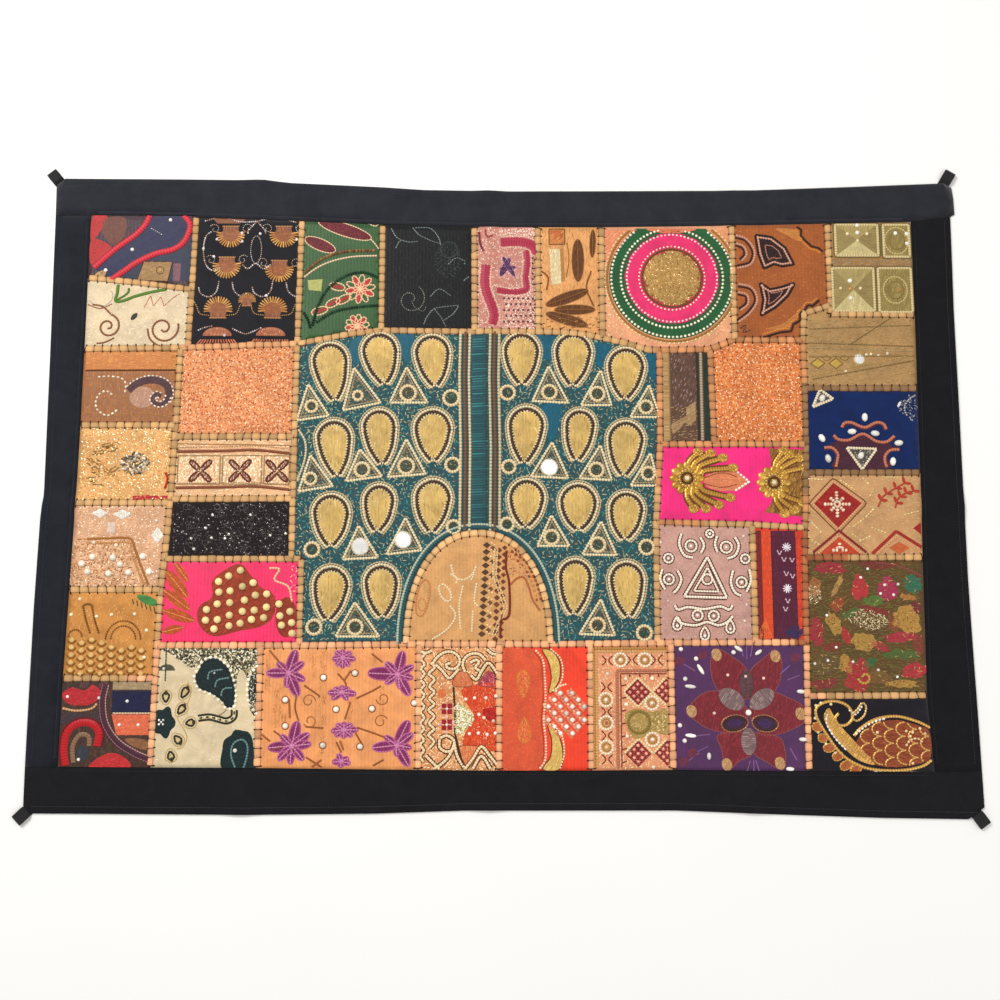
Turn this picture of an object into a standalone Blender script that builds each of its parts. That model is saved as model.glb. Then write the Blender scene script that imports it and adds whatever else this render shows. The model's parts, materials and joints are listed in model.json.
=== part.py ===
"""Patchwork quilt: embroidered patches on black cotton, laid flat.

The quilt is a backing cloth with a layer of cut cloths on it: four border strips, a blouse front as
the middle panel, and a patch for every other cloth. A gold braid covers the seams between them, and
a loop of tape is sewn in at each corner. Soft creases, left from folding, run through all layers.

Run it with blender --background --python part.py, or from Blender's text editor. The tables are in
millimetres as seen from above; the model is in metres, +X along the cloth and +Z up, with its origin
on the surface below the middle of the whole outline.
"""
import math
from dataclasses import dataclass

import bmesh
import bpy
from mathutils import Vector
from mathutils.geometry import delaunay_2d_cdt

MM = 0.001

# Thicknesses and clearances, in millimetres
BACKING_THICK = 1.5
PATCH_THICK = 1.2
BRAID_THICK = 1.4
BRAID_WIDE = 11.0
LAYER_GAP = 0.3
SEAM_EASE = 0.8
PATCH_LEVEL = BACKING_THICK + LAYER_GAP
BRAID_LEVEL = PATCH_LEVEL + PATCH_THICK + LAYER_GAP

# How far past the border a patch's window in the braid reaches, where no braid runs
OPEN_REACH = 20.0
# A point this near to the edge of the patchwork is on that edge
ON_EDGE = 1.5

# Tape loops: width, thickness, length outside the cloth, tab inside it, and height when open
TAPE_WIDE = 18.5
TAPE_THICK = 1.0
LOOP_LONG = 24.0
TAB_LONG = 10.0
LOOP_HIGH = 6.8
LOOP_RISE = 4.6
FOLD_STEPS = 5
TAB_EASE = 0.4

# Arch of the middle panel: half of a superellipse on the panel's lower seam
ARCH_MIDDLE = -37.5
ARCH_HALF = 115.5
ARCH_BASE = -259.0
ARCH_RISE = 179.0
ARCH_POWER = 2.2
ARCH_STEPS = 16


@dataclass(frozen=True)
class Crease:
    """A soft fold left by storing: the axis it crosses, its place, half width and height."""

    across: str
    place: float
    half: float
    high: float


CREASES = (
    Crease("x", -412.0, 36.0, 2.6),
    Crease("x", -22.0, 32.0, 3.0),
    Crease("x", 394.0, 36.0, 2.2),
    Crease("y", -36.0, 30.0, 2.6),
)

# Section of a crease: share of its half width, share of its height
CREASE_SECTION = ((-1.0, 0.0), (-0.4, 0.6), (0.0, 1.0), (0.4, 0.6), (1.0, 0.0))


@dataclass(frozen=True)
class Patch:
    """A cut cloth between seams.

    left and right give x at the top and the bottom end, top and bottom give y at the left and the
    right end. Bends are the points where a side turns, left to right or top to bottom.
    """

    name: str
    colour: str
    left: tuple
    right: tuple
    top: tuple
    bottom: tuple
    top_bends: tuple = ()
    right_bends: tuple = ()
    bottom_bends: tuple = ()
    left_bends: tuple = ()

    def outline(self):
        """The seam line round the patch, clockwise from its top left corner."""
        corners = [(self.left[0], self.top[0])]
        corners += self.top_bends
        corners.append((self.right[0], self.top[1]))
        corners += self.right_bends
        corners.append((self.right[1], self.bottom[1]))
        corners += reversed(self.bottom_bends)
        corners.append((self.left[1], self.bottom[0]))
        corners += reversed(self.left_bends)
        return corners


PATCHES = (
    Patch("patch_corner_arcs", "#453a62", (-692, -692), (-514, -517), (459, 458), (349, 329),
          bottom_bends=((-600, 340),)),
    Patch("patch_cream_scroll", "#f3e3bd", (-692, -692), (-517, -520), (349, 329), (227, 229),
          top_bends=((-600, 340),)),
    Patch("patch_brown_scroll", "#9a6236", (-692, -692), (-532, -535), (227, 229), (98, 98)),
    Patch("patch_gold_shimmer", "#d9a85c", (-692, -694), (-535, -539), (98, 98), (-31, -31),
          right_bends=((-536, 79), (-538, -25))),
    Patch("patch_blush_diamond", "#cf9f80", (-694, -697), (-539, -549), (-31, -31), (-172, -172),
          right_bends=((-545, -122),)),
    Patch("patch_ochre_dome", "#c08c45", (-697, -700), (-549, -553), (-172, -172), (-313, -313),
          right_bends=((-551, -261),)),
    Patch("patch_corner_bands", "#8a2f3f", (-700, -701), (-553, -555), (-313, -313), (-452, -453)),
    Patch("patch_black_fans", "#1b1b20", (-514, -520), (-336, -339), (455, 449), (229, 236),
          left_bends=((-517, 329),)),
    Patch("patch_orange_seed_left", "#ee9a5f", (-532, -536), (-339, -340), (229, 236), (79, 79),
          top_bends=((-520, 229),), left_bends=((-535, 98),)),
    Patch("patch_cream_cross", "#e8cfa0", (-536, -538), (-340, -340), (79, 79), (-25, -24)),
    Patch("patch_black_sequin", "#17141a", (-538, -545), (-340, -340), (-25, -24), (-122, -122),
          left_bends=((-539, -31),)),
    Patch("patch_pink_dots", "#ff2470", (-545, -551), (-324, -324), (-122, -122), (-261, -261),
          top_bends=((-340, -122),), left_bends=((-549, -172),)),
    Patch("patch_cream_leaf", "#f3dda8", (-551, -555), (-386, -386), (-261, -261), (-453, -454),
          left_bends=((-553, -313),)),
    Patch("patch_green_floral", "#3f7a3a", (-336, -339), (-200, -200), (449, 443), (236, 259),
          bottom_bends=((-250, 253),)),
    Patch("patch_black_vine", "#202128", (-200, -200), (-46, -45), (443, 439), (259, 257)),
    Patch("patch_pink_band", "#f0c8b8", (-46, -45), (61, 61), (439, 439), (257, 257)),
    Patch("patch_tan_leaf", "#d9a566", (61, 61), (168, 168), (439, 439), (257, 246),
          bottom_bends=((100, 256), (146, 251))),
    Patch("patch_round_medallion", "#f3cf94", (168, 168), (387, 387), (439, 442), (246, 243),
          bottom_bends=((200, 239), (243, 226), (262, 225), (346, 227))),
    Patch("patch_brown_paisley", "#b5672a", (387, 387), (549, 549), (442, 446), (243, 303),
          bottom_bends=((501, 243), (504, 289))),
    Patch("patch_olive_pearl", "#a5965a", (549, 549), (691, 690), (446, 449), (288, 287)),
    Patch("patch_olive_stripe", "#a08a52", (504, 501), (690, 688), (289, 287), (161, 161),
          top_bends=((549, 303), (549, 288)), left_bends=((501, 243),)),
    Patch("patch_blue_triangle", "#1a2f66", (501, 498), (688, 686), (161, 161), (20, 20),
          left_bends=((500, 67),)),
    Patch("patch_beige_diamond", "#c9ad72", (498, 491), (686, 683), (20, 20), (-120, -119),
          left_bends=((493, -71),)),
    Patch("patch_green_leaf", "#5f6a2a", (491, 487), (683, 679), (-120, -119), (-341, -340),
          left_bends=((489, -256),)),
    Patch("patch_black_paisley", "#16151a", (487, 486), (679, 685), (-341, -340), (-459, -460)),
    Patch("patch_dark_strip", "#3a322c", (262, 260), (346, 349), (225, 227), (67, 67)),
    Patch("patch_orange_seed_right", "#ea9450", (346, 349), (501, 500), (227, 243), (67, 67),
          top_bends=((387, 243),), right_bends=((501, 161),)),
    Patch("patch_pink_sunflower", "#ff1f78", (260, 251), (500, 493), (67, 67), (-62, -71),
          top_bends=((349, 67),), right_bends=((498, 20),), bottom_bends=((407, -66),)),
    Patch("patch_lavender_cord", "#cfa6a0", (251, 250), (407, 407), (-62, -66), (-257, -257)),
    Patch("patch_striped_band", "#d8452a", (407, 407), (493, 489), (-66, -71), (-257, -256),
          right_bends=((491, -120),)),
    Patch("patch_peach_flower", "#eda56a", (-386, -386), (-132, -132), (-261, -259), (-454, -457),
          top_bends=((-324, -261), (-153, -259))),
    Patch("patch_beige_ornament", "#d9a86c", (-132, -132), (-4, -4), (-259, -259), (-457, -458)),
    Patch("patch_orange_crescent", "#f0552a", (-4, -4), (142, 142), (-259, -258), (-458, -458),
          top_bends=((78, -259),)),
    Patch("patch_cream_lattice", "#e6c48c", (142, 142), (271, 271), (-258, -257), (-458, -457),
          top_bends=((250, -257),)),
    Patch("patch_purple_flower", "#4a2a66", (271, 271), (489, 486), (-257, -256), (-457, -459),
          top_bends=((407, -257),), right_bends=((487, -341),)),
)

# Seam of the middle panel, clockwise from its top left corner to its lower right one, and on from
# its lower left one; the arch closes it
YOKE_TOP = ((-339, 236), (-250, 253), (-200, 259), (-45, 257), (61, 257), (100, 256), (146, 251),
            (168, 246), (200, 239), (243, 226), (262, 225))
YOKE_RIGHT = ((260, 67), (251, -62), (250, -257), (142, -258))
YOKE_LEFT = ((-324, -261), (-324, -122), (-340, -122), (-340, -24), (-340, 79))
YOKE_COLOUR = "#1f6a70"
ARCH_COLOUR = "#d0a468"

# Edge of the patchwork against each border strip
FIELD_TOP = ((-692, 459), (-514, 458), (-514, 455), (-336, 449), (-200, 443), (-46, 439),
             (168, 439), (387, 442), (549, 446), (691, 449))
FIELD_RIGHT = ((690, 287), (688, 161), (686, 20), (683, -119), (679, -340))
FIELD_BOTTOM = ((685, -460), (486, -459), (271, -457), (-4, -458), (-132, -457), (-386, -454),
                (-555, -453), (-701, -452))
FIELD_LEFT = ((-700, -313), (-697, -172), (-694, -31), (-692, 98))

# Outer edge of the cloth, along each border strip
EDGE_TOP = ((-753, 524), (-600, 523), (-400, 521.5), (-354, 516.5), (-200, 509), (-132, 504.6),
            (20, 502), (200, 503), (400, 503.6), (500, 507.5), (600, 511), (762, 518))
FLAP_RIGHT = ((765, 490), (765.5, 462))
EDGE_RIGHT = ((758, 458), (755.5, 300), (755, 0), (754.5, -150), (757, -300), (760, -459))
EDGE_BOTTOM = ((761, -533), (600, -530.5), (432, -525), (275, -519), (-57, -519), (-200, -523.6),
               (-400, -525.5), (-752, -523))
EDGE_LEFT = ((-752.7, -452), (-752.5, -200), (-750, -60), (-746, -20), (-748, 200), (-751.5, 458))

BLACK_COTTON = "#24252c"
BLACK_TAPE = "#18181c"
GOLD_BRAID = "#e3b778"


@dataclass(frozen=True)
class Loop:
    """A corner loop: the middle of its folded end, and the way it points, in degrees from +X."""

    name: str
    tip_x: float
    tip_y: float
    angle: float

    def along(self):
        """Unit vector from the cloth to the folded end."""
        turn = math.radians(self.angle)
        return Vector((math.cos(turn), math.sin(turn)))

    def across(self):
        """Unit vector along the tape's width."""
        return Vector((-self.along().y, self.along().x))

    def place(self, out, side):
        """The point out from the cloth's cut corner and sideways from the loop's middle line."""
        root = Vector((self.tip_x, self.tip_y)) - LOOP_LONG * self.along()
        return root + out * self.along() + side * self.across()


LOOPS = (
    Loop("loop_top_left", -762.0, 534.5, 130.0),
    Loop("loop_top_right", 762.5, 537.0, 59.0),
    Loop("loop_bottom_left", -762.0, -535.0, 224.0),
    Loop("loop_bottom_right", 761.0, -543.0, -55.0),
)


def middle_of_all():
    """The middle of the whole outline, which the loops' outer corners set."""
    tips = [loop.place(LOOP_LONG, side) for loop in LOOPS for side in (-TAPE_WIDE / 2, TAPE_WIDE / 2)]
    xs = [tip.x for tip in tips]
    ys = [tip.y for tip in tips]
    return Vector(((min(xs) + max(xs)) / 2, (min(ys) + max(ys)) / 2))


MIDDLE = middle_of_all()


def crease_lift(x, y):
    """How far the creases raise the cloth at a point."""
    lift = 0.0
    for crease in CREASES:
        share = ((x if crease.across == "x" else y) - crease.place) / crease.half
        for (start, low), (end, high) in zip(CREASE_SECTION, CREASE_SECTION[1:]):
            if start <= share <= end:
                lift += crease.high * (low + (high - low) * (share - start) / (end - start))
                break
    return lift


def crease_cuts():
    """Lines across the cloth along which the creases bend, as pairs of end points."""
    reach = 900.0
    cuts = []
    for crease in CREASES:
        for share, _ in CREASE_SECTION:
            at = crease.place + share * crease.half
            if crease.across == "x":
                cuts.append(((at, -reach), (at, reach)))
            else:
                cuts.append(((-reach, at), (reach, at)))
    return cuts


def line_meet(a, along_a, b, along_b):
    """Where two lines meet, or a where they are parallel."""
    cross = along_a.x * along_b.y - along_a.y * along_b.x
    if abs(cross) < 1e-3:
        return a
    way = b - a
    return a + along_a * ((way.x * along_b.y - way.y * along_b.x) / cross)


def inset(outline, distances):
    """A clockwise outline with each side moved inwards by its own distance."""
    points = [Vector(point) for point in outline]
    sides = []
    for index, start in enumerate(points):
        along = (points[(index + 1) % len(points)] - start).normalized()
        inwards = Vector((along.y, -along.x))
        sides.append((start + inwards * distances[index], along))
    moved = []
    for index, (start, along) in enumerate(sides):
        before, along_before = sides[index - 1]
        moved.append(line_meet(start, along, before, along_before))
    return moved


def even_inset(outline, distance):
    """A clockwise outline with every side moved inwards by one distance."""
    return inset(outline, [distance] * len(outline))


def cut_corners(outline, out):
    """The outline with each corner cut off square to its loop, out from the loop's root."""
    points = [Vector(point) for point in outline]
    for loop in LOOPS:
        kept = []
        root = loop.place(out, 0.0)
        heights = [(point - root).dot(loop.along()) for point in points]
        for index, point in enumerate(points):
            before, height_before, height = points[index - 1], heights[index - 1], heights[index]
            if (height > 0) != (height_before > 0):
                kept.append(before.lerp(point, height_before / (height_before - height)))
            if height <= 0:
                kept.append(point)
        points = kept
    return points


def anticlockwise(ring):
    """The ring's points in anticlockwise order."""
    points = [Vector(point) for point in ring]
    pairs = zip(points, points[1:] + points[:1])
    area = sum(start.x * end.y - start.y * end.x for start, end in pairs)
    return points if area > 0 else points[::-1]


def fill(outline, windows=(), cuts=()):
    """Triangles inside the outline and outside the windows, split along the cuts."""
    points, edges, faces = [], [], []
    for ring in (outline, *windows):
        faces.append(list(range(len(points), len(points) + len(ring))))
        points += anticlockwise(ring)
    for start, end in cuts:
        edges.append((len(points), len(points) + 1))
        points += [Vector(start), Vector(end)]
    flat, _, triangles, _, _, origins = delaunay_2d_cdt(points, edges, faces, 1, 1e-4)
    return flat, [list(three) for three, origin in zip(triangles, origins) if list(origin) == [0]]


def solid(flat, triangles, to_low, to_high):
    """A closed body between two copies of a flat net, placed by to_low and to_high."""
    body = bmesh.new()
    used = sorted({index for three in triangles for index in three})
    low = {index: body.verts.new(to_low(flat[index])) for index in used}
    high = {index: body.verts.new(to_high(flat[index])) for index in used}
    borders = {}
    for three in triangles:
        body.faces.new([high[index] for index in three])
        body.faces.new([low[index] for index in reversed(three)])
        for start, end in zip(three, three[1:] + three[:1]):
            if borders.pop((end, start), None) is None:
                borders[(start, end)] = True
    for start, end in borders:
        body.faces.new((low[start], low[end], high[end], high[start]))
    bmesh.ops.recalc_face_normals(body, faces=body.faces)
    return body


def linear(channel):
    """One sRGB channel, 0 to 1, as linear light."""
    return channel / 12.92 if channel <= 0.04045 else ((channel + 0.055) / 1.055) ** 2.4


def cloth_material(name, colour, roughness):
    """A plain dyed cloth."""
    material = bpy.data.materials.new(name)
    material.use_nodes = True
    shader = material.node_tree.nodes["Principled BSDF"]
    channels = [linear(int(colour[start:start + 2], 16) / 255) for start in (1, 3, 5)]
    shader.inputs["Base Color"].default_value = (*channels, 1.0)
    shader.inputs["Roughness"].default_value = roughness
    shader.inputs["Metallic"].default_value = 0.0
    return material


def add_object(name, body, colour, roughness, parent):
    """Turn a body into a named object with its own material."""
    mesh = bpy.data.meshes.new(name)
    body.to_mesh(mesh)
    body.free()
    mesh.materials.append(cloth_material(name, colour, roughness))
    made = bpy.data.objects.new(name, mesh)
    bpy.context.collection.objects.link(made)
    made.parent = parent
    return made


def add_cloth(name, outline, level, thick, colour, parent, windows=(), roughness=0.85):
    """A flat cloth of the given outline at a level, bent by the creases."""
    flat, triangles = fill(outline, windows, crease_cuts())

    def at(height):
        """A function that places a point of the net at a height above the creased surface."""
        return lambda p: (
            (p.x - MIDDLE.x) * MM, (p.y - MIDDLE.y) * MM, (height + crease_lift(p.x, p.y)) * MM)

    body = solid(flat, triangles, at(level), at(level + thick))
    return add_object(name, body, colour, roughness, parent)


def field_outline():
    """The edge of the patchwork, clockwise from its top left corner."""
    return [*FIELD_TOP, *FIELD_RIGHT, *FIELD_BOTTOM, *FIELD_LEFT]


def arch_points():
    """The arch from its right foot over the top to its left foot."""
    points = []
    for step in range(ARCH_STEPS + 1):
        turn = math.pi * step / ARCH_STEPS
        across = math.copysign(abs(math.cos(turn)) ** (2 / ARCH_POWER), math.cos(turn))
        up = math.sin(turn) ** (2 / ARCH_POWER) if 0 < step < ARCH_STEPS else 0.0
        points.append((ARCH_MIDDLE + ARCH_HALF * across, ARCH_BASE + ARCH_RISE * up))
    return points


def yoke_outline():
    """The seam line round the middle panel, clockwise."""
    return [*YOKE_TOP, *YOKE_RIGHT, *arch_points(), *YOKE_LEFT]


def arch_outline():
    """The seam line round the arched panel, clockwise from its left foot."""
    return list(reversed(arch_points()))


def distance_to_side(point, start, end):
    """How far a point is from a straight side."""
    side = Vector(end) - Vector(start)
    way = Vector(point) - Vector(start)
    share = min(max(way.dot(side) / side.length_squared, 0.0), 1.0)
    return (way - share * side).length


def is_on_field_edge(start, end):
    """Whether a patch's side runs along the edge of the patchwork."""
    ring = field_outline()
    middle = (Vector(start) + Vector(end)) / 2
    return all(
        min(distance_to_side(point, a, b) for a, b in zip(ring, ring[1:] + ring[:1])) < ON_EDGE
        for point in (start, middle, end))


def braid_window(outline):
    """The part of a patch that the braid leaves bare, past the patchwork's edge where that is open."""
    distances = []
    for start, end in zip(outline, outline[1:] + outline[:1]):
        distances.append(-OPEN_REACH if is_on_field_edge(start, end) else BRAID_WIDE / 2)
    return inset(outline, distances)


def add_braid(parent):
    """The braid along every seam between patches, as one network."""
    outlines = [patch.outline() for patch in PATCHES] + [yoke_outline(), arch_outline()]
    windows = [braid_window(outline) for outline in outlines]
    add_cloth("seam_braid", field_outline(), BRAID_LEVEL, BRAID_THICK, GOLD_BRAID, parent, windows, 0.6)


def add_backing(parent):
    """The backing cloth, with a notch at each corner for the loop's tab."""
    outline = cut_corners([*EDGE_TOP, *FLAP_RIGHT, *EDGE_RIGHT, *EDGE_BOTTOM, *EDGE_LEFT], 0.0)
    half = TAPE_WIDE / 2 + TAB_EASE
    deep = -TAB_LONG - TAB_EASE
    past = TAPE_THICK
    notches = []
    for loop in LOOPS:
        ends = ((deep, -half), (deep, half), (past, half), (past, -half))
        notches.append([loop.place(out, side) for out, side in ends])
    add_cloth("backing_cloth", outline, 0.0, BACKING_THICK, BLACK_COTTON, parent, notches)


def add_borders(parent):
    """The four border strips; the top one ends in a flap past the right one."""
    top_inner = [*reversed(FIELD_TOP)]
    bottom_inner = [*reversed(FIELD_BOTTOM)]
    strips = (
        ("border_top", [*EDGE_TOP, *FLAP_RIGHT, EDGE_RIGHT[0], *top_inner, EDGE_LEFT[-1]]),
        ("border_right", [FIELD_TOP[-1], EDGE_RIGHT[0], *EDGE_RIGHT[1:], FIELD_BOTTOM[0],
                          *reversed(FIELD_RIGHT)]),
        ("border_bottom", [*bottom_inner, EDGE_RIGHT[-1], *EDGE_BOTTOM, EDGE_LEFT[0]]),
        ("border_left", [EDGE_LEFT[-1], FIELD_TOP[0], *reversed(FIELD_LEFT), FIELD_BOTTOM[-1],
                         EDGE_LEFT[0], *EDGE_LEFT[1:-1]]),
    )
    for name, outline in strips:
        shape = cut_corners(even_inset(outline, SEAM_EASE), 0.0)
        add_cloth(name, shape, PATCH_LEVEL, PATCH_THICK, BLACK_COTTON, parent)


def loop_section():
    """The loop seen from the side: its outer line with the tab, and the opening inside it."""
    outer_round = LOOP_HIGH / 2
    inner_round = outer_round - TAPE_THICK
    fold = LOOP_LONG - outer_round
    outer = [(-TAB_LONG, 0.0)]
    inner = [(LOOP_RISE / 3, TAPE_THICK)]
    for step in range(FOLD_STEPS + 1):
        turn = math.pi * (step - FOLD_STEPS / 2) / FOLD_STEPS
        outer.append((fold + outer_round * math.cos(turn), outer_round + outer_round * math.sin(turn)))
        inner.append((fold + inner_round * math.cos(turn), outer_round + inner_round * math.sin(turn)))
    outer += [(LOOP_RISE, LOOP_HIGH), (TAB_EASE, BACKING_THICK), (-TAB_LONG, BACKING_THICK)]
    inner += [(LOOP_RISE + TAPE_THICK / 2, LOOP_HIGH - TAPE_THICK)]
    return outer, inner


def add_loop(loop, parent):
    """One tape loop, folded at its end, with its tab under the border's corner."""
    outer, inner = loop_section()
    flat, triangles = fill(outer, [inner])

    def at(side):
        """A function that places a point of the section at one side of the tape."""

        def placed(point):
            """The point of the section in the model."""
            spot = loop.place(point.x, side) - MIDDLE
            return (spot.x * MM, spot.y * MM, point.y * MM)

        return placed

    body = solid(flat, triangles, at(-TAPE_WIDE / 2), at(TAPE_WIDE / 2))
    add_object(loop.name, body, BLACK_TAPE, 0.8, parent)


def clear_scene():
    """Remove whatever the scene starts with."""
    for old in list(bpy.data.objects):
        bpy.data.objects.remove(old, do_unlink=True)


def build():
    """Make every piece of the quilt under one empty."""
    clear_scene()
    quilt = bpy.data.objects.new("quilt", None)
    bpy.context.collection.objects.link(quilt)
    add_backing(quilt)
    add_borders(quilt)
    for patch in PATCHES:
        shape = even_inset(patch.outline(), SEAM_EASE)
        add_cloth(patch.name, shape, PATCH_LEVEL, PATCH_THICK, patch.colour, quilt)
    yoke = even_inset(yoke_outline(), SEAM_EASE)
    add_cloth("panel_yoke", yoke, PATCH_LEVEL, PATCH_THICK, YOKE_COLOUR, quilt)
    arch = even_inset(arch_outline(), SEAM_EASE)
    add_cloth("panel_arch", arch, PATCH_LEVEL, PATCH_THICK, ARCH_COLOUR, quilt)
    add_braid(quilt)
    for loop in LOOPS:
        add_loop(loop, quilt)


build()
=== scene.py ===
"""Patchwork quilt, dressed for its picture.

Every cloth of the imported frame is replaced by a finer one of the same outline, with its own weave,
and by the needlework sewn on it. A couched braid replaces the plain one over the seams, and folded
tape replaces the corner loops. All drawings are in millimetres from the middle of the cloth, as seen
from above, and one surface, with the soft folds left by storing, carries all of them.
"""

import json
import logging
import math
from dataclasses import dataclass
from enum import Enum
from typing import Optional, Sequence

import bpy
import numpy as np
from bpy.types import Material, Node, NodeSocket, NodeTree, Object
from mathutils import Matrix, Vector
from mathutils.geometry import delaunay_2d_cdt

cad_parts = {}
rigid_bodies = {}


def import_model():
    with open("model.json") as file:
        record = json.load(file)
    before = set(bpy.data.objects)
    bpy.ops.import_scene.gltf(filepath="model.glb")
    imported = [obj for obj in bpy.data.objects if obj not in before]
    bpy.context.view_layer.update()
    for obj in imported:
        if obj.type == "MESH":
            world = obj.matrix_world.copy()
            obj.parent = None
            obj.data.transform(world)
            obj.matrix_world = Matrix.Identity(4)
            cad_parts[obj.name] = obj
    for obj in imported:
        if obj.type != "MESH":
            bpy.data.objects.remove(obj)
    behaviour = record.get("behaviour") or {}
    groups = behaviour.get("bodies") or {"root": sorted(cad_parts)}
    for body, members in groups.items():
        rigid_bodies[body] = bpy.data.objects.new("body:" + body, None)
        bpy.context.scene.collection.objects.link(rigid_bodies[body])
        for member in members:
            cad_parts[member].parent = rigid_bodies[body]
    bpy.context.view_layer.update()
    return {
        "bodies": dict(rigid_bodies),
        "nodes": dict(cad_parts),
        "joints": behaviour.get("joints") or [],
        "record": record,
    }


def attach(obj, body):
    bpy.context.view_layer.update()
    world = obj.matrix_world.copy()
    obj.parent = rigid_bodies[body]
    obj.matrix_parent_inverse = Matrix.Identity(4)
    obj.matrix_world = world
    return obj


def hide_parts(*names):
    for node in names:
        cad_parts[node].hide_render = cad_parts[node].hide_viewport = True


LOG = logging.getLogger("quilt")
MM = 0.001

# The model's origin, seen from the middle of the cloth, which the drawings are measured from
ORIGIN = np.array((0.6714, -3.2708))

# Levels of the layers above the surface, in millimetres, as in the frame
BACKING_TOP = 1.5
CLOTH_LOW = 1.8
CLOTH_TOP = 3.0

Path = np.ndarray
Points = Sequence[Sequence[float]]


def linear(colour: str) -> tuple[float, float, float]:
    """Turn an sRGB hex colour into linear light.

    Args:
        colour: six hex digits after a hash.

    Returns:
        The red, green and blue channels, 0 to 1.
    """
    channels = [int(colour[start:start + 2], 16) / 255 for start in (1, 3, 5)]
    return tuple(c / 12.92 if c <= 0.04045 else ((c + 0.055) / 1.055) ** 2.4 for c in channels)


def set_inputs(tree: NodeTree, node: Node, inputs: dict) -> None:
    """Give a node its values and links, by the name or number of each input."""
    for name, value in inputs.items():
        if isinstance(value, NodeSocket):
            tree.links.new(value, node.inputs[name])
        else:
            node.inputs[name].default_value = value


def add_node(tree: NodeTree, kind: str, inputs: dict, **settings: object) -> Node:
    """Add a shader node with its settings, values and links.

    Args:
        tree: the material's nodes.
        kind: the node's type name.
        inputs: a value or another node's output for each named or numbered input.
        settings: the node's own properties.

    Returns:
        The new node.
    """
    node = tree.nodes.new(kind)
    for name, value in settings.items():
        setattr(node, name, value)
    set_inputs(tree, node, inputs)
    return node


# Finishes

#: One turn of Blender's wave texture at a scale of 1, in metres
WAVE_TURN = 0.314
#: Threads are finer than the picture can show, so they are drawn about a fifth coarser
BOLD = 1.2


class Weave(Enum):
    """How a cloth was woven: the width and the height of its drawn ribs, in millimetres."""

    PLAIN = (1.4, 1.4)
    SATIN = (5.7, 0.9)
    TISSUE = (1.2, 1.7)
    RIBBED = (25.0, 1.5)


@dataclass(frozen=True)
class ClothFinish:
    """A woven cloth, dyed in the piece and worn by handling.

    The dye lies unevenly, and the weave gives a fine, even grain. A real thread is about 0.3 mm
    wide, which is too fine for the picture, so the ribs are drawn some six times as coarse.
    """

    title: str
    colour: str
    second: str
    weave: Weave = Weave.PLAIN
    roughness: float = 0.82
    metallic: float = 0.0
    sheen: float = 0.25
    blotch: float = 14.0
    contrast: float = 0.5
    depth: float = 0.35
    wear: float = 0.22
    gloss: float = 0.5

    def material(self) -> Material:
        """The cloth's material, made once for each title."""
        if self.title in bpy.data.materials:
            return bpy.data.materials[self.title]
        made = bpy.data.materials.new(self.title)
        made.use_nodes = True
        tree = made.node_tree
        spot = add_node(tree, "ShaderNodeTexCoord", {}).outputs["Object"]
        wide, high = self.weave.value
        blotches = add_node(
            tree, "ShaderNodeTexNoise",
            {"Vector": spot, "Scale": 1 / (self.blotch * MM), "Detail": 4.0, "Roughness": 0.62})
        dyed = add_node(
            tree, "ShaderNodeMix",
            {0: blotches.outputs["Fac"], 6: (*linear(self.colour), 1), 7: (*linear(self.second), 1)},
            data_type="RGBA")
        ribs = [
            add_node(
                tree, "ShaderNodeTexWave",
                {"Vector": spot, "Scale": WAVE_TURN / (turn * MM), "Distortion": 1.2,
                 "Detail": 1.0, "Detail Scale": 3.0},
                bands_direction=axis).outputs["Fac"]
            for axis, turn in (("X", wide), ("Y", high))]
        grain = add_node(tree, "ShaderNodeMath", {0: ribs[0], 1: ribs[1]}, operation="MULTIPLY")
        shade = add_node(
            tree, "ShaderNodeMapRange",
            {"Value": grain.outputs[0], "To Min": 1 - self.contrast * 0.5, "To Max": 1.1})
        wear = add_node(
            tree, "ShaderNodeTexNoise",
            {"Vector": spot, "Scale": 1 / (38 * MM), "Detail": 5.0, "Roughness": 0.7, "Distortion": 0.6})
        faded = add_node(
            tree, "ShaderNodeMapRange",
            {"Value": wear.outputs["Fac"], "From Min": 0.34, "From Max": 0.66,
             "To Min": 1 - self.wear, "To Max": 1 + self.wear * 0.45})
        marked = add_node(
            tree, "ShaderNodeMath", {0: shade.outputs[0], 1: faded.outputs[0]}, operation="MULTIPLY")
        toned = add_node(
            tree, "ShaderNodeMix", {0: 1.0, 6: dyed.outputs[2], 7: marked.outputs[0]},
            data_type="RGBA", blend_type="MULTIPLY")
        fuzz = add_node(
            tree, "ShaderNodeTexNoise", {"Vector": spot, "Scale": 1 / (1.6 * MM), "Detail": 2.0})
        height = add_node(
            tree, "ShaderNodeMath",
            {0: grain.outputs[0], 1: fuzz.outputs["Fac"]}, operation="ADD")
        bump = add_node(
            tree, "ShaderNodeBump",
            {"Height": height.outputs[0], "Strength": self.depth, "Distance": 0.4 * MM})
        rough = add_node(
            tree, "ShaderNodeMapRange",
            {"Value": fuzz.outputs["Fac"], "To Min": self.roughness - 0.1,
             "To Max": min(self.roughness + 0.12, 1.0)})
        set_inputs(tree, tree.nodes["Principled BSDF"], {
            "Metallic": self.metallic, "Specular IOR Level": self.gloss, "Sheen Weight": self.sheen,
            "Sheen Roughness": 0.45, "Base Color": toned.outputs[2], "Roughness": rough.outputs[0],
            "Normal": bump.outputs[0]})
        return made


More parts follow.
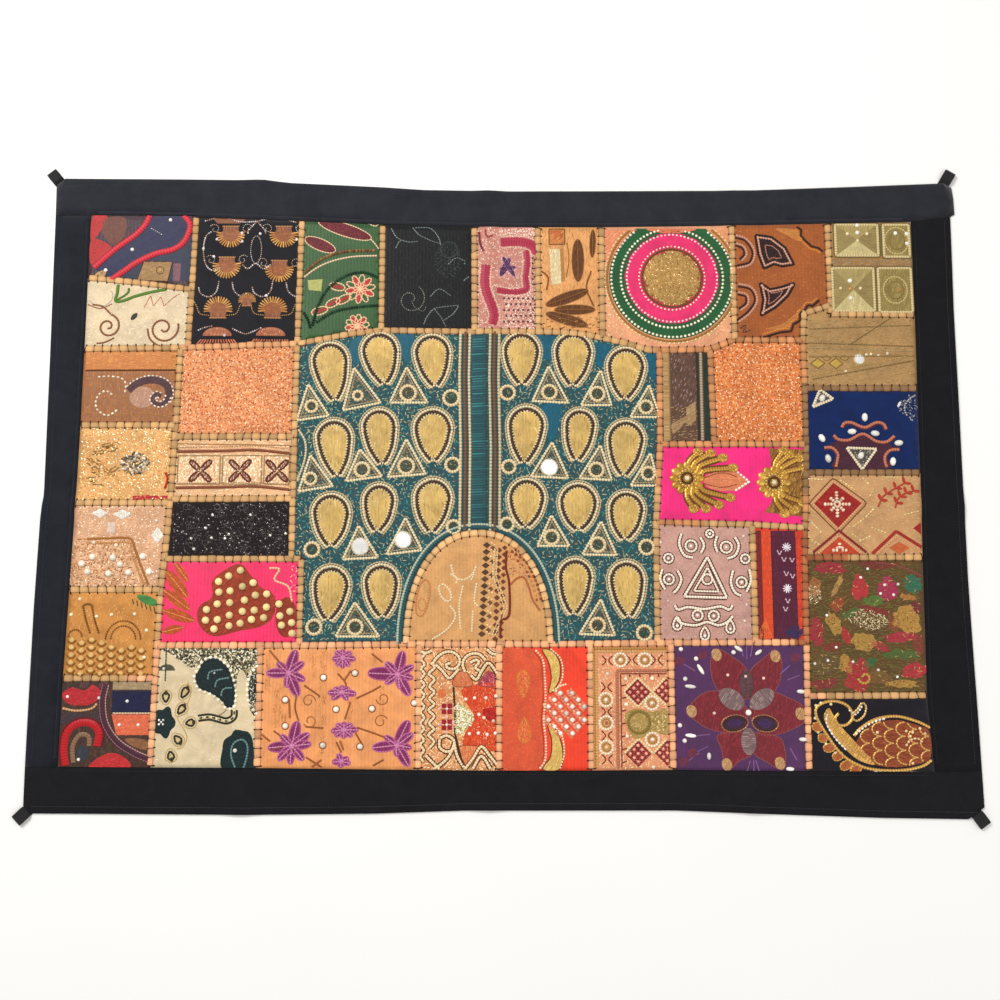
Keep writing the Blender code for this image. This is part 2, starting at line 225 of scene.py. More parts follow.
@dataclass(frozen=True)
class ThreadFinish:
    """Thread, cord, bead or foil, coloured by the dye given to each stitch.

    The dye is a colour kept in the mesh, one for each stitch or bead, so that a skein's own small
    differences show. Twist is the length of one turn of the thread, drawn as coarse as it shows.
    """

    title: str
    roughness: float
    metallic: float = 0.0
    coat: float = 0.0
    sheen: float = 0.0
    twist: float = 1.2
    depth: float = 0.3
    gloss: float = 0.5

    def material(self) -> Material:
        """The thread's material, made once for each title."""
        if self.title in bpy.data.materials:
            return bpy.data.materials[self.title]
        made = bpy.data.materials.new(self.title)
        made.use_nodes = True
        tree = made.node_tree
        spot = add_node(tree, "ShaderNodeTexCoord", {}).outputs["Object"]
        dye = add_node(tree, "ShaderNodeAttribute", {}, attribute_name="dye").outputs["Color"]
        fibre = add_node(
            tree, "ShaderNodeTexNoise",
            {"Vector": spot, "Scale": 1 / (self.twist * MM), "Detail": 2.0})
        shade = add_node(
            tree, "ShaderNodeMapRange", {"Value": fibre.outputs["Fac"], "To Min": 0.78, "To Max": 1.2})
        toned = add_node(
            tree, "ShaderNodeMix", {0: 1.0, 6: dye, 7: shade.outputs[0]},
            data_type="RGBA", blend_type="MULTIPLY")
        bump = add_node(
            tree, "ShaderNodeBump",
            {"Height": fibre.outputs["Fac"], "Strength": self.depth, "Distance": 0.3 * MM})
        rough = add_node(
            tree, "ShaderNodeMapRange",
            {"Value": fibre.outputs["Fac"], "To Min": max(self.roughness - 0.08, 0.02),
             "To Max": self.roughness + 0.08})
        set_inputs(tree, tree.nodes["Principled BSDF"], {
            "Metallic": self.metallic, "Specular IOR Level": self.gloss, "Coat Weight": self.coat,
            "Coat Roughness": 0.08, "Sheen Weight": self.sheen, "Base Color": toned.outputs[2],
            "Roughness": rough.outputs[0], "Normal": bump.outputs[0]})
        return made


class Thread(Enum):
    """What the needlework is sewn with."""

    # Untwisted silk, laid flat: a soft shine along the stitches
    FLOSS = ThreadFinish("floss_silk_untwisted", 0.5, sheen=0.08, twist=1.6, gloss=0.28)
    # Twisted cotton: matt, with a grain
    COTTON = ThreadFinish("cotton_cord_twisted", 0.78, sheen=0.1, twist=1.1, depth=0.5, gloss=0.3)
    # Flat metal strip wound on cotton: a broken glitter
    ZARI = ThreadFinish("metal_strip_wound", 0.34, metallic=0.75, twist=0.9, depth=0.6)
    # Small beads of drawn glass: a hard point of light
    BEAD = ThreadFinish("glass_bead_drawn", 0.14, coat=0.6, twist=3.0, depth=0.05)
    # Punched foil discs: bright and bent
    FOIL = ThreadFinish("foil_disc_punched", 0.2, metallic=0.9, twist=2.0, depth=0.25)
    # Blown glass, silvered behind: drawn white with little metal, a painted reflection of the pale room
    MIRROR = ThreadFinish("mirror_glass_silvered", 0.2, metallic=0.1, coat=1.0, twist=9.0, depth=0.05)


# The border's poplin: matt black. Painted light: the top and left strips get lighter colours and more sheen
# than the bottom and right, for how the light falls on them
BORDER_COTTONS_WITH_PAINTED_LIGHT = {
    side: ClothFinish(f"black_cotton_poplin_{side}", colour, second, roughness=0.9, sheen=sheen,
                      blotch=60.0, contrast=0.35, gloss=0.2)
    for side, colour, second, sheen in (
        ("top", "#1f212a", "#2e303a", 0.3), ("left", "#1a1e28", "#22262f", 0.12),
        ("bottom", "#141419", "#1c1b22", 0.04), ("right", "#121217", "#19191f", 0.02))}
BACKING_COTTON = ClothFinish("black_cotton_lining", "#17171b", "#1f1f25", roughness=0.92, contrast=0.3)
LOOP_TAPE = ClothFinish(
    "black_cotton_tape", "#121216", "#1d1d22", weave=Weave.RIBBED, roughness=0.88, contrast=0.6)


# Paths and shapes, all in drawing millimetres


def path(points: Points, closed: bool = False, step: float = 2.0) -> Path:
    """A smooth line through points.

    Args:
        points: where the line passes.
        closed: whether it comes back to its start.
        step: the distance between the returned points.

    Returns:
        The points of the line.
    """
    knots = np.array(points, float)
    if len(knots) == 2:
        knots = np.array((knots[0], knots.mean(0), knots[1]))
    ends = (knots[-1:], knots[:2]) if closed else (
        2 * knots[:1] - knots[1:2], 2 * knots[-1:] - knots[-2:-1])
    wide = np.concatenate((ends[0], knots, ends[1]))
    parts = []
    for a, b, c, d in zip(wide, wide[1:], wide[2:], wide[3:]):
        count = max(2, int(np.linalg.norm(c - b) / step) + 1)
        t = np.linspace(0, 1, count, endpoint=False)[:, None]
        parts.append(0.5 * (2 * b + (c - a) * t + (2 * a - 5 * b + 4 * c - d) * t**2
                            + (3 * b - a - 3 * c + d) * t**3))
    return np.concatenate(parts if closed else (*parts, knots[-1:]))


def heading(turn: float) -> np.ndarray:
    """The way one unit long at an angle in degrees."""
    return np.array((math.cos(math.radians(turn)), math.sin(math.radians(turn))))


def line(points: Points, closed: bool = False, step: float = 2.0) -> Path:
    """A straight-sided line through points, divided into steps."""
    knots = np.array(points, float)
    if closed:
        knots = np.concatenate((knots, knots[:1]))
    parts = []
    for a, b in zip(knots, knots[1:]):
        count = max(1, int(round(np.linalg.norm(b - a) / step)))
        parts.append(a + (b - a) * np.linspace(0, 1, count, endpoint=False)[:, None])
    return np.concatenate(parts if closed else (*parts, knots[-1:]))


def poly(*corners: Sequence[float]) -> Path:
    """A closed outline with straight sides."""
    return line(corners, closed=True)


def oval(x: float, y: float, rx: float, ry: Optional[float] = None, tilt: float = 0.0,
         start: float = 0.0, end: float = 360.0) -> Path:
    """An ellipse round a point, or its arc from start to end, in degrees."""
    ry = rx if ry is None else ry
    whole = end - start >= 360.0
    count = max(8, int(abs(end - start) / 360 * 6.3 * max(rx, ry) / 1.8))
    turn = np.radians(np.linspace(start, end, count, endpoint=not whole))
    across, up, lean = rx * np.cos(turn), ry * np.sin(turn), math.radians(tilt)
    return np.stack((x + across * math.cos(lean) - up * math.sin(lean),
                     y + across * math.sin(lean) + up * math.cos(lean)), 1)


def spiral(x: float, y: float, wide: float, turns: float = 1.6, start: float = 0.0,
           inner: float = 0.12) -> Path:
    """A curl that winds inwards from its outer end at start, in degrees."""
    count = max(12, int(abs(turns) * 3.5 * wide))
    share = np.linspace(0, 1, count)
    turn = math.radians(start) + 2 * math.pi * turns * share
    reach = wide * (1 - (1 - inner) * share)
    return np.stack((x + reach * np.cos(turn), y + reach * np.sin(turn)), 1)


def drop(tip: Sequence[float], far: Sequence[float], wide: float, sharp: float = 1.0) -> Path:
    """A teardrop from its pointed tip to its round end."""
    turn = np.linspace(0, 2 * math.pi, 44, endpoint=False)
    side = np.sin(turn) * np.abs(np.sin(turn / 2)) ** sharp
    return along(tip, far, (1 - np.cos(turn)) / 2, side / side.max() * wide / 2)


def leaf(tip: Sequence[float], far: Sequence[float], wide: float, sharp: float = 1.5) -> Path:
    """A leaf or petal, pointed at both ends."""
    turn = np.linspace(0, 2 * math.pi, 36, endpoint=False)
    side = np.sign(np.sin(turn)) * np.abs(np.sin(turn)) ** sharp
    return along(tip, far, (1 - np.cos(turn)) / 2, side * wide / 2)


def along(tip: Sequence[float], far: Sequence[float], share: Path, side: Path) -> Path:
    """Points placed by their share of the way from tip to far, and sideways from it."""
    start, way = np.array(tip, float), np.array(far, float) - np.array(tip, float)
    across = np.array((-way[1], way[0])) / max(np.linalg.norm(way), 1e-6)
    return start + share[:, None] * way + side[:, None] * across


def rays(turns: np.ndarray) -> Path:
    """The ways one unit long at angles in radians."""
    return np.stack((np.cos(turns), np.sin(turns)), 1)


def beside(way: Path) -> Path:
    """The ways one unit long to the right of others."""
    return np.stack((way[:, 1], -way[:, 0]), 1) / np.maximum(np.linalg.norm(way, axis=1), 1e-6)[:, None]


def spread(outline: Path, by: float) -> Path:
    """A closed outline moved outwards by a distance, or inwards where it is negative."""
    out = beside(np.roll(outline, -1, 0) - np.roll(outline, 1, 0))
    return outline + out * by * (1 if area_of(outline) > 0 else -1)


def spread_line(course: Path, by: float) -> Path:
    """An open line moved sideways by a distance."""
    return course + beside(np.gradient(course, axis=0)) * by


def area_of(ring: Path) -> float:
    """The area inside a ring, negative where it runs clockwise."""
    after = np.roll(ring, -1, 0)
    return float((ring[:, 0] * after[:, 1] - ring[:, 1] * after[:, 0]).sum() / 2)


def inside(points: Path, ring: Path) -> np.ndarray:
    """Which points lie inside a ring."""
    found = np.zeros(len(points), bool)
    x, y = points[:, 0], points[:, 1]
    for (ax, ay), (bx, by) in zip(ring, np.roll(ring, -1, 0)):
        if ay != by:
            found ^= ((ay > y) != (by > y)) & (x < (bx - ax) * (y - ay) / (by - ay) + ax)
    return found


def share_along(points: Path, start: Path, way: Path) -> Path:
    """The share of a side's length at which it comes nearest to each point."""
    return np.clip(((points - start) @ way) / max(way @ way, 1e-9), 0, 1)[:, None]


def edge_distance(points: Path, rings: Sequence[Path]) -> np.ndarray:
    """How far each point is from the nearest side of the rings."""
    least = np.full(len(points), 1e9)
    for ring in rings:
        for a, b in zip(ring, np.roll(ring, -1, 0)):
            past = share_along(points, a, b - a) * (b - a)
            least = np.minimum(least, np.linalg.norm(points - a - past, axis=1))
    return least


def nearest(points: Path, ring: Path) -> Path:
    """The nearest place on a ring to each point."""
    best, least = points.copy(), np.full(len(points), 1e9)
    for a, b in zip(ring, np.roll(ring, -1, 0)):
        spot = a + share_along(points, a, b - a) * (b - a)
        far = np.linalg.norm(points - spot, axis=1)
        closer = far < least
        best[closer], least[closer] = spot[closer], far[closer]
    return best


def evenly(line_points: Path, pitch: float, closed: bool = False) -> tuple[Path, np.ndarray]:
    """Points at an even pitch along a line, and the line's direction at each.

    Args:
        line_points: the line.
        pitch: the distance wanted between points, which is fitted to the line's length.
        closed: whether the line comes back to its start.

    Returns:
        The points, and the direction at each in radians.
    """
    knots = np.concatenate((line_points, line_points[:1])) if closed else line_points
    reach = np.concatenate(((0,), np.cumsum(np.linalg.norm(np.diff(knots, axis=0), axis=1))))
    count = max(1, int(round(reach[-1] / pitch)))
    at = (np.arange(count) + 0.5) * reach[-1] / count
    spots = np.stack([np.interp(at, reach, knots[:, axis]) for axis in (0, 1)], 1)
    ahead = np.stack([np.interp(at + 0.4, reach, knots[:, axis]) for axis in (0, 1)], 1)
    behind = np.stack([np.interp(at - 0.4, reach, knots[:, axis]) for axis in (0, 1)], 1)
    way = ahead - behind
    return spots, np.arctan2(way[:, 1], way[:, 0])


# The surface that all layers share


@dataclass(frozen=True)
class Crease:
    """A soft fold left by storing: the axis it crosses, its place, half width and height."""

    across: int
    place: float
    half: float
    high: float


CREASES = (
    Crease(0, -412.0, 36.0, 2.6), Crease(0, -22.0, 32.0, 3.0), Crease(0, 394.0, 36.0, 2.2),
    Crease(1, -36.0, 30.0, 2.6))


def lift(points: Path) -> np.ndarray:
    """How far the creases and the slight waves of loose cloth raise the layers."""
    raised = 0.3 * (1 + np.sin(points[:, 0] / 47 + 0.7) * np.sin(points[:, 1] / 39 + 1.1))
    for crease in CREASES:
        share = np.clip((points[:, crease.across] - crease.place) / crease.half, -1, 1)
        raised += crease.high * np.cos(share * math.pi / 2) ** 2
    return raised


def triangulate(points: Points, rings: list[list[int]], grain: float) -> tuple[Path, np.ndarray]:
    """Triangles between an outline and its holes.

    Args:
        points: corners of the rings, then any points inside.
        rings: the outline and the holes, as indices.
        grain: how near two points may lie before they are joined.

    Returns:
        The points, and the triangles as indices.
    """
    flat, _, threes, _, _, origins = delaunay_2d_cdt(
        [Vector(point) for point in points], [], rings, 1, grain)
    kept = [three for three, origin in zip(threes, origins) if list(origin) == [0]]
    return np.array([tuple(point) for point in flat]), np.array(kept)


def net(rings: Sequence[Path], spacing: float) -> tuple[Path, np.ndarray]:
    """Triangles that fill an outline, with points at about a spacing.

    Args:
        rings: the outer ring, then any holes.
        spacing: the distance between points inside.

    Returns:
        The points, and the triangles as indices, anticlockwise.
    """
    points, faces = [], []
    for ring in rings:
        dense = line(ring, closed=True, step=spacing)
        if area_of(dense) < 0:
            dense = dense[::-1]
        faces.append(list(range(len(points), len(points) + len(dense))))
        points += dense.tolist()
    low, high = rings[0].min(0), rings[0].max(0)
    xs = np.arange(low[0], high[0], spacing)
    ys = np.arange(low[1], high[1], spacing * 0.87)
    grid = np.array([(x + (row % 2) * spacing / 2, y) for row, y in enumerate(ys) for x in xs])
    keep = inside(grid, rings[0]) & (edge_distance(grid, rings) > spacing * 0.45)
    points += grid[keep].tolist()
    return triangulate(points, faces, 1e-4)


def mesh_object(name: str, points: np.ndarray, threes: np.ndarray, smooth: bool = True) -> Object:
    """A mesh object from points in model metres and triangles."""
    mesh = bpy.data.meshes.new(name)
    mesh.vertices.add(len(points))
    mesh.vertices.foreach_set("co", points.astype(np.float32).ravel())
    mesh.loops.add(threes.size)
    mesh.loops.foreach_set("vertex_index", threes.astype(np.int32).ravel())
    mesh.polygons.add(len(threes))
    mesh.polygons.foreach_set("loop_start", np.arange(0, threes.size, 3, dtype=np.int32))
    mesh.polygons.foreach_set("use_smooth", np.full(len(threes), smooth))
    mesh.update(calc_edges=True)
    made = bpy.data.objects.new(name, mesh)
    bpy.context.scene.collection.objects.link(made)
    return made


def place(flat: Path, height: np.ndarray) -> np.ndarray:
    """Drawing points and heights, both in millimetres, as model points in metres."""
    return np.column_stack((flat - ORIGIN, height)) * MM


def lone_edges(faces: Sequence[list]) -> list[tuple]:
    """The edges that only one face has, each as its start and end."""
    edges = {}
    for corners in faces:
        for a, b in zip(corners, corners[1:] + corners[:1]):
            if edges.pop((b, a), None) is None:
                edges[(a, b)] = True
    return list(edges)


def walls(threes: np.ndarray, shift: int) -> np.ndarray:
    """Triangles that join a net's edge to its copy, whose points are shift further on."""
    sides = []
    for a, b in lone_edges(threes.tolist()):
        sides += [(a, a + shift, b + shift), (a, b + shift, b)]
    return np.array(sides)


def top_rings(node: Object) -> list[Path]:
    """The outline of a packed cloth's upper face.

    Args:
        node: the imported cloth.

    Returns:
        Its rings in drawing millimetres, the largest first.
    """
    spots = [tuple(np.round(np.array(corner.co[:2]) / MM, 2)) for corner in node.data.vertices]
    upper = [[spots[i] for i in face.vertices] for face in node.data.polygons if face.normal.z > 0.5]
    after = dict(lone_edges(upper))
    rings = []
    while after:
        start, following = next(iter(after.items()))
        ring = [start]
        del after[start]
        while following != start:
            ring.append(following)
            following = after.pop(following)
        rings.append(np.array(ring) + ORIGIN)
    return sorted(rings, key=lambda ring: -abs(area_of(ring)))


class CutCloth:
    """One cloth of the quilt, cut to its frame node's outline and laid on the layer below."""

    def __init__(self, frame: dict, node: str, low: float, high: float, plump: float = 0.9) -> None:
        """Read the outline.

        Args:
            frame: the loaded frame.
            node: the frame node that this cloth replaces.
            low: the level of its underside, in millimetres.
            high: the level of its upper side at the seams.
            plump: how much the cloth rises between its seams.
        """
        self.node, self.low, self.high, self.plump = node, low, high, plump
        self.rings = top_rings(frame["nodes"][node])

    def top(self, points: Path) -> np.ndarray:
        """Heights of the upper side: it puckers at the seams and plumps up between them."""
        way_in = edge_distance(points, self.rings)
        pucker = 0.18 * np.sin(points[:, 0] / 5.1) * np.sin(points[:, 1] / 4.3 + 1.0)
        rise = 1 - np.exp(-way_in / 9.0)
        return self.high + lift(points) + (self.plump + pucker) * rise

    def make(self, name: str, finish: ClothFinish, spacing: float, rests_on: Sequence[str],
             slot: str, sewn: Sequence[Object] = ()) -> Object:
        """Args:
            name: the piece's name.
            finish: its cloth.
            spacing: the distance between its points.
            rests_on: what it lies on; not used.
            slot: a material slot name; not used.
            sewn: needlework that goes with it; not used.

        Returns:
            The piece.
        """
        flat, threes = net(self.rings, spacing)
        count = len(flat)
        low = place(flat, self.low + lift(flat))
        high = place(flat, self.top(flat))
        faces = np.concatenate((threes + count, threes[:, ::-1], walls(threes[:, ::-1], count)))
        made = mesh_object(name, np.concatenate((low, high)), faces)
        made.data.materials.append(finish.material())
        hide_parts(self.node)
        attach(made, "root")
        return made


# Needlework


def dome(sides: int, levels: Sequence[tuple[float, float]]) -> tuple[np.ndarray, np.ndarray]:
    """A unit dome: rings of given radius and height, and a point on top.

    Args:
        sides: the number of sides.
        levels: radius and height of each ring, from the cloth up.

    Returns:
        The points, and the triangles.
    """
    turn = np.arange(sides) * 2 * math.pi / sides
    points = [(r * math.cos(t), r * math.sin(t), h) for r, h in levels for t in turn] + [(0, 0, 1.0)]
    threes = []
    for ring in range(len(levels)):
        for side in range(sides):
            a, b = ring * sides + side, ring * sides + (side + 1) % sides
            if ring + 1 < len(levels):
                threes += [(a, b, b + sides), (a, b + sides, a + sides)]
            else:
                threes.append((a, b, len(points) - 1))
    return np.array(points, float), np.array(threes)


BEAD_FORM = dome(8, ((1.0, 0.0), (0.92, 0.5), (0.55, 0.88)))
LINK_FORM = dome(6, ((1.0, 0.0), (0.72, 0.7)))
DISC_FORM = dome(10, ((1.0, 0.0), (1.0, 0.9), (0.9, 1.15)))
STITCH_FORM = (
    np.array([(-1, 0, 0), (-0.8, -1, 0), (0.8, -1, 0), (1, 0, 0), (0.8, 1, 0), (-0.8, 1, 0),
              (-0.6, 0, 1), (0.6, 0, 1)], float),
    np.array([(0, 1, 6), (1, 2, 7), (1, 7, 6), (2, 3, 7), (3, 4, 7), (4, 5, 6), (4, 6, 7), (5, 0, 6)]))


def ribbon(rows: Sequence[np.ndarray], closed: bool = False) -> tuple[np.ndarray, np.ndarray]:
    """A strip between rows of points that run side by side.

    Args:
        rows: the rows, all with as many points.
        closed: whether the strip comes back to its start.

    Returns:
        The points, one section after another, and the triangles.
    """
    count, size = len(rows[0]), len(rows)
    here = np.arange(count if closed else count - 1)[:, None] * size
    following = (here + size) % (count * size)
    faces = []
    for side in range(size - 1):
        faces += [np.hstack((here + side, following + side, following + side + 1)),
                  np.hstack((here + side, following + side + 1, here + side + 1))]
    return np.stack(rows, 1).reshape(-1, 3), np.concatenate(faces)


class Needlework:
    """Stitches, cords, beads and mirrors sewn on one cloth, gathered into one mesh."""

    #: how far a stitch sinks into its cloth
    SINK = 0.25
    #: the distance between the points of flat padding and applied cloth
    PADDING = 9.0
    #: how far a filled stitch reaches past its cut at each end, so that no gap shows
    OVERLAP = 0.3
    #: how much darker the padding is drawn than the stitches over it: painted shade in the gaps between them
    SHADE = 0.72
    #: the width from which a cord is drawn with a flat top
    FLAT_FROM = 3.2

    def __init__(self, cloth: CutCloth, seed: int) -> None:
        """Start work on a cloth.

        Args:
            cloth: the cloth, which gives the height of its upper side.
            seed: starts the small differences between stitches.
        """
        self.cloth = cloth
        self.random = np.random.default_rng(seed)
        self.finishes: list = []
        self.points: list = []
        self.threes: list = []
        self.dyes: list = []
        self.slots: list = []
        self.count = 0

    def add(self, points: np.ndarray, threes: np.ndarray, dyes: np.ndarray, finish: object) -> None:
        """Keep a group of triangles: x, y and height above the cloth, one dye a point."""
        if finish not in self.finishes:
            self.finishes.append(finish)
        self.points.append(points)
        self.threes.append(threes + self.count)
        self.dyes.append(dyes)
        self.slots.append(np.full(len(threes), self.finishes.index(finish)))
        self.count += len(points)

    def forms(self, form: tuple, middles: Path, turns: np.ndarray, longs: np.ndarray,
              wides: np.ndarray, highs: np.ndarray, dyes: Sequence[str], thread: object,
              base: float = 0.0) -> None:
        """Put copies of a unit form on the cloth.

        Args:
            form: the unit form's points and triangles.
            middles: the middle of each copy.
            turns: the direction of each, in radians.
            longs: half lengths.
            wides: half widths.
            highs: heights.
            dyes: colours, of which each copy takes one.
            thread: the finish.
            base: how far above the cloth they start.
        """
        if not len(middles):
            return
        shape, threes = form
        count, size = len(middles), len(shape)
        turns, longs, wides, highs = (
            np.broadcast_to(np.asarray(v, float), (count,))[:, None] for v in (turns, longs, wides, highs))
        u, v, h = shape[:, 0] * longs, shape[:, 1] * wides, shape[:, 2] * highs
        x = middles[:, :1] + u * np.cos(turns) - v * np.sin(turns)
        y = middles[:, 1:] + u * np.sin(turns) + v * np.cos(turns)
        points = np.stack((x, y, h + base - self.SINK), 2).reshape(-1, 3)
        faces = (threes[None] + (np.arange(count) * size)[:, None, None]).reshape(-1, 3)
        palette = np.array([linear(dye) for dye in dyes])
        chosen = palette[self.random.integers(len(palette), size=count)]
        chosen = chosen * self.random.normal(1, 0.12, (count, 1)).clip(0.6, 1.4)
        self.add(points, faces, np.repeat(chosen, size, 0), thread)

    def stitches(self, starts: Path, ends: Path, dyes: Sequence[str], wide: float = 1.5,
                 high: float = 0.7, thread: object = Thread.FLOSS, base: float = 0.0) -> None:
        """Straight stitches from starts to ends."""
        way = ends - starts
        self.forms(STITCH_FORM, (starts + ends) / 2, np.arctan2(way[:, 1], way[:, 0]),
                   np.linalg.norm(way, axis=1) / 2, wide / 2, high, dyes, thread, base)

    def cord(self, course: Path, dye: str, wide: float = 2.6, closed: bool = False,
             pitch: float = 4.5, pinch: float = 0.35, thread: object = Thread.COTTON,
             high: float = 0.0, base: float = 0.0) -> None:
        """A cord or a row of chain stitch along a course.

        Args:
            course: the line it follows.
            dye: its colour.
            wide: its width.
            closed: whether it comes back to its start.
            pitch: the length of one stitch or link.
            pinch: how much each link narrows at its ends.
            thread: its finish.
            high: its height, or 0 for half its width.
            base: how far above the cloth it starts.
        """
        wide *= BOLD if wide < 5 else 1.0
        step = min(pitch / 3, 2.4) if pinch else 2.4
        middles, turns = evenly(course, step, closed)
        count = len(middles)
        if count < 2:
            return
        high = high or 0.5 * wide
        wave = np.abs(np.sin(np.arange(count) * step * math.pi / pitch))
        slim = 1 - pinch * (1 - wave)
        profile = ((-1, 0), (-0.55, 0.85), (0.55, 0.85), (1, 0)) if wide > self.FLAT_FROM else (
            (-1, 0), (0, 1), (1, 0))
        rows = []
        for side, up in profile:
            off = (side * wide / 2 * slim)[:, None] * np.stack((-np.sin(turns), np.cos(turns)), 1)
            rows.append(np.column_stack((middles + off, high * up * slim + base - self.SINK)))
        # Painted shade and highlight: each link is darker where it narrows and a little lighter on its swell
        tint = np.array(linear(dye)) * (0.6 + 0.5 * wave[:, None])
        self.add(*ribbon(rows, closed), np.repeat(tint, len(profile), 0), thread)

    def links(self, course: Path, dyes: Sequence[str], long: float = 4.0, wide: float = 2.4,
              closed: bool = False, thread: object = Thread.BEAD, high: float = 0.0,
              gap: float = 0.2, base: float = 0.0) -> None:
        """Separate links, sequins or long beads in a row along a course."""
        middles, turns = evenly(course, long + gap, closed)
        form = BEAD_FORM if wide > 5 else LINK_FORM
        self.forms(form, middles, turns, long / 2, wide / 2, high or wide * 0.6, dyes, thread, base)

    def satin(self, outline: Path, dyes: Sequence[str], angle: float = 90.0, pitch: float = 1.7,
              long: float = 8.0, holes: Sequence[Path] = (), high: float = 0.75,
              thread: object = Thread.FLOSS, base: float = 0.0) -> None:
        """Fill a shape with rows of flat stitches.

        Args:
            outline: the shape's edge.
            dyes: colours of the stitches.
            angle: the stitches' direction, in degrees.
            pitch: the distance between rows.
            long: the length of a stitch.
            holes: edges of holes left in it.
            high: the height of the stitches.
            thread: their finish.
            base: how far above the cloth they start.
        """
        turn = math.radians(angle)
        spin = np.array(((math.cos(turn), -math.sin(turn)), (math.sin(turn), math.cos(turn))))
        rings = [ring @ spin for ring in (outline, *holes)]
        starts, ends = [], []
        for level in np.arange(rings[0][:, 1].min() + pitch / 2, rings[0][:, 1].max(), pitch):
            crossings: list = []
            for ring in rings:
                a, b = ring, np.roll(ring, -1, 0)
                hit = (a[:, 1] > level) != (b[:, 1] > level)
                a, b = a[hit], b[hit]
                share = (level - a[:, 1]) / (b[:, 1] - a[:, 1])
                crossings += (a[:, 0] + share * (b[:, 0] - a[:, 0])).tolist()
            crossings.sort()
            for left, right in zip(crossings[::2], crossings[1::2]):
                count = max(1, int(round((right - left) / long)))
                cuts = np.linspace(left, right, count + 1)
                cuts[1:-1] += self.random.uniform(-0.3, 0.3, count - 1) * long
                starts += [(cut - self.OVERLAP, level) for cut in cuts[:-1]]
                ends += [(cut + self.OVERLAP, level) for cut in cuts[1:]]
        if starts:
            self.underlay([outline, *holes], dyes, high * 0.45 + base, thread)
            self.stitches(np.array(starts) @ spin.T, np.array(ends) @ spin.T, dyes, pitch * 1.12, high,
                          thread, base)

    def underlay(self, rings: Sequence[Path], dyes: Sequence[str], high: float, thread: object) -> None:
        """The flat padding of thread under filled stitches, so that no cloth shows between them."""
        flat, threes = net(rings, self.PADDING)
        # The padding is darkened as painted shade between the stitches
        dye = np.mean([linear(dye) for dye in dyes], axis=0) * self.SHADE
        if len(threes):
            self.add(np.column_stack((flat, np.full(len(flat), high - self.SINK + 0.1))), threes,
                     np.tile(dye, (len(flat), 1)), thread)

    def applique(self, outline: Path, finish: ClothFinish, high: float = 0.5,
                 holes: Sequence[Path] = ()) -> None:
        """A cut piece of cloth with its edge turned under, sewn flat."""
        flat, threes = net([outline, *holes], self.PADDING)
        rise = high * (1 - np.exp(-edge_distance(flat, [outline, *holes]) / 0.8))
        points = np.column_stack((flat, rise + 0.12))
        self.add(points, threes, np.tile(linear(finish.colour), (len(flat), 1)), finish)

    def seeds(self, outline: Path, dyes: Sequence[str], spacing: float = 4.0, long: float = 3.4,
              wide: float = 1.3, thread: object = Thread.FLOSS, holes: Sequence[Path] = (),
              lean: Optional[float] = None, high: float = 0.7) -> None:
        """Scatter short stitches over a shape.

        Args:
            outline: the shape's edge.
            dyes: colours of the stitches.
            spacing: the distance between them.
            long: their length.
            wide: their width.
            thread: their finish.
            holes: places left free.
            lean: their direction in degrees, or None for every direction.
            high: their height.
        """
        low, high_corner = outline.min(0), outline.max(0)
        across = np.arange(low[0] + spacing / 2, high_corner[0], spacing)
        up = np.arange(low[1] + spacing / 2, high_corner[1], spacing)
        spots = np.array([(x, y) for y in up for x in across]).reshape(-1, 2)
        spots = spots + self.random.uniform(-0.42, 0.42, spots.shape) * spacing
        keep = inside(spots, outline)
        for hole in holes:
            keep &= ~inside(spots, hole)
        spots = spots[keep]
        count = len(spots)
        turns = (self.random.uniform(0, math.pi, count) if lean is None
                 else math.radians(lean) + self.random.normal(0, 0.25, count))
        longs = long / 2 * self.random.uniform(0.7, 1.3, count)
        self.forms(STITCH_FORM, spots, turns, longs, wide / 2, high, dyes, thread)

    def beads(self, spots: Points, dye: str = "#f4f1ea", wide: float = 5.0,
              thread: object = Thread.BEAD) -> None:
        """Round beads, or domed discs, at given spots."""
        self.forms(BEAD_FORM, np.array(spots, float), 0.0, wide / 2, wide / 2, wide * 0.5, [dye], thread)

    def drops(self, spots: Points, long: float, wide: float, turn: float, dye: str = "#f4f1ea",
              thread: object = Thread.BEAD) -> None:
        """Long beads that lie one way."""
        self.forms(BEAD_FORM, np.array(spots, float), math.radians(turn), long / 2, wide / 2,
                   wide * 0.55, [dye], thread)

    def sequins(self, outline: Path, dyes: Sequence[str], spacing: float, wide: float = 3.4) -> None:
        """Scatter foil discs over a shape."""
        low, top = outline.min(0), outline.max(0)
        count = max(1, int(abs(area_of(outline)) / spacing**2))
        spots = self.random.uniform(low, top, (count * 2, 2))
        spots = spots[inside(spots, outline)][:count]
        self.forms(LINK_FORM, spots, self.random.uniform(0, 3, len(spots)), wide / 2, wide / 2, 0.9,
                   dyes, Thread.FOIL)

    def mirror(self, x: float, y: float, wide: float = 25.0, rim: str = "#e9dcb4") -> None:
        """A round mirror held by a rim of buttonhole stitch."""
        # The white dye on the glass is painted reflection of the pale room
        self.forms(DISC_FORM, np.array([(x, y)]), 0.0, wide / 2, wide / 2, 1.0, ["#ffffff"], Thread.MIRROR)
        spots, turns = evenly(oval(x, y, wide / 2 - 0.6), 1.7, True)
        out = rays(turns - math.pi / 2)
        self.stitches(spots - out * 1.6, spots + out * 2.4, [rim], 1.6, 1.9)

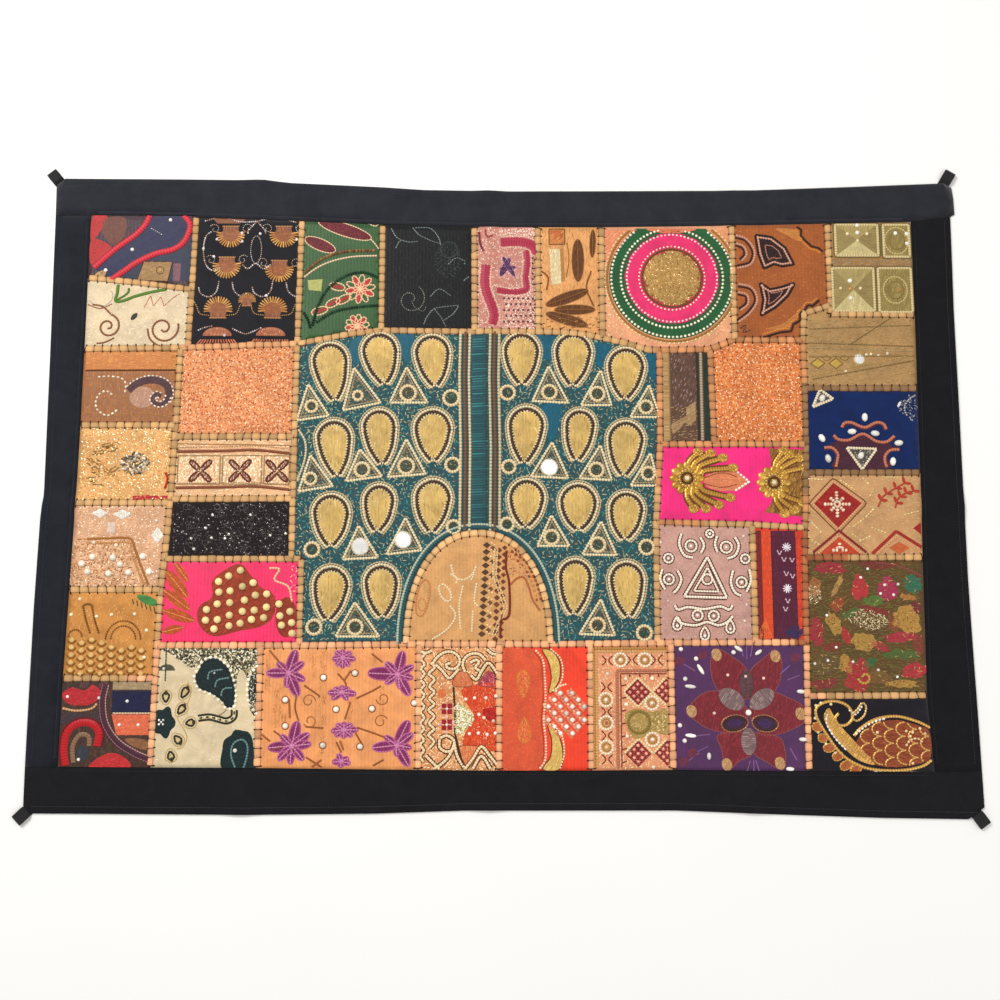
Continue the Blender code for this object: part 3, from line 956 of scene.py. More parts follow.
    def make(self, name: str) -> Object:
        """The needlework as one piece, laid on its cloth."""
        points, threes = np.concatenate(self.points), np.concatenate(self.threes)
        flat = points[:, :2]
        slots = np.concatenate(self.slots).astype(np.int32)
        if self.cloth.rings:
            edge = self.cloth.rings[0]
            within = inside(flat, edge)
            kept = within[threes].any(1)
            threes, slots = threes[kept], slots[kept]
            points[~within, :2] = flat[~within] = nearest(flat[~within], edge)
        made = mesh_object(name, place(flat, self.cloth.top(flat) + points[:, 2]), threes)
        for finish in self.finishes:
            made.data.materials.append(
                finish.value.material() if isinstance(finish, Thread) else finish.material())
        made.data.polygons.foreach_set("material_index", slots)
        tint = made.data.color_attributes.new("dye", "FLOAT_COLOR", "POINT")
        dyes = np.concatenate(self.dyes)
        tint.data.foreach_set(
            "color", np.column_stack((dyes, np.ones(len(dyes)))).astype(np.float32).ravel())
        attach(made, "root")
        LOG.info("%s: %d triangles", name, len(threes))
        return made


# The backing, the border and the loops

EDGE_TOP = ((-753, 524), (-600, 523), (-400, 521.5), (-354, 516.5), (-200, 509), (-132, 504.6),
            (20, 502), (200, 503), (400, 503.6), (500, 507.5), (600, 511), (762, 518))
EDGE_RIGHT = ((765, 490), (765.5, 462), (758, 458), (755.5, 300), (755, 0), (754.5, -150),
              (757, -300), (760, -459))
EDGE_BOTTOM = ((761, -533), (600, -530.5), (432, -525), (275, -519), (-57, -519), (-200, -523.6),
               (-400, -525.5), (-752, -523))
EDGE_LEFT = ((-752.7, -452), (-752.5, -200), (-750, -60), (-746, -20), (-748, 200), (-751.5, 458))
FIELD_EDGE = (
    (-692, 459), (-514, 456), (-336, 449), (-200, 443), (-46, 439), (168, 439), (387, 442),
    (549, 446), (691, 449), (690, 287), (688, 161), (686, 20), (683, -119), (679, -340), (685, -460),
    (486, -459), (271, -457), (-4, -458), (-132, -457), (-386, -454), (-555, -453), (-701, -452),
    (-700, -313), (-697, -172), (-694, -31), (-692, 98))


class Seam:
    """The level of the cloths along the seams, for what is sewn over them."""

    rings = ()

    def top(self, points: Path) -> np.ndarray:
        """Heights of the cloths at the seams."""
        return CLOTH_TOP + lift(points)


@dataclass
class Border:
    """Four black strips round the patchwork, hemmed outside and folded under inside.

    The outer hem is a second turn of the cloth, which shows as a low band along the edge.
    """

    hem: float = 12.5
    fold: float = 7.0
    spacing: float = 13.0
    stitch: float = 3.4

    def make(self, frame: dict) -> None:
        """Build the backing and the strips with their hems and stitches."""
        backing = CutCloth(frame, "backing_cloth", 0.0, BACKING_TOP, 0.0)
        backing.make("backing", BACKING_COTTON, 18.0, ["floor"], "black_cotton")
        for seed, side in enumerate(("top", "right", "bottom", "left")):
            strip = CutCloth(frame, f"border_{side}", CLOTH_LOW, CLOTH_TOP, 0.5)
            work = Needlework(strip, 100 + seed)
            self.sew(work, side)
            sewn = work.make(f"border_{side}_hems")
            strip.make(f"border_{side}_cloth", BORDER_COTTONS_WITH_PAINTED_LIGHT[side], self.spacing, ["backing"],
                       "black_cotton", [sewn])

    def sew(self, work: Needlework, side: str) -> None:
        """The strip's hem, its inner fold and the running stitches along both."""
        outer = {"top": EDGE_TOP, "right": (EDGE_TOP[-1], *EDGE_RIGHT), "bottom": EDGE_BOTTOM,
                 "left": (*EDGE_LEFT, EDGE_TOP[0])}[side]
        inner = {"top": FIELD_EDGE[:9], "right": FIELD_EDGE[8:15], "bottom": FIELD_EDGE[14:22],
                 "left": (*FIELD_EDGE[21:], FIELD_EDGE[0])}[side]
        edge, field = line(outer, step=4.0), line(inner, step=4.0)
        finish = BORDER_COTTONS_WITH_PAINTED_LIGHT[side]
        self.band(work, edge, self.hem, 0.9, 1.0, finish)
        self.band(work, field, -self.fold, 1.3, 0.6, finish)

    def band(self, work: Needlework, edge: Path, wide: float, high: float, back: float,
             finish: ClothFinish) -> None:
        """A folded band beside an edge, with its row of stitches.

        Args:
            work: the strip's needlework.
            edge: the edge, clockwise round the quilt.
            wide: the band's width inwards from the edge, or outwards where it is negative.
            high: how far the fold stands up.
            back: how far the band stays from the edge.
            finish: the strip's own cloth.
        """
        sign = math.copysign(1.0, wide)
        reach = abs(wide) - back
        course = edge + beside(np.gradient(edge, axis=0)) * sign * (back + reach / 2)
        course = course[3:-3]
        work.cord(course, finish.colour, reach, pinch=0.0, thread=finish, high=high)
        spots, turns = evenly(course, self.stitch + 1.4)
        step = rays(turns)
        side = np.stack((step[:, 1], -step[:, 0]), 1) * sign * (reach / 2 - 1.6)
        work.stitches(spots + side - step * self.stitch / 2, spots + side + step * self.stitch / 2,
                      ["#33343c"], 0.9, 0.8, Thread.COTTON, high * 0.6)


@dataclass
class TapeLoop:
    """A corner loop: ribbed tape folded back on itself, with its tab under the border."""

    name: str
    tip: tuple[float, float]
    angle: float
    wide: float = 18.5
    thick: float = 1.0
    long: float = 24.0
    tab: float = 10.0
    high: float = 6.8
    rise: float = 4.6
    columns: int = 12
    turns: int = 10

    def section(self) -> list[Path]:
        """The loop seen from the side: its outer line with the tab, and the opening in it."""
        outer_round = self.high / 2
        inner_round = outer_round - self.thick
        fold = self.long - outer_round
        bend = rays(np.linspace(-math.pi / 2, math.pi / 2, self.turns + 1))
        middle = np.array((fold, outer_round))
        mouth = np.array(((self.rise + 2.0, self.high), (self.rise - 0.4, self.high - 0.4),
                          (self.rise - 2.4, self.high - 2.6), (0.4, BACKING_TOP)))
        outer = np.concatenate((
            ((-self.tab, 0.0), (0.0, 0.0), (8.0, 0.0)), middle + bend * outer_round, ((12.0, self.high),),
            mouth, ((-self.tab, BACKING_TOP),)))
        inner = np.concatenate((
            ((self.rise / 3, self.thick), (8.0, self.thick)), middle + bend * inner_round,
            ((12.0, self.high - self.thick), (self.rise + self.thick / 2, self.high - self.thick))))
        return [outer, inner]

    def make(self) -> None:
        """Build the loop from its section, column by column across the tape."""
        rings = self.section()
        points = np.concatenate(rings)
        faces = [list(range(len(rings[0]))), list(range(len(rings[0]), len(points)))]
        flat, threes = triangulate(points, faces, 1e-5)
        count = len(flat)
        ahead = heading(self.angle)
        across = np.array((-ahead[1], ahead[0]))
        root = np.array(self.tip) - self.long * ahead
        rows, faces = [], []
        for column in range(self.columns + 1):
            share = 2 * column / self.columns - 1
            worn = 0.25 * abs(share) ** 6
            out = flat[:, 0] - worn * (flat[:, 0] > self.long / 2)
            side = np.full(count, share * (self.wide / 2))
            spots = root + out[:, None] * ahead + side[:, None] * across
            rows.append(place(spots, np.maximum(flat[:, 1], 0.0)))
            if column < self.columns:
                faces.append(walls(threes, count) + column * count)
        faces += [threes[:, ::-1], threes + self.columns * count]
        made = mesh_object(self.name, np.concatenate(rows), np.concatenate(faces), smooth=False)
        made.data.materials.append(LOOP_TAPE.material())
        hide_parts(self.name.replace("tape_", ""))
        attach(made, "root")
        LOG.info("%s: %d triangles", self.name, len(made.data.polygons))


LOOPS = (
    TapeLoop("tape_loop_top_left", (-762.0, 534.5), 130.0),
    TapeLoop("tape_loop_top_right", (762.5, 537.0), 59.0),
    TapeLoop("tape_loop_bottom_left", (-762.0, -535.0), 224.0),
    TapeLoop("tape_loop_bottom_right", (761.0, -543.0), -55.0),
)


# The braid over the seams

ARCH_MIDDLE, ARCH_HALF, ARCH_BASE, ARCH_RISE, ARCH_POWER = -37.5, 115.5, -259.0, 179.0, 2.2


def arch(grow: float = 0.0, start: float = 0.0, end: float = 180.0) -> Path:
    """The arch of the middle panel, right to left, grown outwards by a distance."""
    turn = np.radians(np.linspace(start, end, 90))
    power = 2 / ARCH_POWER
    across = np.sign(np.cos(turn)) * np.abs(np.cos(turn)) ** power
    return np.stack((ARCH_MIDDLE + (ARCH_HALF + grow) * across,
                     ARCH_BASE + (ARCH_RISE + grow) * np.sin(turn).clip(0, 1) ** power), 1)


RUNS = (
    # Down the seams, left to right
    ((-514, 455), (-517, 329), (-520, 229)),
    ((-532, 229), (-535, 98), (-539, -31), (-545, -122), (-549, -172), (-551, -261), (-555, -450)),
    ((-336, 449), (-339, 236), (-340, 79), (-340, -24), (-340, -122)),
    ((-324, -122), (-324, -261)),
    ((-386, -261), (-386, -451)),
    ((-200, 441), (-200, 259)),
    ((-46, 437), (-45, 257)),
    ((61, 437), (61, 257)),
    ((168, 437), (168, 246)),
    ((387, 440), (387, 243)),
    ((549, 444), (549, 288)),
    ((262, 225), (260, 67), (251, -62), (250, -257)),
    ((346, 227), (349, 67)),
    ((549, 303), (504, 289), (501, 243), (501, 161), (500, 67), (498, 20), (493, -71), (491, -120),
     (489, -256), (487, -341), (486, -456)),
    ((407, -66), (407, -257)),
    ((-132, -259), (-132, -454)),
    ((-4, -259), (-4, -455)),
    ((142, -258), (142, -455)),
    ((271, -257), (271, -454)),
    # Across the seams, top to bottom
    ((-690, 349), (-600, 340), (-517, 329)),
    ((-690, 227), (-532, 229), (-339, 236)),
    ((-690, 98), (-535, 98)),
    ((-536, 79), (-340, 79)),
    ((-692, -31), (-539, -31)),
    ((-538, -25), (-340, -24)),
    ((-695, -172), (-549, -172)),
    ((-545, -122), (-324, -122)),
    ((-698, -313), (-553, -313)),
    ((-551, -261), (-324, -261), (-132, -259), (78, -259), (250, -257), (489, -256)),
    ((-339, 236), (-250, 253), (-200, 259), (-45, 257), (61, 257), (100, 256), (146, 251), (168, 246),
     (200, 239), (243, 226), (262, 225), (346, 227), (387, 243), (501, 243)),
    ((549, 288), (688, 287)),
    ((501, 161), (686, 161)),
    ((498, 20), (684, 20)),
    ((491, -120), (681, -119)),
    ((487, -341), (677, -340)),
    ((260, 67), (500, 67)),
    ((251, -62), (407, -66), (493, -71)),
)


@dataclass
class CouchedBraid:
    """A soft cotton braid, held down over every seam by dark couching stitches.

    Each stitch draws the braid in, so that it swells into a rounded link before the next one.
    """

    wide: float = 10.8
    high: float = 2.1
    pitch: float = 14.2
    drawn_in: float = 0.17
    couching: str = "#3c1e0a"
    dye: str = "#cca06c"
    #: left, right, lower and upper limit of each run of another dye, and that dye
    dyes: tuple = ((-600, 520, -470, -250, "#f0ae80"), (255, 505, -64, 245, "#cc8c5c"),
                   (-530, -345, 90, 240, "#dca070"), (470, 560, -262, -72, "#b06a42"),
                   (496, 720, -64, 170, "#94704c"), (-160, 90, -250, -76, "#e6b67e"))

    def lay(self, work: Needlework, course: Path) -> None:
        """One length of braid along a seam, with its stitches."""
        steps = 8
        length = np.linalg.norm(np.diff(course, axis=0), axis=1).sum()
        count = max(1, int(round(length / self.pitch)))
        middles, turns = evenly(course, length / (count * steps))
        total = len(middles)
        phase = (np.arange(total) + 0.5) / steps
        swell = np.abs(np.sin(phase * math.pi)) ** 0.35
        uneven = np.repeat(work.random.normal(1, 0.05, count + 1), steps)[:total]
        slim = (1 - self.drawn_in * (1 - swell)) * uneven
        rise = (1 - 0.45 * (1 - swell)) * uneven
        profile = ((-1.0, 0.0), (-0.94, 0.55), (-0.65, 0.9), (0.0, 1.0), (0.65, 0.9), (0.94, 0.55),
                   (1.0, 0.0))
        # Painted shade and highlight across the braid: dark at both sides, lighter than its dye along the
        # crown
        tones = (0.22, 0.6, 1.02, 1.1, 1.02, 0.6, 0.22)
        across = np.stack((-np.sin(turns), np.cos(turns)), 1)
        x, y = middles[:, :1], middles[:, 1:]
        tint = np.tile(linear(self.dye), (total, 1))
        for left, right, low, high, dye in self.dyes:
            tint = np.where((x > left) & (x < right) & (y > low) & (y < high), linear(dye), tint)
        tint = tint * np.repeat(work.random.normal(1, 0.13, count + 1).clip(0.65, 1.25), steps)[:total, None]
        rows, tints = [], []
        for (side, up), tone in zip(profile, tones):
            off = (side * self.wide / 2 * slim)[:, None] * across
            rows.append(np.column_stack((middles + off, self.high * up * rise - work.SINK)))
            # painted shade in the pinches between links
            tints.append(tint * tone * (0.45 + 0.55 * swell)[:, None])
        work.add(*ribbon(rows), np.stack(tints, 1).reshape(-1, 3), Thread.COTTON)
        held = np.arange(0, total + 1, steps).clip(0, total - 1)
        lean = work.random.normal(0, 0.12, len(held))[:, None]
        reach = across[held] * self.wide * 0.8 + rays(turns[held]) * lean * self.wide
        work.stitches(middles[held] - reach, middles[held] + reach, [self.couching], 3.4,
                      self.high * 0.95, Thread.COTTON, 0.15)

    def make(self) -> None:
        """Lay all lengths of braid as one piece."""
        work = Needlework(Seam(), 7)
        for run in RUNS:
            self.lay(work, line(run, step=3.0))
        self.lay(work, arch())
        made = work.make("couched_braid")
        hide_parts("seam_braid")


# The patches


class Dye(str, Enum):
    """Thread and bead colours that several patches share."""

    GOLD = "#d9b260"
    TAN = "#cfa066"
    SILVER = "#b9b6b0"
    WHITE = "#fbf8f0"
    BLACK = "#1c171a"


def cotton(name: str, colour: str, second: str, **more: float) -> ClothFinish:
    """A plain-woven cotton: matt, with an even grain."""
    return ClothFinish(f"cotton_{name}", colour, second, **more)


def silk(name: str, colour: str, second: str, **more: float) -> ClothFinish:
    """A satin-woven silk: smooth, with a soft shine along the weft."""
    made = {"weave": Weave.SATIN, "roughness": 0.5, "sheen": 0.3, "contrast": 0.25, **more}
    return ClothFinish(f"silk_satin_{name}", colour, second, **made)


def tissue(name: str, colour: str, second: str, **more: float) -> ClothFinish:
    """A tissue woven with metal strip in the weft: a grainy glitter."""
    made = {"weave": Weave.TISSUE, "roughness": 0.42, "metallic": 0.3, "sheen": 0.1, "contrast": 0.6,
            "depth": 0.6, **more}
    return ClothFinish(f"metal_tissue_{name}", colour, second, **made)


@dataclass
class SewnPatch:
    """A cut cloth of the patchwork, with the needlework on it."""

    name: str
    cloth: ClothFinish
    spacing: float = 9.0

    def embroider(self, work: Needlework) -> None:
        """Sew the patch's own needlework."""

    def make(self, frame: dict, seed: int) -> None:
        """Cut the cloth, sew on it and lay it in its place."""
        node = self.name if self.name.startswith("panel") else f"patch_{self.name}"
        cut = CutCloth(frame, node, CLOTH_LOW, CLOTH_TOP)
        work = Needlework(cut, seed)
        self.embroider(work)
        sewn = [work.make(f"{self.name}_needlework")] if work.points else []
        slot = f"cloth_{self.name.replace('panel_', '')}"
        cut.make(f"{self.name}_cloth", self.cloth, self.spacing, ["backing"], slot, sewn)


def box(left: float, right: float, low: float, high: float) -> Path:
    """A rectangle's edge, anticlockwise."""
    return line(((left, low), (right, low), (right, high), (left, high)), closed=True, step=4.0)


def diamond(x: float, y: float, half: float, tall: float) -> Path:
    """A diamond's edge round its middle."""
    return poly((x, y - tall), (x + half, y), (x, y + tall), (x - half, y))


class CornerArcs(SewnPatch):
    """A navy sweep between two red cords, with lobes on one side and blocks on the other."""

    def embroider(self, work: Needlework) -> None:
        """Sew the sweep, the lobes and the blocks."""
        left = path([(-592, 459), (-600, 441), (-614, 425), (-632, 411), (-650, 397), (-683, 366)])
        right = path([(-536, 459), (-525, 445), (-525, 431), (-535, 410), (-553, 398), (-580, 391),
                      (-611, 376), (-630, 362), (-655, 344)])
        sweep = np.concatenate((left, right[::-1]))
        work.satin(np.concatenate((right, ((-519, 344), (-519, 456), (-536, 459)))),
                   ["#1c2a48", "#2a2240", "#183048"], 60, 2.2, 9, high=0.5)
        work.satin(np.concatenate((left, ((-689, 366), (-689, 456), (-592, 457)))),
                   ["#3c2230", "#442834", "#302238"], 20, 2.2, 9, high=0.5)
        work.satin(sweep, ["#10104a", "#181850", "#0e1a46"], 45, 2.0, 9, high=0.6)
        work.satin(path([(-688, 457), (-664, 457), (-672, 434), (-689, 412)], True),
                   ["#cc1c1c", "#b8161c"], 70, 1.8)
        work.satin(path([(-689, 414), (-668, 412), (-654, 398), (-676, 374), (-689, 376)], True),
                   ["#cc1c1c", "#b8161c"], 30, 1.8)
        work.satin(path([(-668, 452), (-636, 455), (-630, 434), (-640, 412), (-656, 408), (-672, 430)], True),
                   ["#7a4232", "#6a3a2c"], 80, 1.8)
        block = poly((-599, 377), (-551, 377), (-558, 343), (-609, 345))
        work.satin(block, ["#b08a56", "#a07a4a"], 8, 1.8, high=1.1)
        work.cord(block, "#4a2c22", 2.4, True)
        work.satin(box(-549, -537, 343, 374), ["#8a5a66", "#7a4e5c"], 90, 1.8, high=0.9)
        work.cord(oval(-571, 362, 6.5), "#3a2418", 2.4, True)
        work.beads([(-571, 362)], Dye.GOLD, 5)
        for course in (left, right):
            # The wide dark red cord under each red one is painted shade along its edges
            work.cord(course, "#5c1020", 14.0, pinch=0.0, thread=Thread.FLOSS, high=1.0)
            work.cord(course, "#d42a3c", 10.5, pinch=0.06, pitch=5.0, thread=Thread.FLOSS, high=2.4)
        work.satin(drop((-688, 342), (-662, 360), 12), [Dye.TAN], 40, 1.8)
        work.beads([(-557, 450), (-619, 398), (-662, 362)], Dye.WHITE, 6.5)
        work.links(path([(-590, 436), (-570, 424)]), [Dye.SILVER], 3.4, 2)


class CreamScroll(SewnPatch):
    """Brown curls on cream with an olive cord along the top."""

    def embroider(self, work: Needlework) -> None:
        """Sew the cords and the curls."""
        outline = box(-688, -524, 233, 330)
        work.seeds(outline, ["#f5e6c4", "#e6d0a4", "#f8efd8"], 5.5, 4.5, 1.4, lean=20, high=0.4)
        work.cord(path([(-640, 338), (-641, 322), (-643, 309), (-631, 309), (-610, 317), (-585, 324),
                        (-560, 329)]), "#4f7a1c", 6.2, pinch=0.12, thread=Thread.FLOSS, high=1.6)
        work.cord(path([(-643, 309), (-624, 322), (-622, 332)]), "#4f7a1c", 4.0, thread=Thread.FLOSS)
        work.cord(oval(-668, 317, 20, 17, 0, 200, 400), "#b7b2a6", 2.2)
        work.cord(path([(-690, 303), (-668, 296), (-648, 304)]), "#9c6a52", 2.6)
        for x, y, wide, start, turns in ((-654, 265, 21, 80, -1.5), (-562, 262, 26, 20, -1.45)):
            work.cord(spiral(x, y, wide, turns, start), "#8a5638", 3.6, thread=Thread.FLOSS)
        work.cord(path([(-650, 286), (-664, 299), (-682, 303)]), "#8a5638", 3.2)
        work.cord(path([(-588, 262), (-584, 245), (-572, 234), (-560, 231)]), "#8a5638", 3.4)
        work.cord(path([(-642, 246), (-658, 238), (-672, 236)]), "#8a5638", 3.0)
        work.cord(line([(-596, 296), (-585, 318), (-580, 300), (-568, 316), (-562, 300), (-548, 314),
                        (-536, 322)]), "#b4624a", 1.8)
        work.satin(leaf((-616, 276), (-606, 288), 8), ["#2c231c"], 50, 1.5)


class BrownScroll(SewnPatch):
    """An orange band over a beaded curl and a dark scroll with beaded edges."""

    def embroider(self, work: Needlework) -> None:
        """Sew the band, the scroll and the curl."""
        work.satin(box(-688, -536, 190, 222), ["#d9853f", "#cf7836", "#e0974e"], 2, 2.0, 9, high=0.5)
        work.satin(box(-688, -540, 103, 190), ["#a86c40", "#99603a", "#b67a4a"], 88, 2.6, 10, high=0.4)
        work.cord(line([(-688, 190), (-538, 191)]), "#5a3418", 3.0)
        band = path([(-615, 156), (-601, 168), (-582, 174), (-564, 172), (-552, 164), (-548, 150),
                     (-553, 137)])
        curl = path([(-548, 148), (-554, 136), (-566, 133), (-575, 141), (-569, 150), (-561, 147)])
        work.satin(oval(-592, 145, 21, 18), ["#c99a80", "#b98a72"], 60, 2.0)
        for course, half in ((band, 6.0), (curl, 3.4)):
            shape = np.concatenate((spread_line(course, half), spread_line(course, -half)[::-1]))
            work.satin(shape, ["#4a2a30", "#5a363c"], 30, 1.8, high=1.2)
        for course in (spread_line(band, -7.0), spread_line(curl, 4.8), spread_line(curl, -4.4)):
            work.links(course, ["#f4ece0", "#dcd4c8"], 5.0, 3.4, gap=1.6)
        work.links(path([(-668, 179), (-647, 180), (-628, 177), (-620, 167), (-621, 151)]),
                   ["#f8ecd4", "#e8d8bc"], 6.0, 3.8, gap=2.0)
        work.links(path([(-640, 148), (-652, 155), (-664, 148), (-668, 134), (-663, 122), (-647, 114),
                         (-631, 124)]), ["#f8ecd4", "#e8d8bc"], 5.6, 4.2, gap=1.4)
        work.links(path([(-684, 120), (-640, 116), (-590, 118), (-545, 112)]), ["#b9854a"], 4, 2.2,
                   thread=Thread.COTTON)


class GoldShimmer(SewnPatch):
    """Gold tissue strewn with sequins round a grey knot."""

    def embroider(self, work: Needlework) -> None:
        """Scatter the sequins and knots."""
        whole = box(-688, -543, -26, 93)
        work.seeds(whole, ["#f0c58c", "#cf9a56", "#f8dcaa", "#b97f3e", "#e2ae6c"], 4.4, 4.2, 1.9, Thread.ZARI,
                   high=0.9)
        work.sequins(whole, ["#fff0cc", "#ffe6b8", "#f4cc88"], 13.0, 4.6)
        for x, y, wide, tall, tilt in ((-648, 56, 24, 7, 15), (-660, 30, 22, 9, -30), (-668, 12, 14, 7, 10),
                                       (-660, 2, 10, 5, -20), (-632, 22, 12, 6, 40), (-640, 64, 16, 5, 5)):
            work.seeds(oval(x, y, wide, tall, tilt), ["#7a5c22", "#94702c", "#6a4a1c"], 5.2, 7.0, 2.2,
                       lean=tilt, high=1.4)
        work.seeds(oval(-599, 34, 23, 18), ["#6f6a5e", "#4f4a40", "#e6dccc", "#b5aa98"], 3.6, 8.0, 2.6,
                   Thread.ZARI, high=2.2)
        work.satin(box(-600, -543, -31, -19), ["#c8181c", "#b41418"], 2, 2.0, high=1.1)
        work.cord(path([(-549, 20), (-545, 8), (-549, -8)]), "#b8301c", 5.0)
        work.links(line([(-580, 84), (-568, 40), (-572, -10)]), ["#f4dca8"], 5, 3)


class BlushDiamond(SewnPatch):
    """Pink tissue with white diamonds and mirror dots inside a tan cord."""

    dots = ((-661, -119), (-678, -130), (-668, -143), (-634, -146), (-628, -120), (-616, -131), (-602, -144),
            (-580, -118), (-569, -143))

    def embroider(self, work: Needlework) -> None:
        """Sew the diamonds, the cord and the dots."""
        whole = box(-690, -554, -167, -37)
        work.seeds(whole, ["#e8c0a6", "#c99478", "#f2d4be", "#b98266"], 4.8, 4.2, 1.7, Thread.ZARI, high=0.7)
        work.sequins(whole, ["#fbe8d8", "#f2dccb"], 15, 3.2)
        field = path([(-690, -94), (-640, -92), (-604, -92), (-594, -106), (-584, -128), (-574, -152),
                      (-568, -166), (-690, -166)], True)
        work.seeds(field, ["#d8a26c", "#b07a44", "#ecc498", "#94622f"], 4.2, 4.4, 2.2, high=1.0)
        for fall, tone, wide in ((0, "#a86c34", 4.6), (7, "#c8905a", 5.0)):
            work.cord(path([(-672, -90 - fall), (-640, -89 - fall), (-603, -89 - fall), (-593 - fall, -107),
                            (-583 - fall, -132), (-569 - fall, -165)]), tone, wide, high=1.6)
        for x, y, half, tall in ((-652, -48, 13, 8), (-616, -50, 15, 8.5), (-558, -84, 10, 14)):
            work.satin(diamond(x, y, half, tall), [Dye.WHITE, "#fdf6e8"], 90, 1.7, high=1.2,
                       thread=Thread.BEAD)
        work.satin(box(-640, -627, -80, -62), ["#f0dcd0", "#e6cdbe"], 90, 1.8)
        work.beads(self.dots, "#fff8e8", 11.0)
        work.beads([(-624, -100), (-660, -96), (-560, -60)], "#f8e8d4", 6.0)


class OchreDome(SewnPatch):
    """Rows of stitched humps under a stem, on ochre."""

    def embroider(self, work: Needlework) -> None:
        """Sew the stem, the leaf and the humps."""
        whole = box(-693, -558, -308, -178)
        work.seeds(whole, ["#d8a052", "#c48838", "#e8b66c"], 6.0, 4.4, 1.4, lean=80, high=0.5)
        work.satin(leaf((-586, -182), (-552, -196), 13, 1.0), ["#4f9a48", "#3f8040"], -22, 1.8, high=1.2)
        for number in range(6):
            spot = np.array((-594 + number * 7.0, -186 - number * 2.6))
            work.stitches(spot[None], (spot + (3.0, -11.0))[None], ["#2f4a2a"], 2.2, 1.3)
        for shift in (-7, 7):
            work.links(path([(-665 + shift, -200), (-660 + shift, -220), (-652 + shift, -242)]),
                       ["#8a5a20", "#7a4c1a"], 3.6, 4.2, thread=Thread.COTTON)
        work.cord(oval(-665, -201, 8, 6, 0, 0, 180), "#8a5a20", 4.0)
        for x, y, wide, tall in ((-683, -248, 11, 12), (-606, -252, 28, 30), (-606, -252, 20, 22)):
            work.links(oval(x, y, wide, tall, 0, 0, 180), ["#8a5a20", "#7a4c1a"], 3.6, 3.6,
                       thread=Thread.COTTON)
        for column, x in enumerate(range(-688, -572, 16)):
            for y in range(-250, -304, -12):
                if x < -630 or y < -252:
                    work.cord(oval(x, y - column % 2 * 5, 7.0, 7.5, 0, 190, 350), "#94601f", 3.4)
                    work.satin(oval(x, y - 2 - column % 2 * 5, 4.4, 3.4), ["#e8ba70", "#f0c884"], 0, 1.9,
                               high=1.0)
        work.beads([(-678, -187), (-691, -212), (-626, -212), (-589, -211), (-569, -237), (-571, -280),
                    (-650, -215)], "#fff2cc", 6.0)


class CornerBands(SewnPatch):
    """Red lips and a red ring, a mauve arc and bands of navy and salmon."""

    def embroider(self, work: Needlework) -> None:
        """Sew the curls, the arc and the bands."""
        work.satin(box(-702, -558, -454, -318), ["#4a3024", "#5a402c", "#36242a"], 70, 2.6, 10, high=0.4)
        work.satin(path([(-699, -338), (-684, -328), (-664, -332), (-650, -324), (-636, -336), (-648, -352),
                         (-668, -356), (-690, -352)], True), ["#b8222c", "#cc3038"], 0, 1.8, high=1.2)
        work.cord(path([(-698, -360), (-676, -364), (-652, -361), (-642, -352)]), "#d8a878", 3.6)
        work.satin(path([(-699, -370), (-684, -366), (-660, -370), (-640, -366), (-638, -384), (-699, -384)],
                        True), ["#3a3038", "#4a3a40"], 20, 2.0)
        curl = path([(-640, -420), (-638, -398), (-650, -384), (-672, -384), (-688, -398), (-692, -424),
                     (-688, -450)])
        work.cord(curl, "#be141e", 13.0, pinch=0.06, thread=Thread.FLOSS, high=2.2)
        work.cord(spread_line(curl, 7.5), "#6a141e", 3.0)
        work.cord(path([(-676, -446), (-678, -420), (-668, -402), (-654, -404), (-652, -420)]), "#8a6a50",
                  8.0, pinch=0.06, thread=Thread.FLOSS, high=1.6)
        work.satin(oval(-662, -430, 9, 12), ["#2f4048", "#3a3a48"], 30, 1.8)
        arc = path([(-630, -322), (-634, -350), (-628, -384), (-608, -412), (-580, -430), (-556, -440)])
        work.cord(arc, "#4a2434", 15, pinch=0.05, thread=Thread.FLOSS, high=1.6)
        for shift, tone in ((-4.5, "#c89a90"), (4.5, "#a06a74")):
            work.cord(spread_line(arc, shift), tone, 2.6, high=2.4)
        work.satin(box(-619, -556, -331, -319), ["#b8a07c", "#a88e6a"], 0, 1.8)
        work.satin(box(-619, -556, -366, -333), ["#10123e", "#181c48"], 5, 2.0)
        work.satin(poly((-619, -370), (-556, -370), (-556, -402), (-610, -402)),
                   ["#f07a54", "#e66a48"], 10, 2.0)
        work.cord(line([(-618, -368), (-556, -368)]), "#e8c8a8", 2.6)
        work.satin(path([(-596, -408), (-570, -408), (-556, -416), (-556, -426), (-582, -420)], True),
                   ["#8a5a3a", "#9c6c48"], 0, 1.8)
        work.satin(path([(-644, -442), (-620, -430), (-600, -434), (-586, -446), (-592, -454), (-648, -454)],
                        True), ["#c4282e", "#d63a3a"], 0, 1.8)
        work.beads([(-690, -342), (-640, -344), (-595, -349), (-606, -386), (-668, -440), (-576, -386)],
                   Dye.WHITE, 5.5)


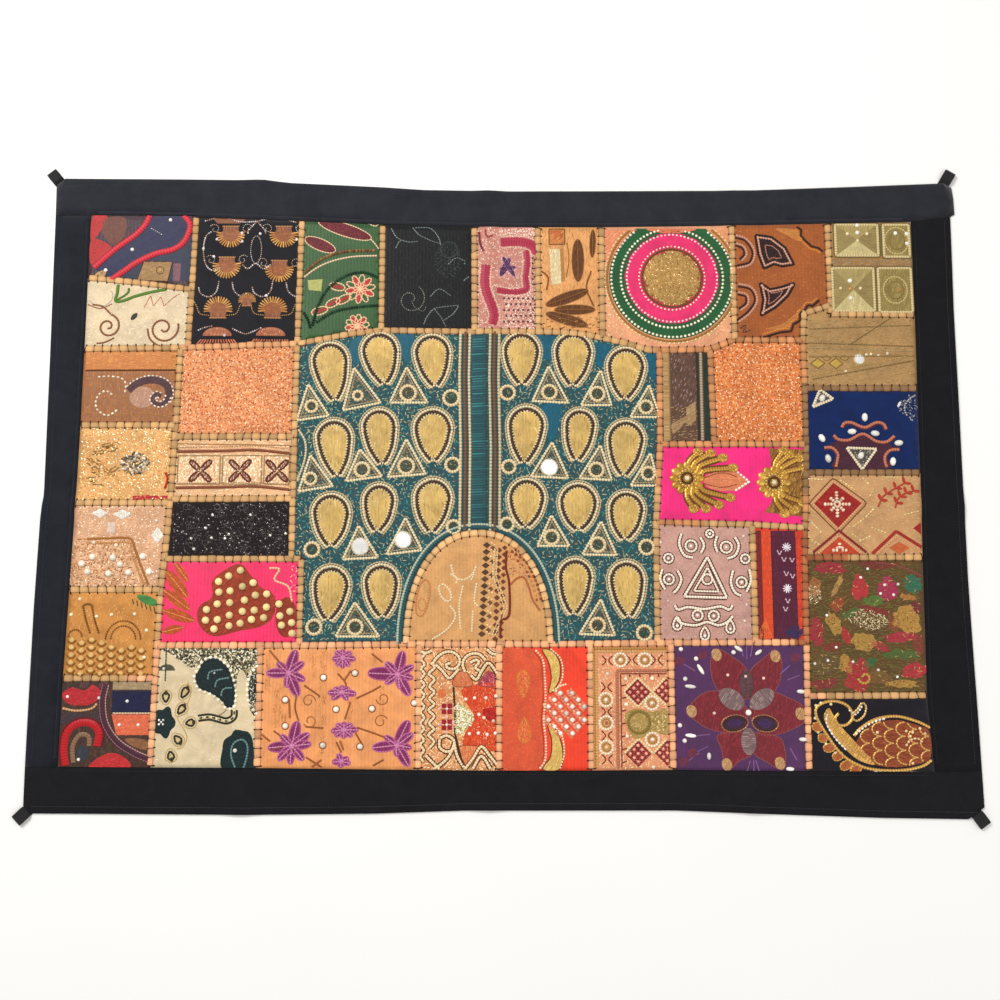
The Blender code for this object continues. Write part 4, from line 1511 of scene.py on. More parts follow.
class BlackFans(SewnPatch):
    """Brown fans with gold fringes between silver scrolls, on black."""

    hanging = ((-455, 425, 1.0), (-366, 425, 1.0), (-460, 371, 1.0), (-372, 365, 1.0))
    standing = ((-472, 294, 1.0), (-381, 294, 1.0), (-424, 309, 0.62))

    def fan(self, work: Needlework, x: float, y: float, up: float, size: float) -> None:
        """One fan: a striped body with a fringe of pointed stitches.

        Args:
            work: the patch's needlework.
            x: the middle of the fan's straight side.
            y: the same.
            up: 1 where the fringe points up, -1 where it hangs.
            size: its share of the full size.
        """
        turns = np.radians(np.linspace(-8, 188, 17))
        ray = np.stack((np.cos(turns), np.sin(turns) * up), 1)
        middle = np.array((x, y))
        work.satin(oval(x, y + up * 2 * size, 18 * size, 11 * size), ["#9a5a30", "#8a4e2a", "#b06a3a"], 0,
                   1.8, high=1.2)
        work.stitches(middle + ray * 11 * size, middle + ray * np.array((25, 24)) * size,
                      ["#c98f42", "#d8a35a", "#b87a34"], 3.0 * size, 1.1)
        work.satin(box(x - 13 * size, x + 13 * size, y - 4, y + 4) - (0, up * 9 * size),
                   ["#a8663a", "#7d4a38"], 90, 1.8, high=1.3)
        work.cord(line([(x - 15 * size, y - up * 14 * size), (x + 15 * size, y - up * 14 * size)]),
                  "#c08a52", 2.4)

    def scroll(self, work: Needlework, points: Points, dyes: Sequence[str] = ("#d8cfd0", "#b08a7a")) -> None:
        """One silver scroll of short metal links."""
        work.links(path(points), dyes, 3.4, 3.0, thread=Thread.COTTON)

    def embroider(self, work: Needlework) -> None:
        """Sew the fans and the scrolls."""
        for x, y, size in self.hanging:
            self.fan(work, x, y, -1, size)
            for side in (-1, 1):
                work.links(spiral(x + side * 27, y + 9, 9, side * 1.1, 90 - side * 60, 0.2),
                           [Dye.SILVER, "#c49a86"], 3.0, 2.2, thread=Thread.ZARI)
        for x, y, size in self.standing:
            self.fan(work, x, y, 1, size)
        for x in (-472, -383):
            work.satin(oval(x, 249, 24, 15, 0, 0, 180), ["#b0603e", "#a05236", "#c27a52"], 90, 1.9, high=1.1)
            work.stitches(np.stack((np.linspace(x - 26, x + 26, 14), np.full(14, 244.0)), 1),
                          np.stack((np.linspace(x - 34, x + 34, 14), np.full(14, 234.0)), 1),
                          ["#c86a48", "#b0603e"], 3.0, 1.0)
            work.links(oval(x, 256, 15, 5), ["#c49a70"], 3.0, 2.2, True)
        work.satin(poly((-490, 457), (-424, 457), (-440, 444), (-478, 444)), ["#8a5232"], 20, 2)
        work.links(oval(-411, 397, 9, 24), [Dye.SILVER, "#d8b8a8"], 3.2, 2.2, True, Thread.ZARI)
        self.scroll(work, [(-500, 448), (-470, 455), (-440, 447), (-411, 447), (-380, 455), (-345, 446)])
        self.scroll(work, [(-487, 430), (-497, 420), (-500, 395), (-495, 372), (-484, 362), (-470, 366)])
        self.scroll(work, [(-434, 372), (-424, 364), (-411, 373), (-398, 364), (-386, 372)])
        self.scroll(work, [(-411, 447), (-424, 432), (-426, 425)])
        self.scroll(work, [(-411, 447), (-398, 432), (-396, 425)])
        for x in (-456, -366):
            self.scroll(work, [(x - 16, 344), (x - 20, 325), (x - 32, 316), (x - 46, 322), (x - 50, 333)])
            self.scroll(work, [(x + 6, 342), (x + 10, 326), (x + 22, 317), (x + 32, 322)])
        for x in (-472, -381):
            for side in (-1, 1):
                work.links(path([(x + side * 14, 284), (x + side * 30, 287), (x + side * 36, 300),
                                 (x + side * 42, 310)]), ["#c49a62"], 3.4, 2.6, thread=Thread.ZARI)
        self.scroll(work, [(-505, 258), (-494, 263), (-480, 266)])
        self.scroll(work, [(-448, 262), (-436, 256), (-424, 252), (-410, 257), (-398, 263)])
        work.beads([(-436, 427), (-435, 412), (-405, 425), (-478, 416), (-482, 386), (-500, 400), (-344, 416),
                    (-460, 250), (-392, 318)], "#efe9f2", 5.0)


class OrangeSeed(SewnPatch):
    """Seed stitch all over, on orange."""

    def embroider(self, work: Needlework) -> None:
        """Fill the whole cloth with short loose stitches."""
        low, high = work.cloth.rings[0].min(0) + 6, work.cloth.rings[0].max(0) - 6
        whole = spread(line(work.cloth.rings[0], True, 6.0), -6.0)
        whole = np.clip(whole, low, high)
        work.seeds(whole, ["#c4582c", "#d0642f", "#b04a26", "#ffc490", "#f8a868", "#de7a3e"], 4.3, 4.2, 1.5,
                   high=0.9)
        work.seeds(whole, ["#ffe6c8", "#ffd0a0"], 7.4, 3.6, 1.9, high=1.3)
        work.seeds(whole, ["#8a3414", "#a03c18"], 8.0, 4.0, 1.7, high=0.9)


class CreamCross(SewnPatch):
    """Three squares with crosses of four loops, between brown lines, on cream."""

    def embroider(self, work: Needlework) -> None:
        """Sew the lines, the squares and the crosses."""
        work.seeds(box(-532, -346, -18, 73), ["#f6e2ba", "#d8b07c", "#fbf0d2", "#e8c89a"], 4.6, 5.0, 1.8,
                   lean=5, high=0.5)
        for left, right in ((-529, -460), (-456, -392), (-388, -347)):
            work.seeds(box(left + 2, right - 2, 2, 45), ["#fff2d4", "#f6dfb8"], 4.4, 5.0, 2.2, lean=80,
                       high=0.8)
            work.cord(box(left, right, 0, 47), "#8f7a54", 2.2, True)
        for y in (54, -6):
            work.cord(path([(-532, y), (-460, y + 1), (-400, y + 2), (-346, y - 3)]), "#8a4a30", 5.6,
                      thread=Thread.FLOSS, pinch=0.15)
            work.links(path([(-532, y + 7), (-460, y + 8), (-400, y + 9), (-346, y + 4)]), ["#b98a5c"], 4,
                       2.4)
        for x in (-492, -427, -367):
            for turn in (45, 135, 225, 315):
                way = heading(turn)
                arm = leaf(np.array((x, 22.0)) + way * 3, np.array((x, 22.0)) + way * 24, 8, 0.7)
                work.satin(arm, ["#9a5a40", "#84483a"], turn, 2.0)
                work.cord(arm, "#6a2e20", 3.4, True)
            work.cord(oval(x, 22, 4.0), "#f0d8b0", 3.0, True)
            work.beads([(x, 44), (x, 4), (x - 26, 24)], "#fff2d4", 4.4)
        work.cord(line([(-532, 67), (-346, 64)]), "#a87a4c", 2.4)


class BlackSequin(SewnPatch):
    """Black cloth covered with small grey curls and silver sequins."""

    bright = ((-407, -51), (-469, -51), (-448, -89), (-350, -81), (-503, -89), (-480, -72), (-375, -84),
              (-442, -82), (-498, -106), (-470, -88))

    def embroider(self, work: Needlework) -> None:
        """Scatter curls and sequins, and set the bright ones."""
        whole = box(-535, -346, -116, -31)
        for _ in range(75):
            x, y = work.random.uniform((-530, -110), (-352, -36))
            work.cord(oval(x, y, work.random.uniform(3, 6), None, 0, work.random.uniform(0, 360),
                           work.random.uniform(400, 560)), "#4a4748", 1.4, thread=Thread.ZARI)
        work.seeds(whole, ["#3a3739", "#5c5858", "#2a2628"], 5.2, 4.0, 1.5, Thread.ZARI)
        work.sequins(whole, ["#6f6c6c", "#a5a2a0", "#8a8684"], 11, 3.2)
        work.beads(self.bright, Dye.WHITE, 6.0, Thread.FOIL)


class PinkDots(SewnPatch):
    """A rust cluster under cream dots, with orange flames, on bright pink."""

    dots = ((-421, -141), (-440, -150), (-400, -161), (-456, -159), (-417, -167), (-455, -176), (-437, -174),
            (-396, -181), (-378, -179), (-413, -189), (-457, -195), (-437, -193), (-474, -204), (-397, -205),
            (-378, -200), (-416, -207), (-437, -213), (-382, -217), (-401, -220), (-475, -221), (-456, -220),
            (-419, -226), (-437, -230), (-461, -235), (-358, -195), (-340, -207), (-356, -214), (-337, -225),
            (-353, -229), (-336, -242))

    def embroider(self, work: Needlework) -> None:
        """Sew the cluster, the dots, the flames and the pale cord."""
        cluster = path([(-421, -131), (-405, -148), (-388, -168), (-366, -182), (-366, -212), (-384, -230),
                        (-420, -238), (-462, -246), (-486, -226), (-486, -200), (-466, -184), (-466, -158),
                        (-446, -140)], True)
        work.satin(cluster, ["#a43a1e", "#8e3018", "#b8482a"], 30, 1.9, high=0.9)
        work.satin(oval(-346, -216, 17, 32), ["#a43a1e", "#8e3018"], 60, 1.9, high=0.9)
        work.beads(self.dots, "#f3dfa0", 12.5, Thread.FLOSS)
        for ring in self.dots[::2]:
            work.cord(oval(*ring, 6.8), "#7a2814", 1.6, True)
        for tip, far, wide in (((-543, -140), (-505, -185), 20), ((-545, -172), (-500, -205), 18),
                               ((-545, -205), (-492, -222), 18), ((-528, -128), (-505, -160), 12),
                               ((-545, -240), (-510, -232), 14)):
            work.satin(leaf(tip, far, wide), ["#d86a2a", "#c4541f", "#b04a20"], 140, 1.8, high=0.9)
            work.cord(path([tip, far]), "#f0a060", 2.0)
        work.cord(path([(-376, -137), (-359, -139), (-366, -156), (-344, -167), (-337, -192)]), "#f0c8a0",
                  3.2)
        work.seeds(box(-343, -328, -180, -130), ["#ffa0b8", "#f8d0a0"], 7, 5, 1.8)


class CreamLeaf(SewnPatch):
    """Dark green leaves edged with beads, on cream."""

    #: the tip and the middle of the round end of each almond
    almonds = ((-534, -351, -534, -336), (-509, -344, -500, -328), (-514, -369, -504, -356),
               (-501, -384, -488, -382), (-518, -403, -508, -414), (-524, -427, -521, -440))

    def almond(self, work: Needlework, tip: Sequence[float], far: Sequence[float]) -> None:
        """One small outlined almond with a dark curl in it and a tan edge."""
        outline = drop(tip, far, 10)
        work.cord(spread(outline, 4.4), "#c2a468", 2.0, True)
        work.satin(outline, ["#e6cf98", "#dcc084"], 40, 2.0)
        work.cord(outline, "#2c2a1c", 3.0, True, base=0.6)
        work.cord(oval(*far, 1.8, 2.8), "#5c4a28", 2.4, True, base=0.6)

    def embroider(self, work: Needlework) -> None:
        """Sew the leaves, the speckled ground and the almonds."""
        work.seeds(box(-546, -392, -447, -268), ["#fdf2d4", "#f0dcae"], 8.0, 4.5, 1.3, lean=10, high=0.3)
        mesh = path([(-536, -262), (-524, -277), (-506, -289), (-493, -297), (-484, -293), (-478, -286),
                     (-455, -279), (-441, -287), (-434, -297), (-426, -316), (-423, -334), (-420, -306),
                     (-413, -300), (-405, -314), (-402, -334), (-399, -362), (-386, -368), (-386, -262)],
                    True)
        work.satin(mesh, ["#4a4a38", "#5a5844"], 45, 2.6, high=0.4)
        work.seeds(mesh, ["#f0e6c6", "#22241c", "#fbf4dc", "#8a7a58", "#d8cca4"], 3.2, 4.2, 2.5, high=1.2)
        big = path([(-483, -300), (-478, -289), (-467, -282), (-454, -282), (-444, -289), (-435, -298),
                    (-428, -316), (-424, -330), (-424, -347), (-427, -358), (-437, -359), (-443, -351),
                    (-454, -342), (-467, -335), (-480, -330), (-487, -319), (-488, -308)], True)
        side = path([(-382, -296), (-396, -304), (-402, -320), (-402, -342), (-396, -358), (-382, -364)],
                    True)
        for shape in (big, side):
            work.satin(shape, ["#082428", "#0a1e20", "#0c2a2c"], 60, 1.9, high=1.1)
            spots, _ = evenly(spread(shape, 1.6), 8.4, True)
            work.beads(spots, "#fdf6e0", 5.6)
        for course in ([(-468, -316), (-467, -306), (-462, -302), (-444, -299)],
                       [(-456, -328), (-455, -320), (-450, -315), (-433, -312)],
                       [(-446, -342), (-445, -334), (-440, -329), (-428, -328)]):
            work.cord(path(course), "#6a8c8c", 2.4, base=0.8)
        work.beads([(-458, -305)], "#c8d4d0", 4.0)
        rung = path([(-482, -376), (-464, -374), (-450, -377), (-436, -380), (-425, -374), (-424, -362)])
        for shift, tone in ((0, "#e8d8ac"), (-4, "#2c2a1c"), (4, "#2c2a1c")):
            work.cord(spread_line(rung, shift), tone, 3.6 if shift else 6.0, pinch=0.1, high=1.2)
        work.links(rung, ["#1c1c14", "#3a3424"], 7.0, 4.0, high=2.6, gap=3.4)
        work.cord(path([(-436, -362), (-446, -370), (-470, -378)]), "#8a7a50", 2.2)
        work.cord(line([(-536, -264), (-536, -318)]), "#4a4a34", 2.6)
        work.satin(oval(-534, -301, 13, 10, 0, 0, 180), ["#5c5c48", "#4a4a38"], 0, 2.0)
        work.beads([(-539, -298)], "#d8d4c8", 5.0)
        work.cord(path([(-500, -318), (-495, -340), (-504, -362), (-514, -376), (-504, -392), (-498, -406),
                        (-504, -420), (-514, -424)]), "#c2a468", 2.0)
        for near_x, near_y, far_x, far_y in self.almonds:
            self.almond(work, (near_x, near_y), (far_x, far_y))
        lobes = []
        for turn in range(0, 360, 8):
            far = 1.0 + 0.13 * math.cos(math.radians(turn * 5 + 20))
            lobes.append((-535 + 16 * far * math.cos(math.radians(turn)),
                          -382 + 23 * far * math.sin(math.radians(turn))))
        work.satin(path(lobes, True), ["#082428", "#0c2a2c"], 80, 1.9, high=1.0)
        for turn in (45, 135):
            way = heading(turn) * 7
            work.links(line([(-540, -382) - way, (-540, -382) + way]), [Dye.WHITE], 4.4, 4.2, high=2.6)
        low = path([(-441, -421), (-438, -409), (-428, -402), (-422, -394), (-410, -395), (-400, -398),
                    (-394, -410), (-391, -436), (-391, -455), (-440, -455)], True)
        work.satin(low, ["#082428", "#0c2a2c"], 80, 1.9, high=1.0)
        work.cord(path([(-420, -453), (-427, -434), (-426, -420), (-420, -412), (-410, -409), (-403, -415),
                        (-401, -426), (-403, -440), (-407, -453)]), "#6a8c8c", 2.6, base=0.8)
        work.beads([(-421, -426)], Dye.WHITE, 7)


class GreenFloral(SewnPatch):
    """Red leaves, a pale branch and star flowers, on green."""

    def star(self, work: Needlework, x: float, y: float, reach: float) -> None:
        """One open flower with pale outlined petals and red between them."""
        middle = np.array((x, y), float)
        for turn in range(10, 370, 36):
            way = heading(turn)
            if (turn // 36) % 2:
                work.satin(leaf(middle, middle + way * reach * 0.95, 8), ["#b8262e", "#d03a34"], turn, 1.6)
            work.cord(leaf(middle, middle + way * reach, 9.5, 0.8), "#f4c9a0", 2.4, True)

    def embroider(self, work: Needlework) -> None:
        """Sew the leaves, the branch, the curves and the flowers."""
        for tip, far, wide in (((-308, 448), (-219, 418), 20), ((-330, 418), (-279, 396), 18)):
            work.satin(leaf(tip, far, wide, 1.0), ["#6c1422", "#821e2c", "#5a0f1c"], -20, 1.7, high=1.0)
            work.cord(leaf(tip, far, wide + 2, 1.0), "#f0cfa8", 2.2, True)
        work.links(path([(-329, 357), (-312, 374), (-293, 386), (-260, 395), (-212, 397)]),
                   ["#8a5a34", "#7a4a2a", "#a06a44"], 5.5, 5.5, thread=Thread.COTTON)
        work.cord(path([(-331, 350), (-310, 366), (-285, 378), (-250, 386), (-208, 388)]), "#f2cfae", 2.8)
        work.cord(path([(-221, 418), (-212, 408), (-205, 398)]), "#f2cfae", 2.2)
        for course in ([(-315, 266), (-306, 300), (-290, 330), (-262, 352), (-232, 359), (-206, 350)],
                       [(-309, 272), (-280, 290), (-246, 298), (-206, 302)],
                       [(-330, 290), (-322, 276), (-318, 262)]):
            work.links(path(course), ["#103a22", "#16482c", "#0b2e1c"], 4.0, 6.0, thread=Thread.COTTON)
        self.star(work, -236, 330, 25)
        self.star(work, -240, 266, 20)
        for tip, far in (((-262, 331), (-287, 337)), ((-252, 318), (-275, 306)), ((-270, 312), (-292, 300)),
                         ((-290, 296), (-316, 288))):
            work.cord(leaf(tip, far, 13, 0.8), "#f4c9a0", 2.6, True)
            work.satin(leaf(tip, far, 6, 0.8), ["#a83428"], 0, 1.6)
        work.satin(poly((-324, 345), (-299, 347), (-301, 326), (-322, 328)),
                   ["#c9c47a", "#b4b866"], 30, 1.8)
        work.cord(path([(-230, 448), (-214, 440), (-206, 444)]), "#f2cfae", 2.0)


class BlackVine(SewnPatch):
    """Thin grey vines and curls on black, worn faint."""

    courses = ([(-186, 437), (-176, 420), (-158, 412), (-140, 413)], [(-178, 400), (-170, 414), (-158, 412)],
               [(-150, 438), (-138, 424), (-118, 414), (-100, 408)],
               [(-146, 437), (-120, 436), (-106, 420), (-102, 406)],
               [(-130, 268), (-124, 282), (-112, 296), (-90, 300), (-71, 302)],
               [(-71, 302), (-80, 288), (-96, 276)], [(-112, 296), (-100, 280), (-92, 264)],
               [(-120, 316), (-104, 330), (-84, 318)], [(-90, 372), (-76, 384), (-60, 378)],
               [(-64, 344), (-54, 352)])

    def embroider(self, work: Needlework) -> None:
        """Sew the vines and the curls."""
        for course in self.courses:
            work.cord(path(course), "#666c6e", 2.2, thread=Thread.ZARI)
        work.links(spiral(-152, 312, 26, -1.25, 60, 0.2), ["#9a9a90", "#84847c"], 3.4, 2.8,
                   thread=Thread.ZARI)
        work.links(path([(-150, 310), (-144, 298), (-130, 292), (-126, 300)]), ["#86857c"], 3.2, 2.0,
                   thread=Thread.ZARI)
        work.cord(oval(-88, 398, 14), "#3c4646", 2.0, True)
        work.seeds(oval(-88, 380, 24, 30), ["#2c3634", "#38403c"], 5.0, 4.6, 1.8)
        work.seeds(box(-192, -54, 264, 432), ["#191a1e", "#202228"], 9.0, 6.0, 1.6, lean=90, high=0.5)
        work.beads([(-62, 374)], "#6a8a78", 3)


class PinkBand(SewnPatch):
    """Dark red bands sweeping over speckled pink, with a purple motif."""

    def embroider(self, work: Needlework) -> None:
        """Sew the bands, the motif and the dots."""
        whole = box(-44, 66, 258, 436)
        work.seeds(whole, ["#e8b8a4", "#c8604c", "#f6ddc8", "#d88a74", "#fbe6d4"], 3.9, 3.4, 1.5)
        work.seeds(box(4, 60, 262, 334), ["#fdeee0", "#fbe0d0"], 4.4, 3.6, 1.7)
        work.seeds(box(-4, 66, 420, 436), ["#fdeee0", "#fbe0d0"], 4.0, 3.6, 1.8)
        for course, wide in (([(-2, 411), (26, 413), (50, 407), (61, 392)], 17.0),
                             ([(41, 398), (43, 376), (40, 350), (41, 330), (20, 325), (-8, 328)], 11.0),
                             ([(-26, 372), (-28, 348), (-26, 326), (-17, 303), (-12, 284), (-16, 268)],
                              16.0)):
            band = path(course)
            work.cord(band, "#b4344e", wide, pinch=0.05, thread=Thread.FLOSS, high=1.8)
            for side in (-1, 1):
                work.cord(spread_line(band, side * (wide / 2 + 1.5)), "#e8c0b0", 2.0)
            work.cord(band, "#8c2440", 2.2, high=2.4)
        for tip, far, wide in (((-2, 352), (14, 384), 11), ((22, 352), (2, 386), 9),
                               ((-4, 364), (24, 368), 9)):
            work.satin(leaf(tip, far, wide, 0.8), ["#5a2a52", "#46305a", "#6a3460"], 45, 1.7, high=1.2)
            work.cord(leaf(tip, far, wide, 0.8), "#c8a0b4", 1.8, True)
        for row, y in enumerate((314, 304, 294, 284, 274)):
            work.beads([(x, y) for x in range(4 + row % 2 * 4, 58, 8)], "#5a2430", 4.2)
        work.beads([(x, y) for y in range(384, 330, -9) for x in (52, 59)], Dye.BLACK, 3.6)
        work.cord(path([(-38, 430), (-36, 410), (-30, 395)]), "#7a3038", 4.0)
        work.cord(path([(-28, 434), (-24, 420), (-14, 424)]), "#a84a50", 3.4)


class TanLeaf(SewnPatch):
    """Brown leaves on tan with a cream bar."""

    def embroider(self, work: Needlework) -> None:
        """Sew the leaves and the bar."""
        work.seeds(box(67, 162, 262, 436), ["#d2a062", "#b88248", "#e0b47c", "#a87038"], 4.8, 8.0, 1.6,
                   lean=88, high=0.45)
        work.satin(box(82, 104, 410, 433), ["#d8743a", "#e8a05a", "#b85c2c"], 45, 1.8, high=1.2)
        work.cord(box(80, 106, 408, 435), "#7a4a1e", 2.4, True)
        work.satin(poly((80, 400), (98, 400), (100, 340), (84, 337)), ["#f6e4bc", "#e6ce98"], 80, 1.8)
        work.satin(poly((98, 400), (104, 400), (106, 344), (100, 342)), ["#c08848"], 80, 1.8)
        for tip, far, wide in (((128, 343), (128, 417), 20), ((74, 302), (145, 328), 19),
                               ((88, 294), (156, 295), 17), ((74, 288), (143, 267), 18),
                               ((152, 385), (154, 434), 10)):
            work.satin(leaf(tip, far, wide, 1.0), ["#6a3c1a", "#7c4a20", "#5a3014"], 85, 1.7, high=1.1)
            work.cord(leaf(tip, far, wide, 1.0), "#a8743c", 2.0, True)
            work.cord(line([tip, far]), "#8c5a2c", 1.8, base=1.2)
        work.cord(path([(154, 300), (142, 332), (150, 362)]), "#8a5224", 3.0)
        work.cord(path([(66, 362), (78, 350), (75, 328)]), "#8a5224", 3.0)
        work.cord(path([(110, 412), (113, 380), (108, 350)]), "#9c6a34", 2.4)
        work.seeds(box(67, 162, 262, 284), ["#8a5a2c", "#c89858"], 7.0, 8.0, 2.2, lean=10, high=1.0)


class RoundMedallion(SewnPatch):
    """Rings of gold, pink and green cloth, edged with beads."""

    middle = (285.0, 349.0)

    def bead_ring(self, work: Needlework, reach: float, dye: str, wide: float, pitch: float,
                  top: float) -> None:
        """Beads at an even pitch round the middle, but for those the border covers."""
        spots, _ = evenly(oval(*self.middle, reach), pitch, True)
        work.beads(spots[spots[:, 1] < top], dye, wide)

    def embroider(self, work: Needlework) -> None:
        """Sew the disc and the rings, cut off at the border above."""
        x, y = self.middle
        top = 436.0

        def cut(ring: Path) -> Path:
            """The ring, flattened where the border covers it."""
            return np.column_stack((ring[:, 0], np.minimum(ring[:, 1], top)))

        work.seeds(box(174, 381, 250, 434), ["#f3d59c", "#dcae6c", "#f8e2b4", "#c8925a"], 5.0, 4.6, 1.7,
                   holes=[oval(x, y, 110)], high=0.5)
        work.applique(cut(oval(x, y, 105)), cotton("leaf_green", "#1d6a38", "#14522a"), 0.7)
        work.applique(cut(oval(x, y, 82)), cotton("rose_pink", "#ff3a80", "#f0246c"), 1.2)
        work.applique(oval(x, y, 50), cotton("gold_weave", "#d4aa62", "#b88a48"), 3.0)
        work.seeds(oval(x, y, 47), ["#8a5c2c", "#f0d49a", "#a87438", "#ffe8b4"], 3.6, 5.0, 1.9, Thread.ZARI,
                   high=4.2)
        work.cord(oval(x, y, 50), "#7a4a24", 5.0, True, high=2.6, base=1.4)
        self.bead_ring(work, 55.0, "#f8e8c0", 4.4, 6.4, top)
        work.cord(cut(oval(x, y, 79)), "#a81c50", 2.4, True, high=2.0)
        self.bead_ring(work, 75.5, "#ffd8d8", 4.6, 6.6, top - 4)
        self.bead_ring(work, 85.5, "#fbf3d8", 4.8, 6.6, top - 4)
        self.bead_ring(work, 101.5, "#fbf3d8", 4.8, 6.8, top - 4)
        outer = oval(x, y, 108.5)
        outer = outer[outer[:, 1] < top - 2]
        split = int(np.argmax(np.linalg.norm(np.roll(outer, -1, 0) - outer, axis=1)))
        work.cord(np.roll(outer, -split - 1, 0), "#a87438", 5.0, thread=Thread.COTTON)
        self.bead_ring(work, 112.0, "#f0d8a0", 4.0, 7.4, top - 4)
        work.satin(poly((174, 434), (228, 434), (196, 400), (180, 372), (174, 380)),
                   ["#ef8a62", "#f5a57c"], 45, 2.0)
        work.satin(poly((381, 434), (340, 434), (368, 408), (381, 390)), ["#f0a070"], 135, 2.0)
        work.satin(path([(246, 435), (270, 428), (300, 428), (326, 435)], True), ["#f0906c", "#e87c58"], 0,
                   2.0, high=2.2)


class BrownPaisley(SewnPatch):
    """Two outlined leaves beside curled bands, with stepped dark lines, on russet."""

    upper = ((428, 424), (454, 420), (476, 402), (489, 374), (470, 371), (457, 375), (440, 367), (432, 392))
    lower = ((433, 340), (449, 329), (468, 333), (489, 340), (478, 320), (457, 300), (433, 286), (438, 312))
    bands = ([(393, 424), (412, 417), (425, 396), (418, 374), (394, 366)],
             [(393, 410), (407, 404), (411, 390), (402, 378)],
             [(395, 339), (418, 333), (427, 312), (415, 290), (393, 272)],
             [(394, 325), (410, 320), (411, 304), (397, 292)])
    steps = ([(497, 440), (505, 434), (503, 424), (511, 415), (521, 405), (533, 402), (540, 396)],
             [(531, 312), (520, 302), (511, 303), (505, 292), (498, 290), (498, 277), (486, 270), (482, 258),
              (463, 256), (434, 247)])

    def embroider(self, work: Needlework) -> None:
        """Sew the leaves, the bands and the stepped lines."""
        work.seeds(box(394, 542, 256, 436), ["#b86a30", "#a85e28", "#c67a3c"], 5.5, 5.0, 1.5, lean=15,
                   high=0.45)
        for points in (self.upper, self.lower):
            edge = line(points, closed=True)
            work.satin(edge, ["#27141a", "#321c20"], 60, 1.8, high=0.7)
            work.cord(spread(edge, 1.5), "#2c1618", 3.4, True)
            work.cord(spread(edge, -2.6), "#d8a088", 3.4, True, thread=Thread.FLOSS, high=2.0)
            middle = edge.mean(0)
            work.cord(middle + (edge - middle) * 0.45, "#b87c6a", 2.4, True)
        for course in self.bands:
            work.cord(path(course), "#d09a84", 3.6, thread=Thread.FLOSS, high=1.8)
            work.cord(spread_line(path(course), 4.2), "#341a1c", 3.4)
        for course in self.steps:
            work.cord(line(course), "#3a1e18", 3.6, pinch=0.15)
            work.cord(spread_line(line(course), 5.0), "#d98a40", 2.8)
        work.satin(path([(462, 436), (480, 424), (500, 414), (506, 420), (496, 434)], True),
                   ["#d98f4a", "#c87e3c"], 30, 1.8)
        work.satin(path([(440, 262), (470, 272), (500, 296), (486, 276), (470, 262)], True),
                   ["#d98f4a", "#c87e3c"], 30, 1.8)
        work.links(path([(396, 262), (406, 268), (402, 256), (414, 260)]), ["#3a1e18"], 5, 3)


class OlivePearl(SewnPatch):
    """Four faceted squares of folded satin with pearl beads, on olive."""

    squares = ((562, 633, 389, 443, 1), (643, 686, 387, 443, 0), (554, 623, 293, 367, 1),
               (631, 686, 291, 367, 0))

    def embroider(self, work: Needlework) -> None:
        """Sew the squares, the rings, the band and the beads."""
        for left, right, low, high, faceted in self.squares:
            edge = box(left, right, low, high)
            middle = ((left + right) / 2, (low + high) / 2)
            corners = ((left, low), (right, low), (right, high), (left, high))
            if faceted:
                # Painted light and shade: the four faces of the one folded satin get lighter and darker tones
                tones = ("#d8c890", "#a08c58", "#b8a46a", "#a8945e")
                for index, tone in enumerate(tones):
                    facet = line((corners[index], corners[(index + 1) % 4], middle), closed=True)
                    work.satin(facet, [tone], 90 * (index % 2) + 90, 1.8, 12, high=1.2)
            else:
                work.satin(edge, ["#a08c50", "#ac985c", "#8f7c44"], 75, 2.0, 12, high=1.0)
                for reach, tone in ((20, "#c8b478"), (13, "#8a7840")):
                    work.cord(oval(*middle, reach, reach * 1.15), tone, 3.0, True)
            work.cord(edge, "#dcc894", 5.0, True, pinch=0.1, thread=Thread.FLOSS)
            work.cord(spread(edge, 3.4), "#6c5a34", 2.0, True, pinch=0.1)
        work.seeds(box(553, 686, 371, 384), ["#77766a", "#8d8b7c", "#a09a80"], 4.2, 4.0, 1.8, lean=0)
        work.cord(line([(638, 388), (638, 442)]), "#7a7240", 2.6)
        work.cord(line([(627, 292), (627, 366)]), "#7a7240", 2.6)
        work.beads([(599, 442), (599, 429), (583, 345), (583, 315), (663, 428), (682, 427), (682, 410)],
                   Dye.WHITE, 7.5)
        work.beads([(582, 427), (615, 427), (567, 332), (600, 332), (599, 415)], "#efe0b0", 6.0)
        work.beads([(666, 329), (583, 331)], "#c98a4a", 7)
        for x, y in ((666, 346), (666, 312), (646, 330)):
            work.cord(oval(x, y, 5), "#6f6830", 2.2, True)


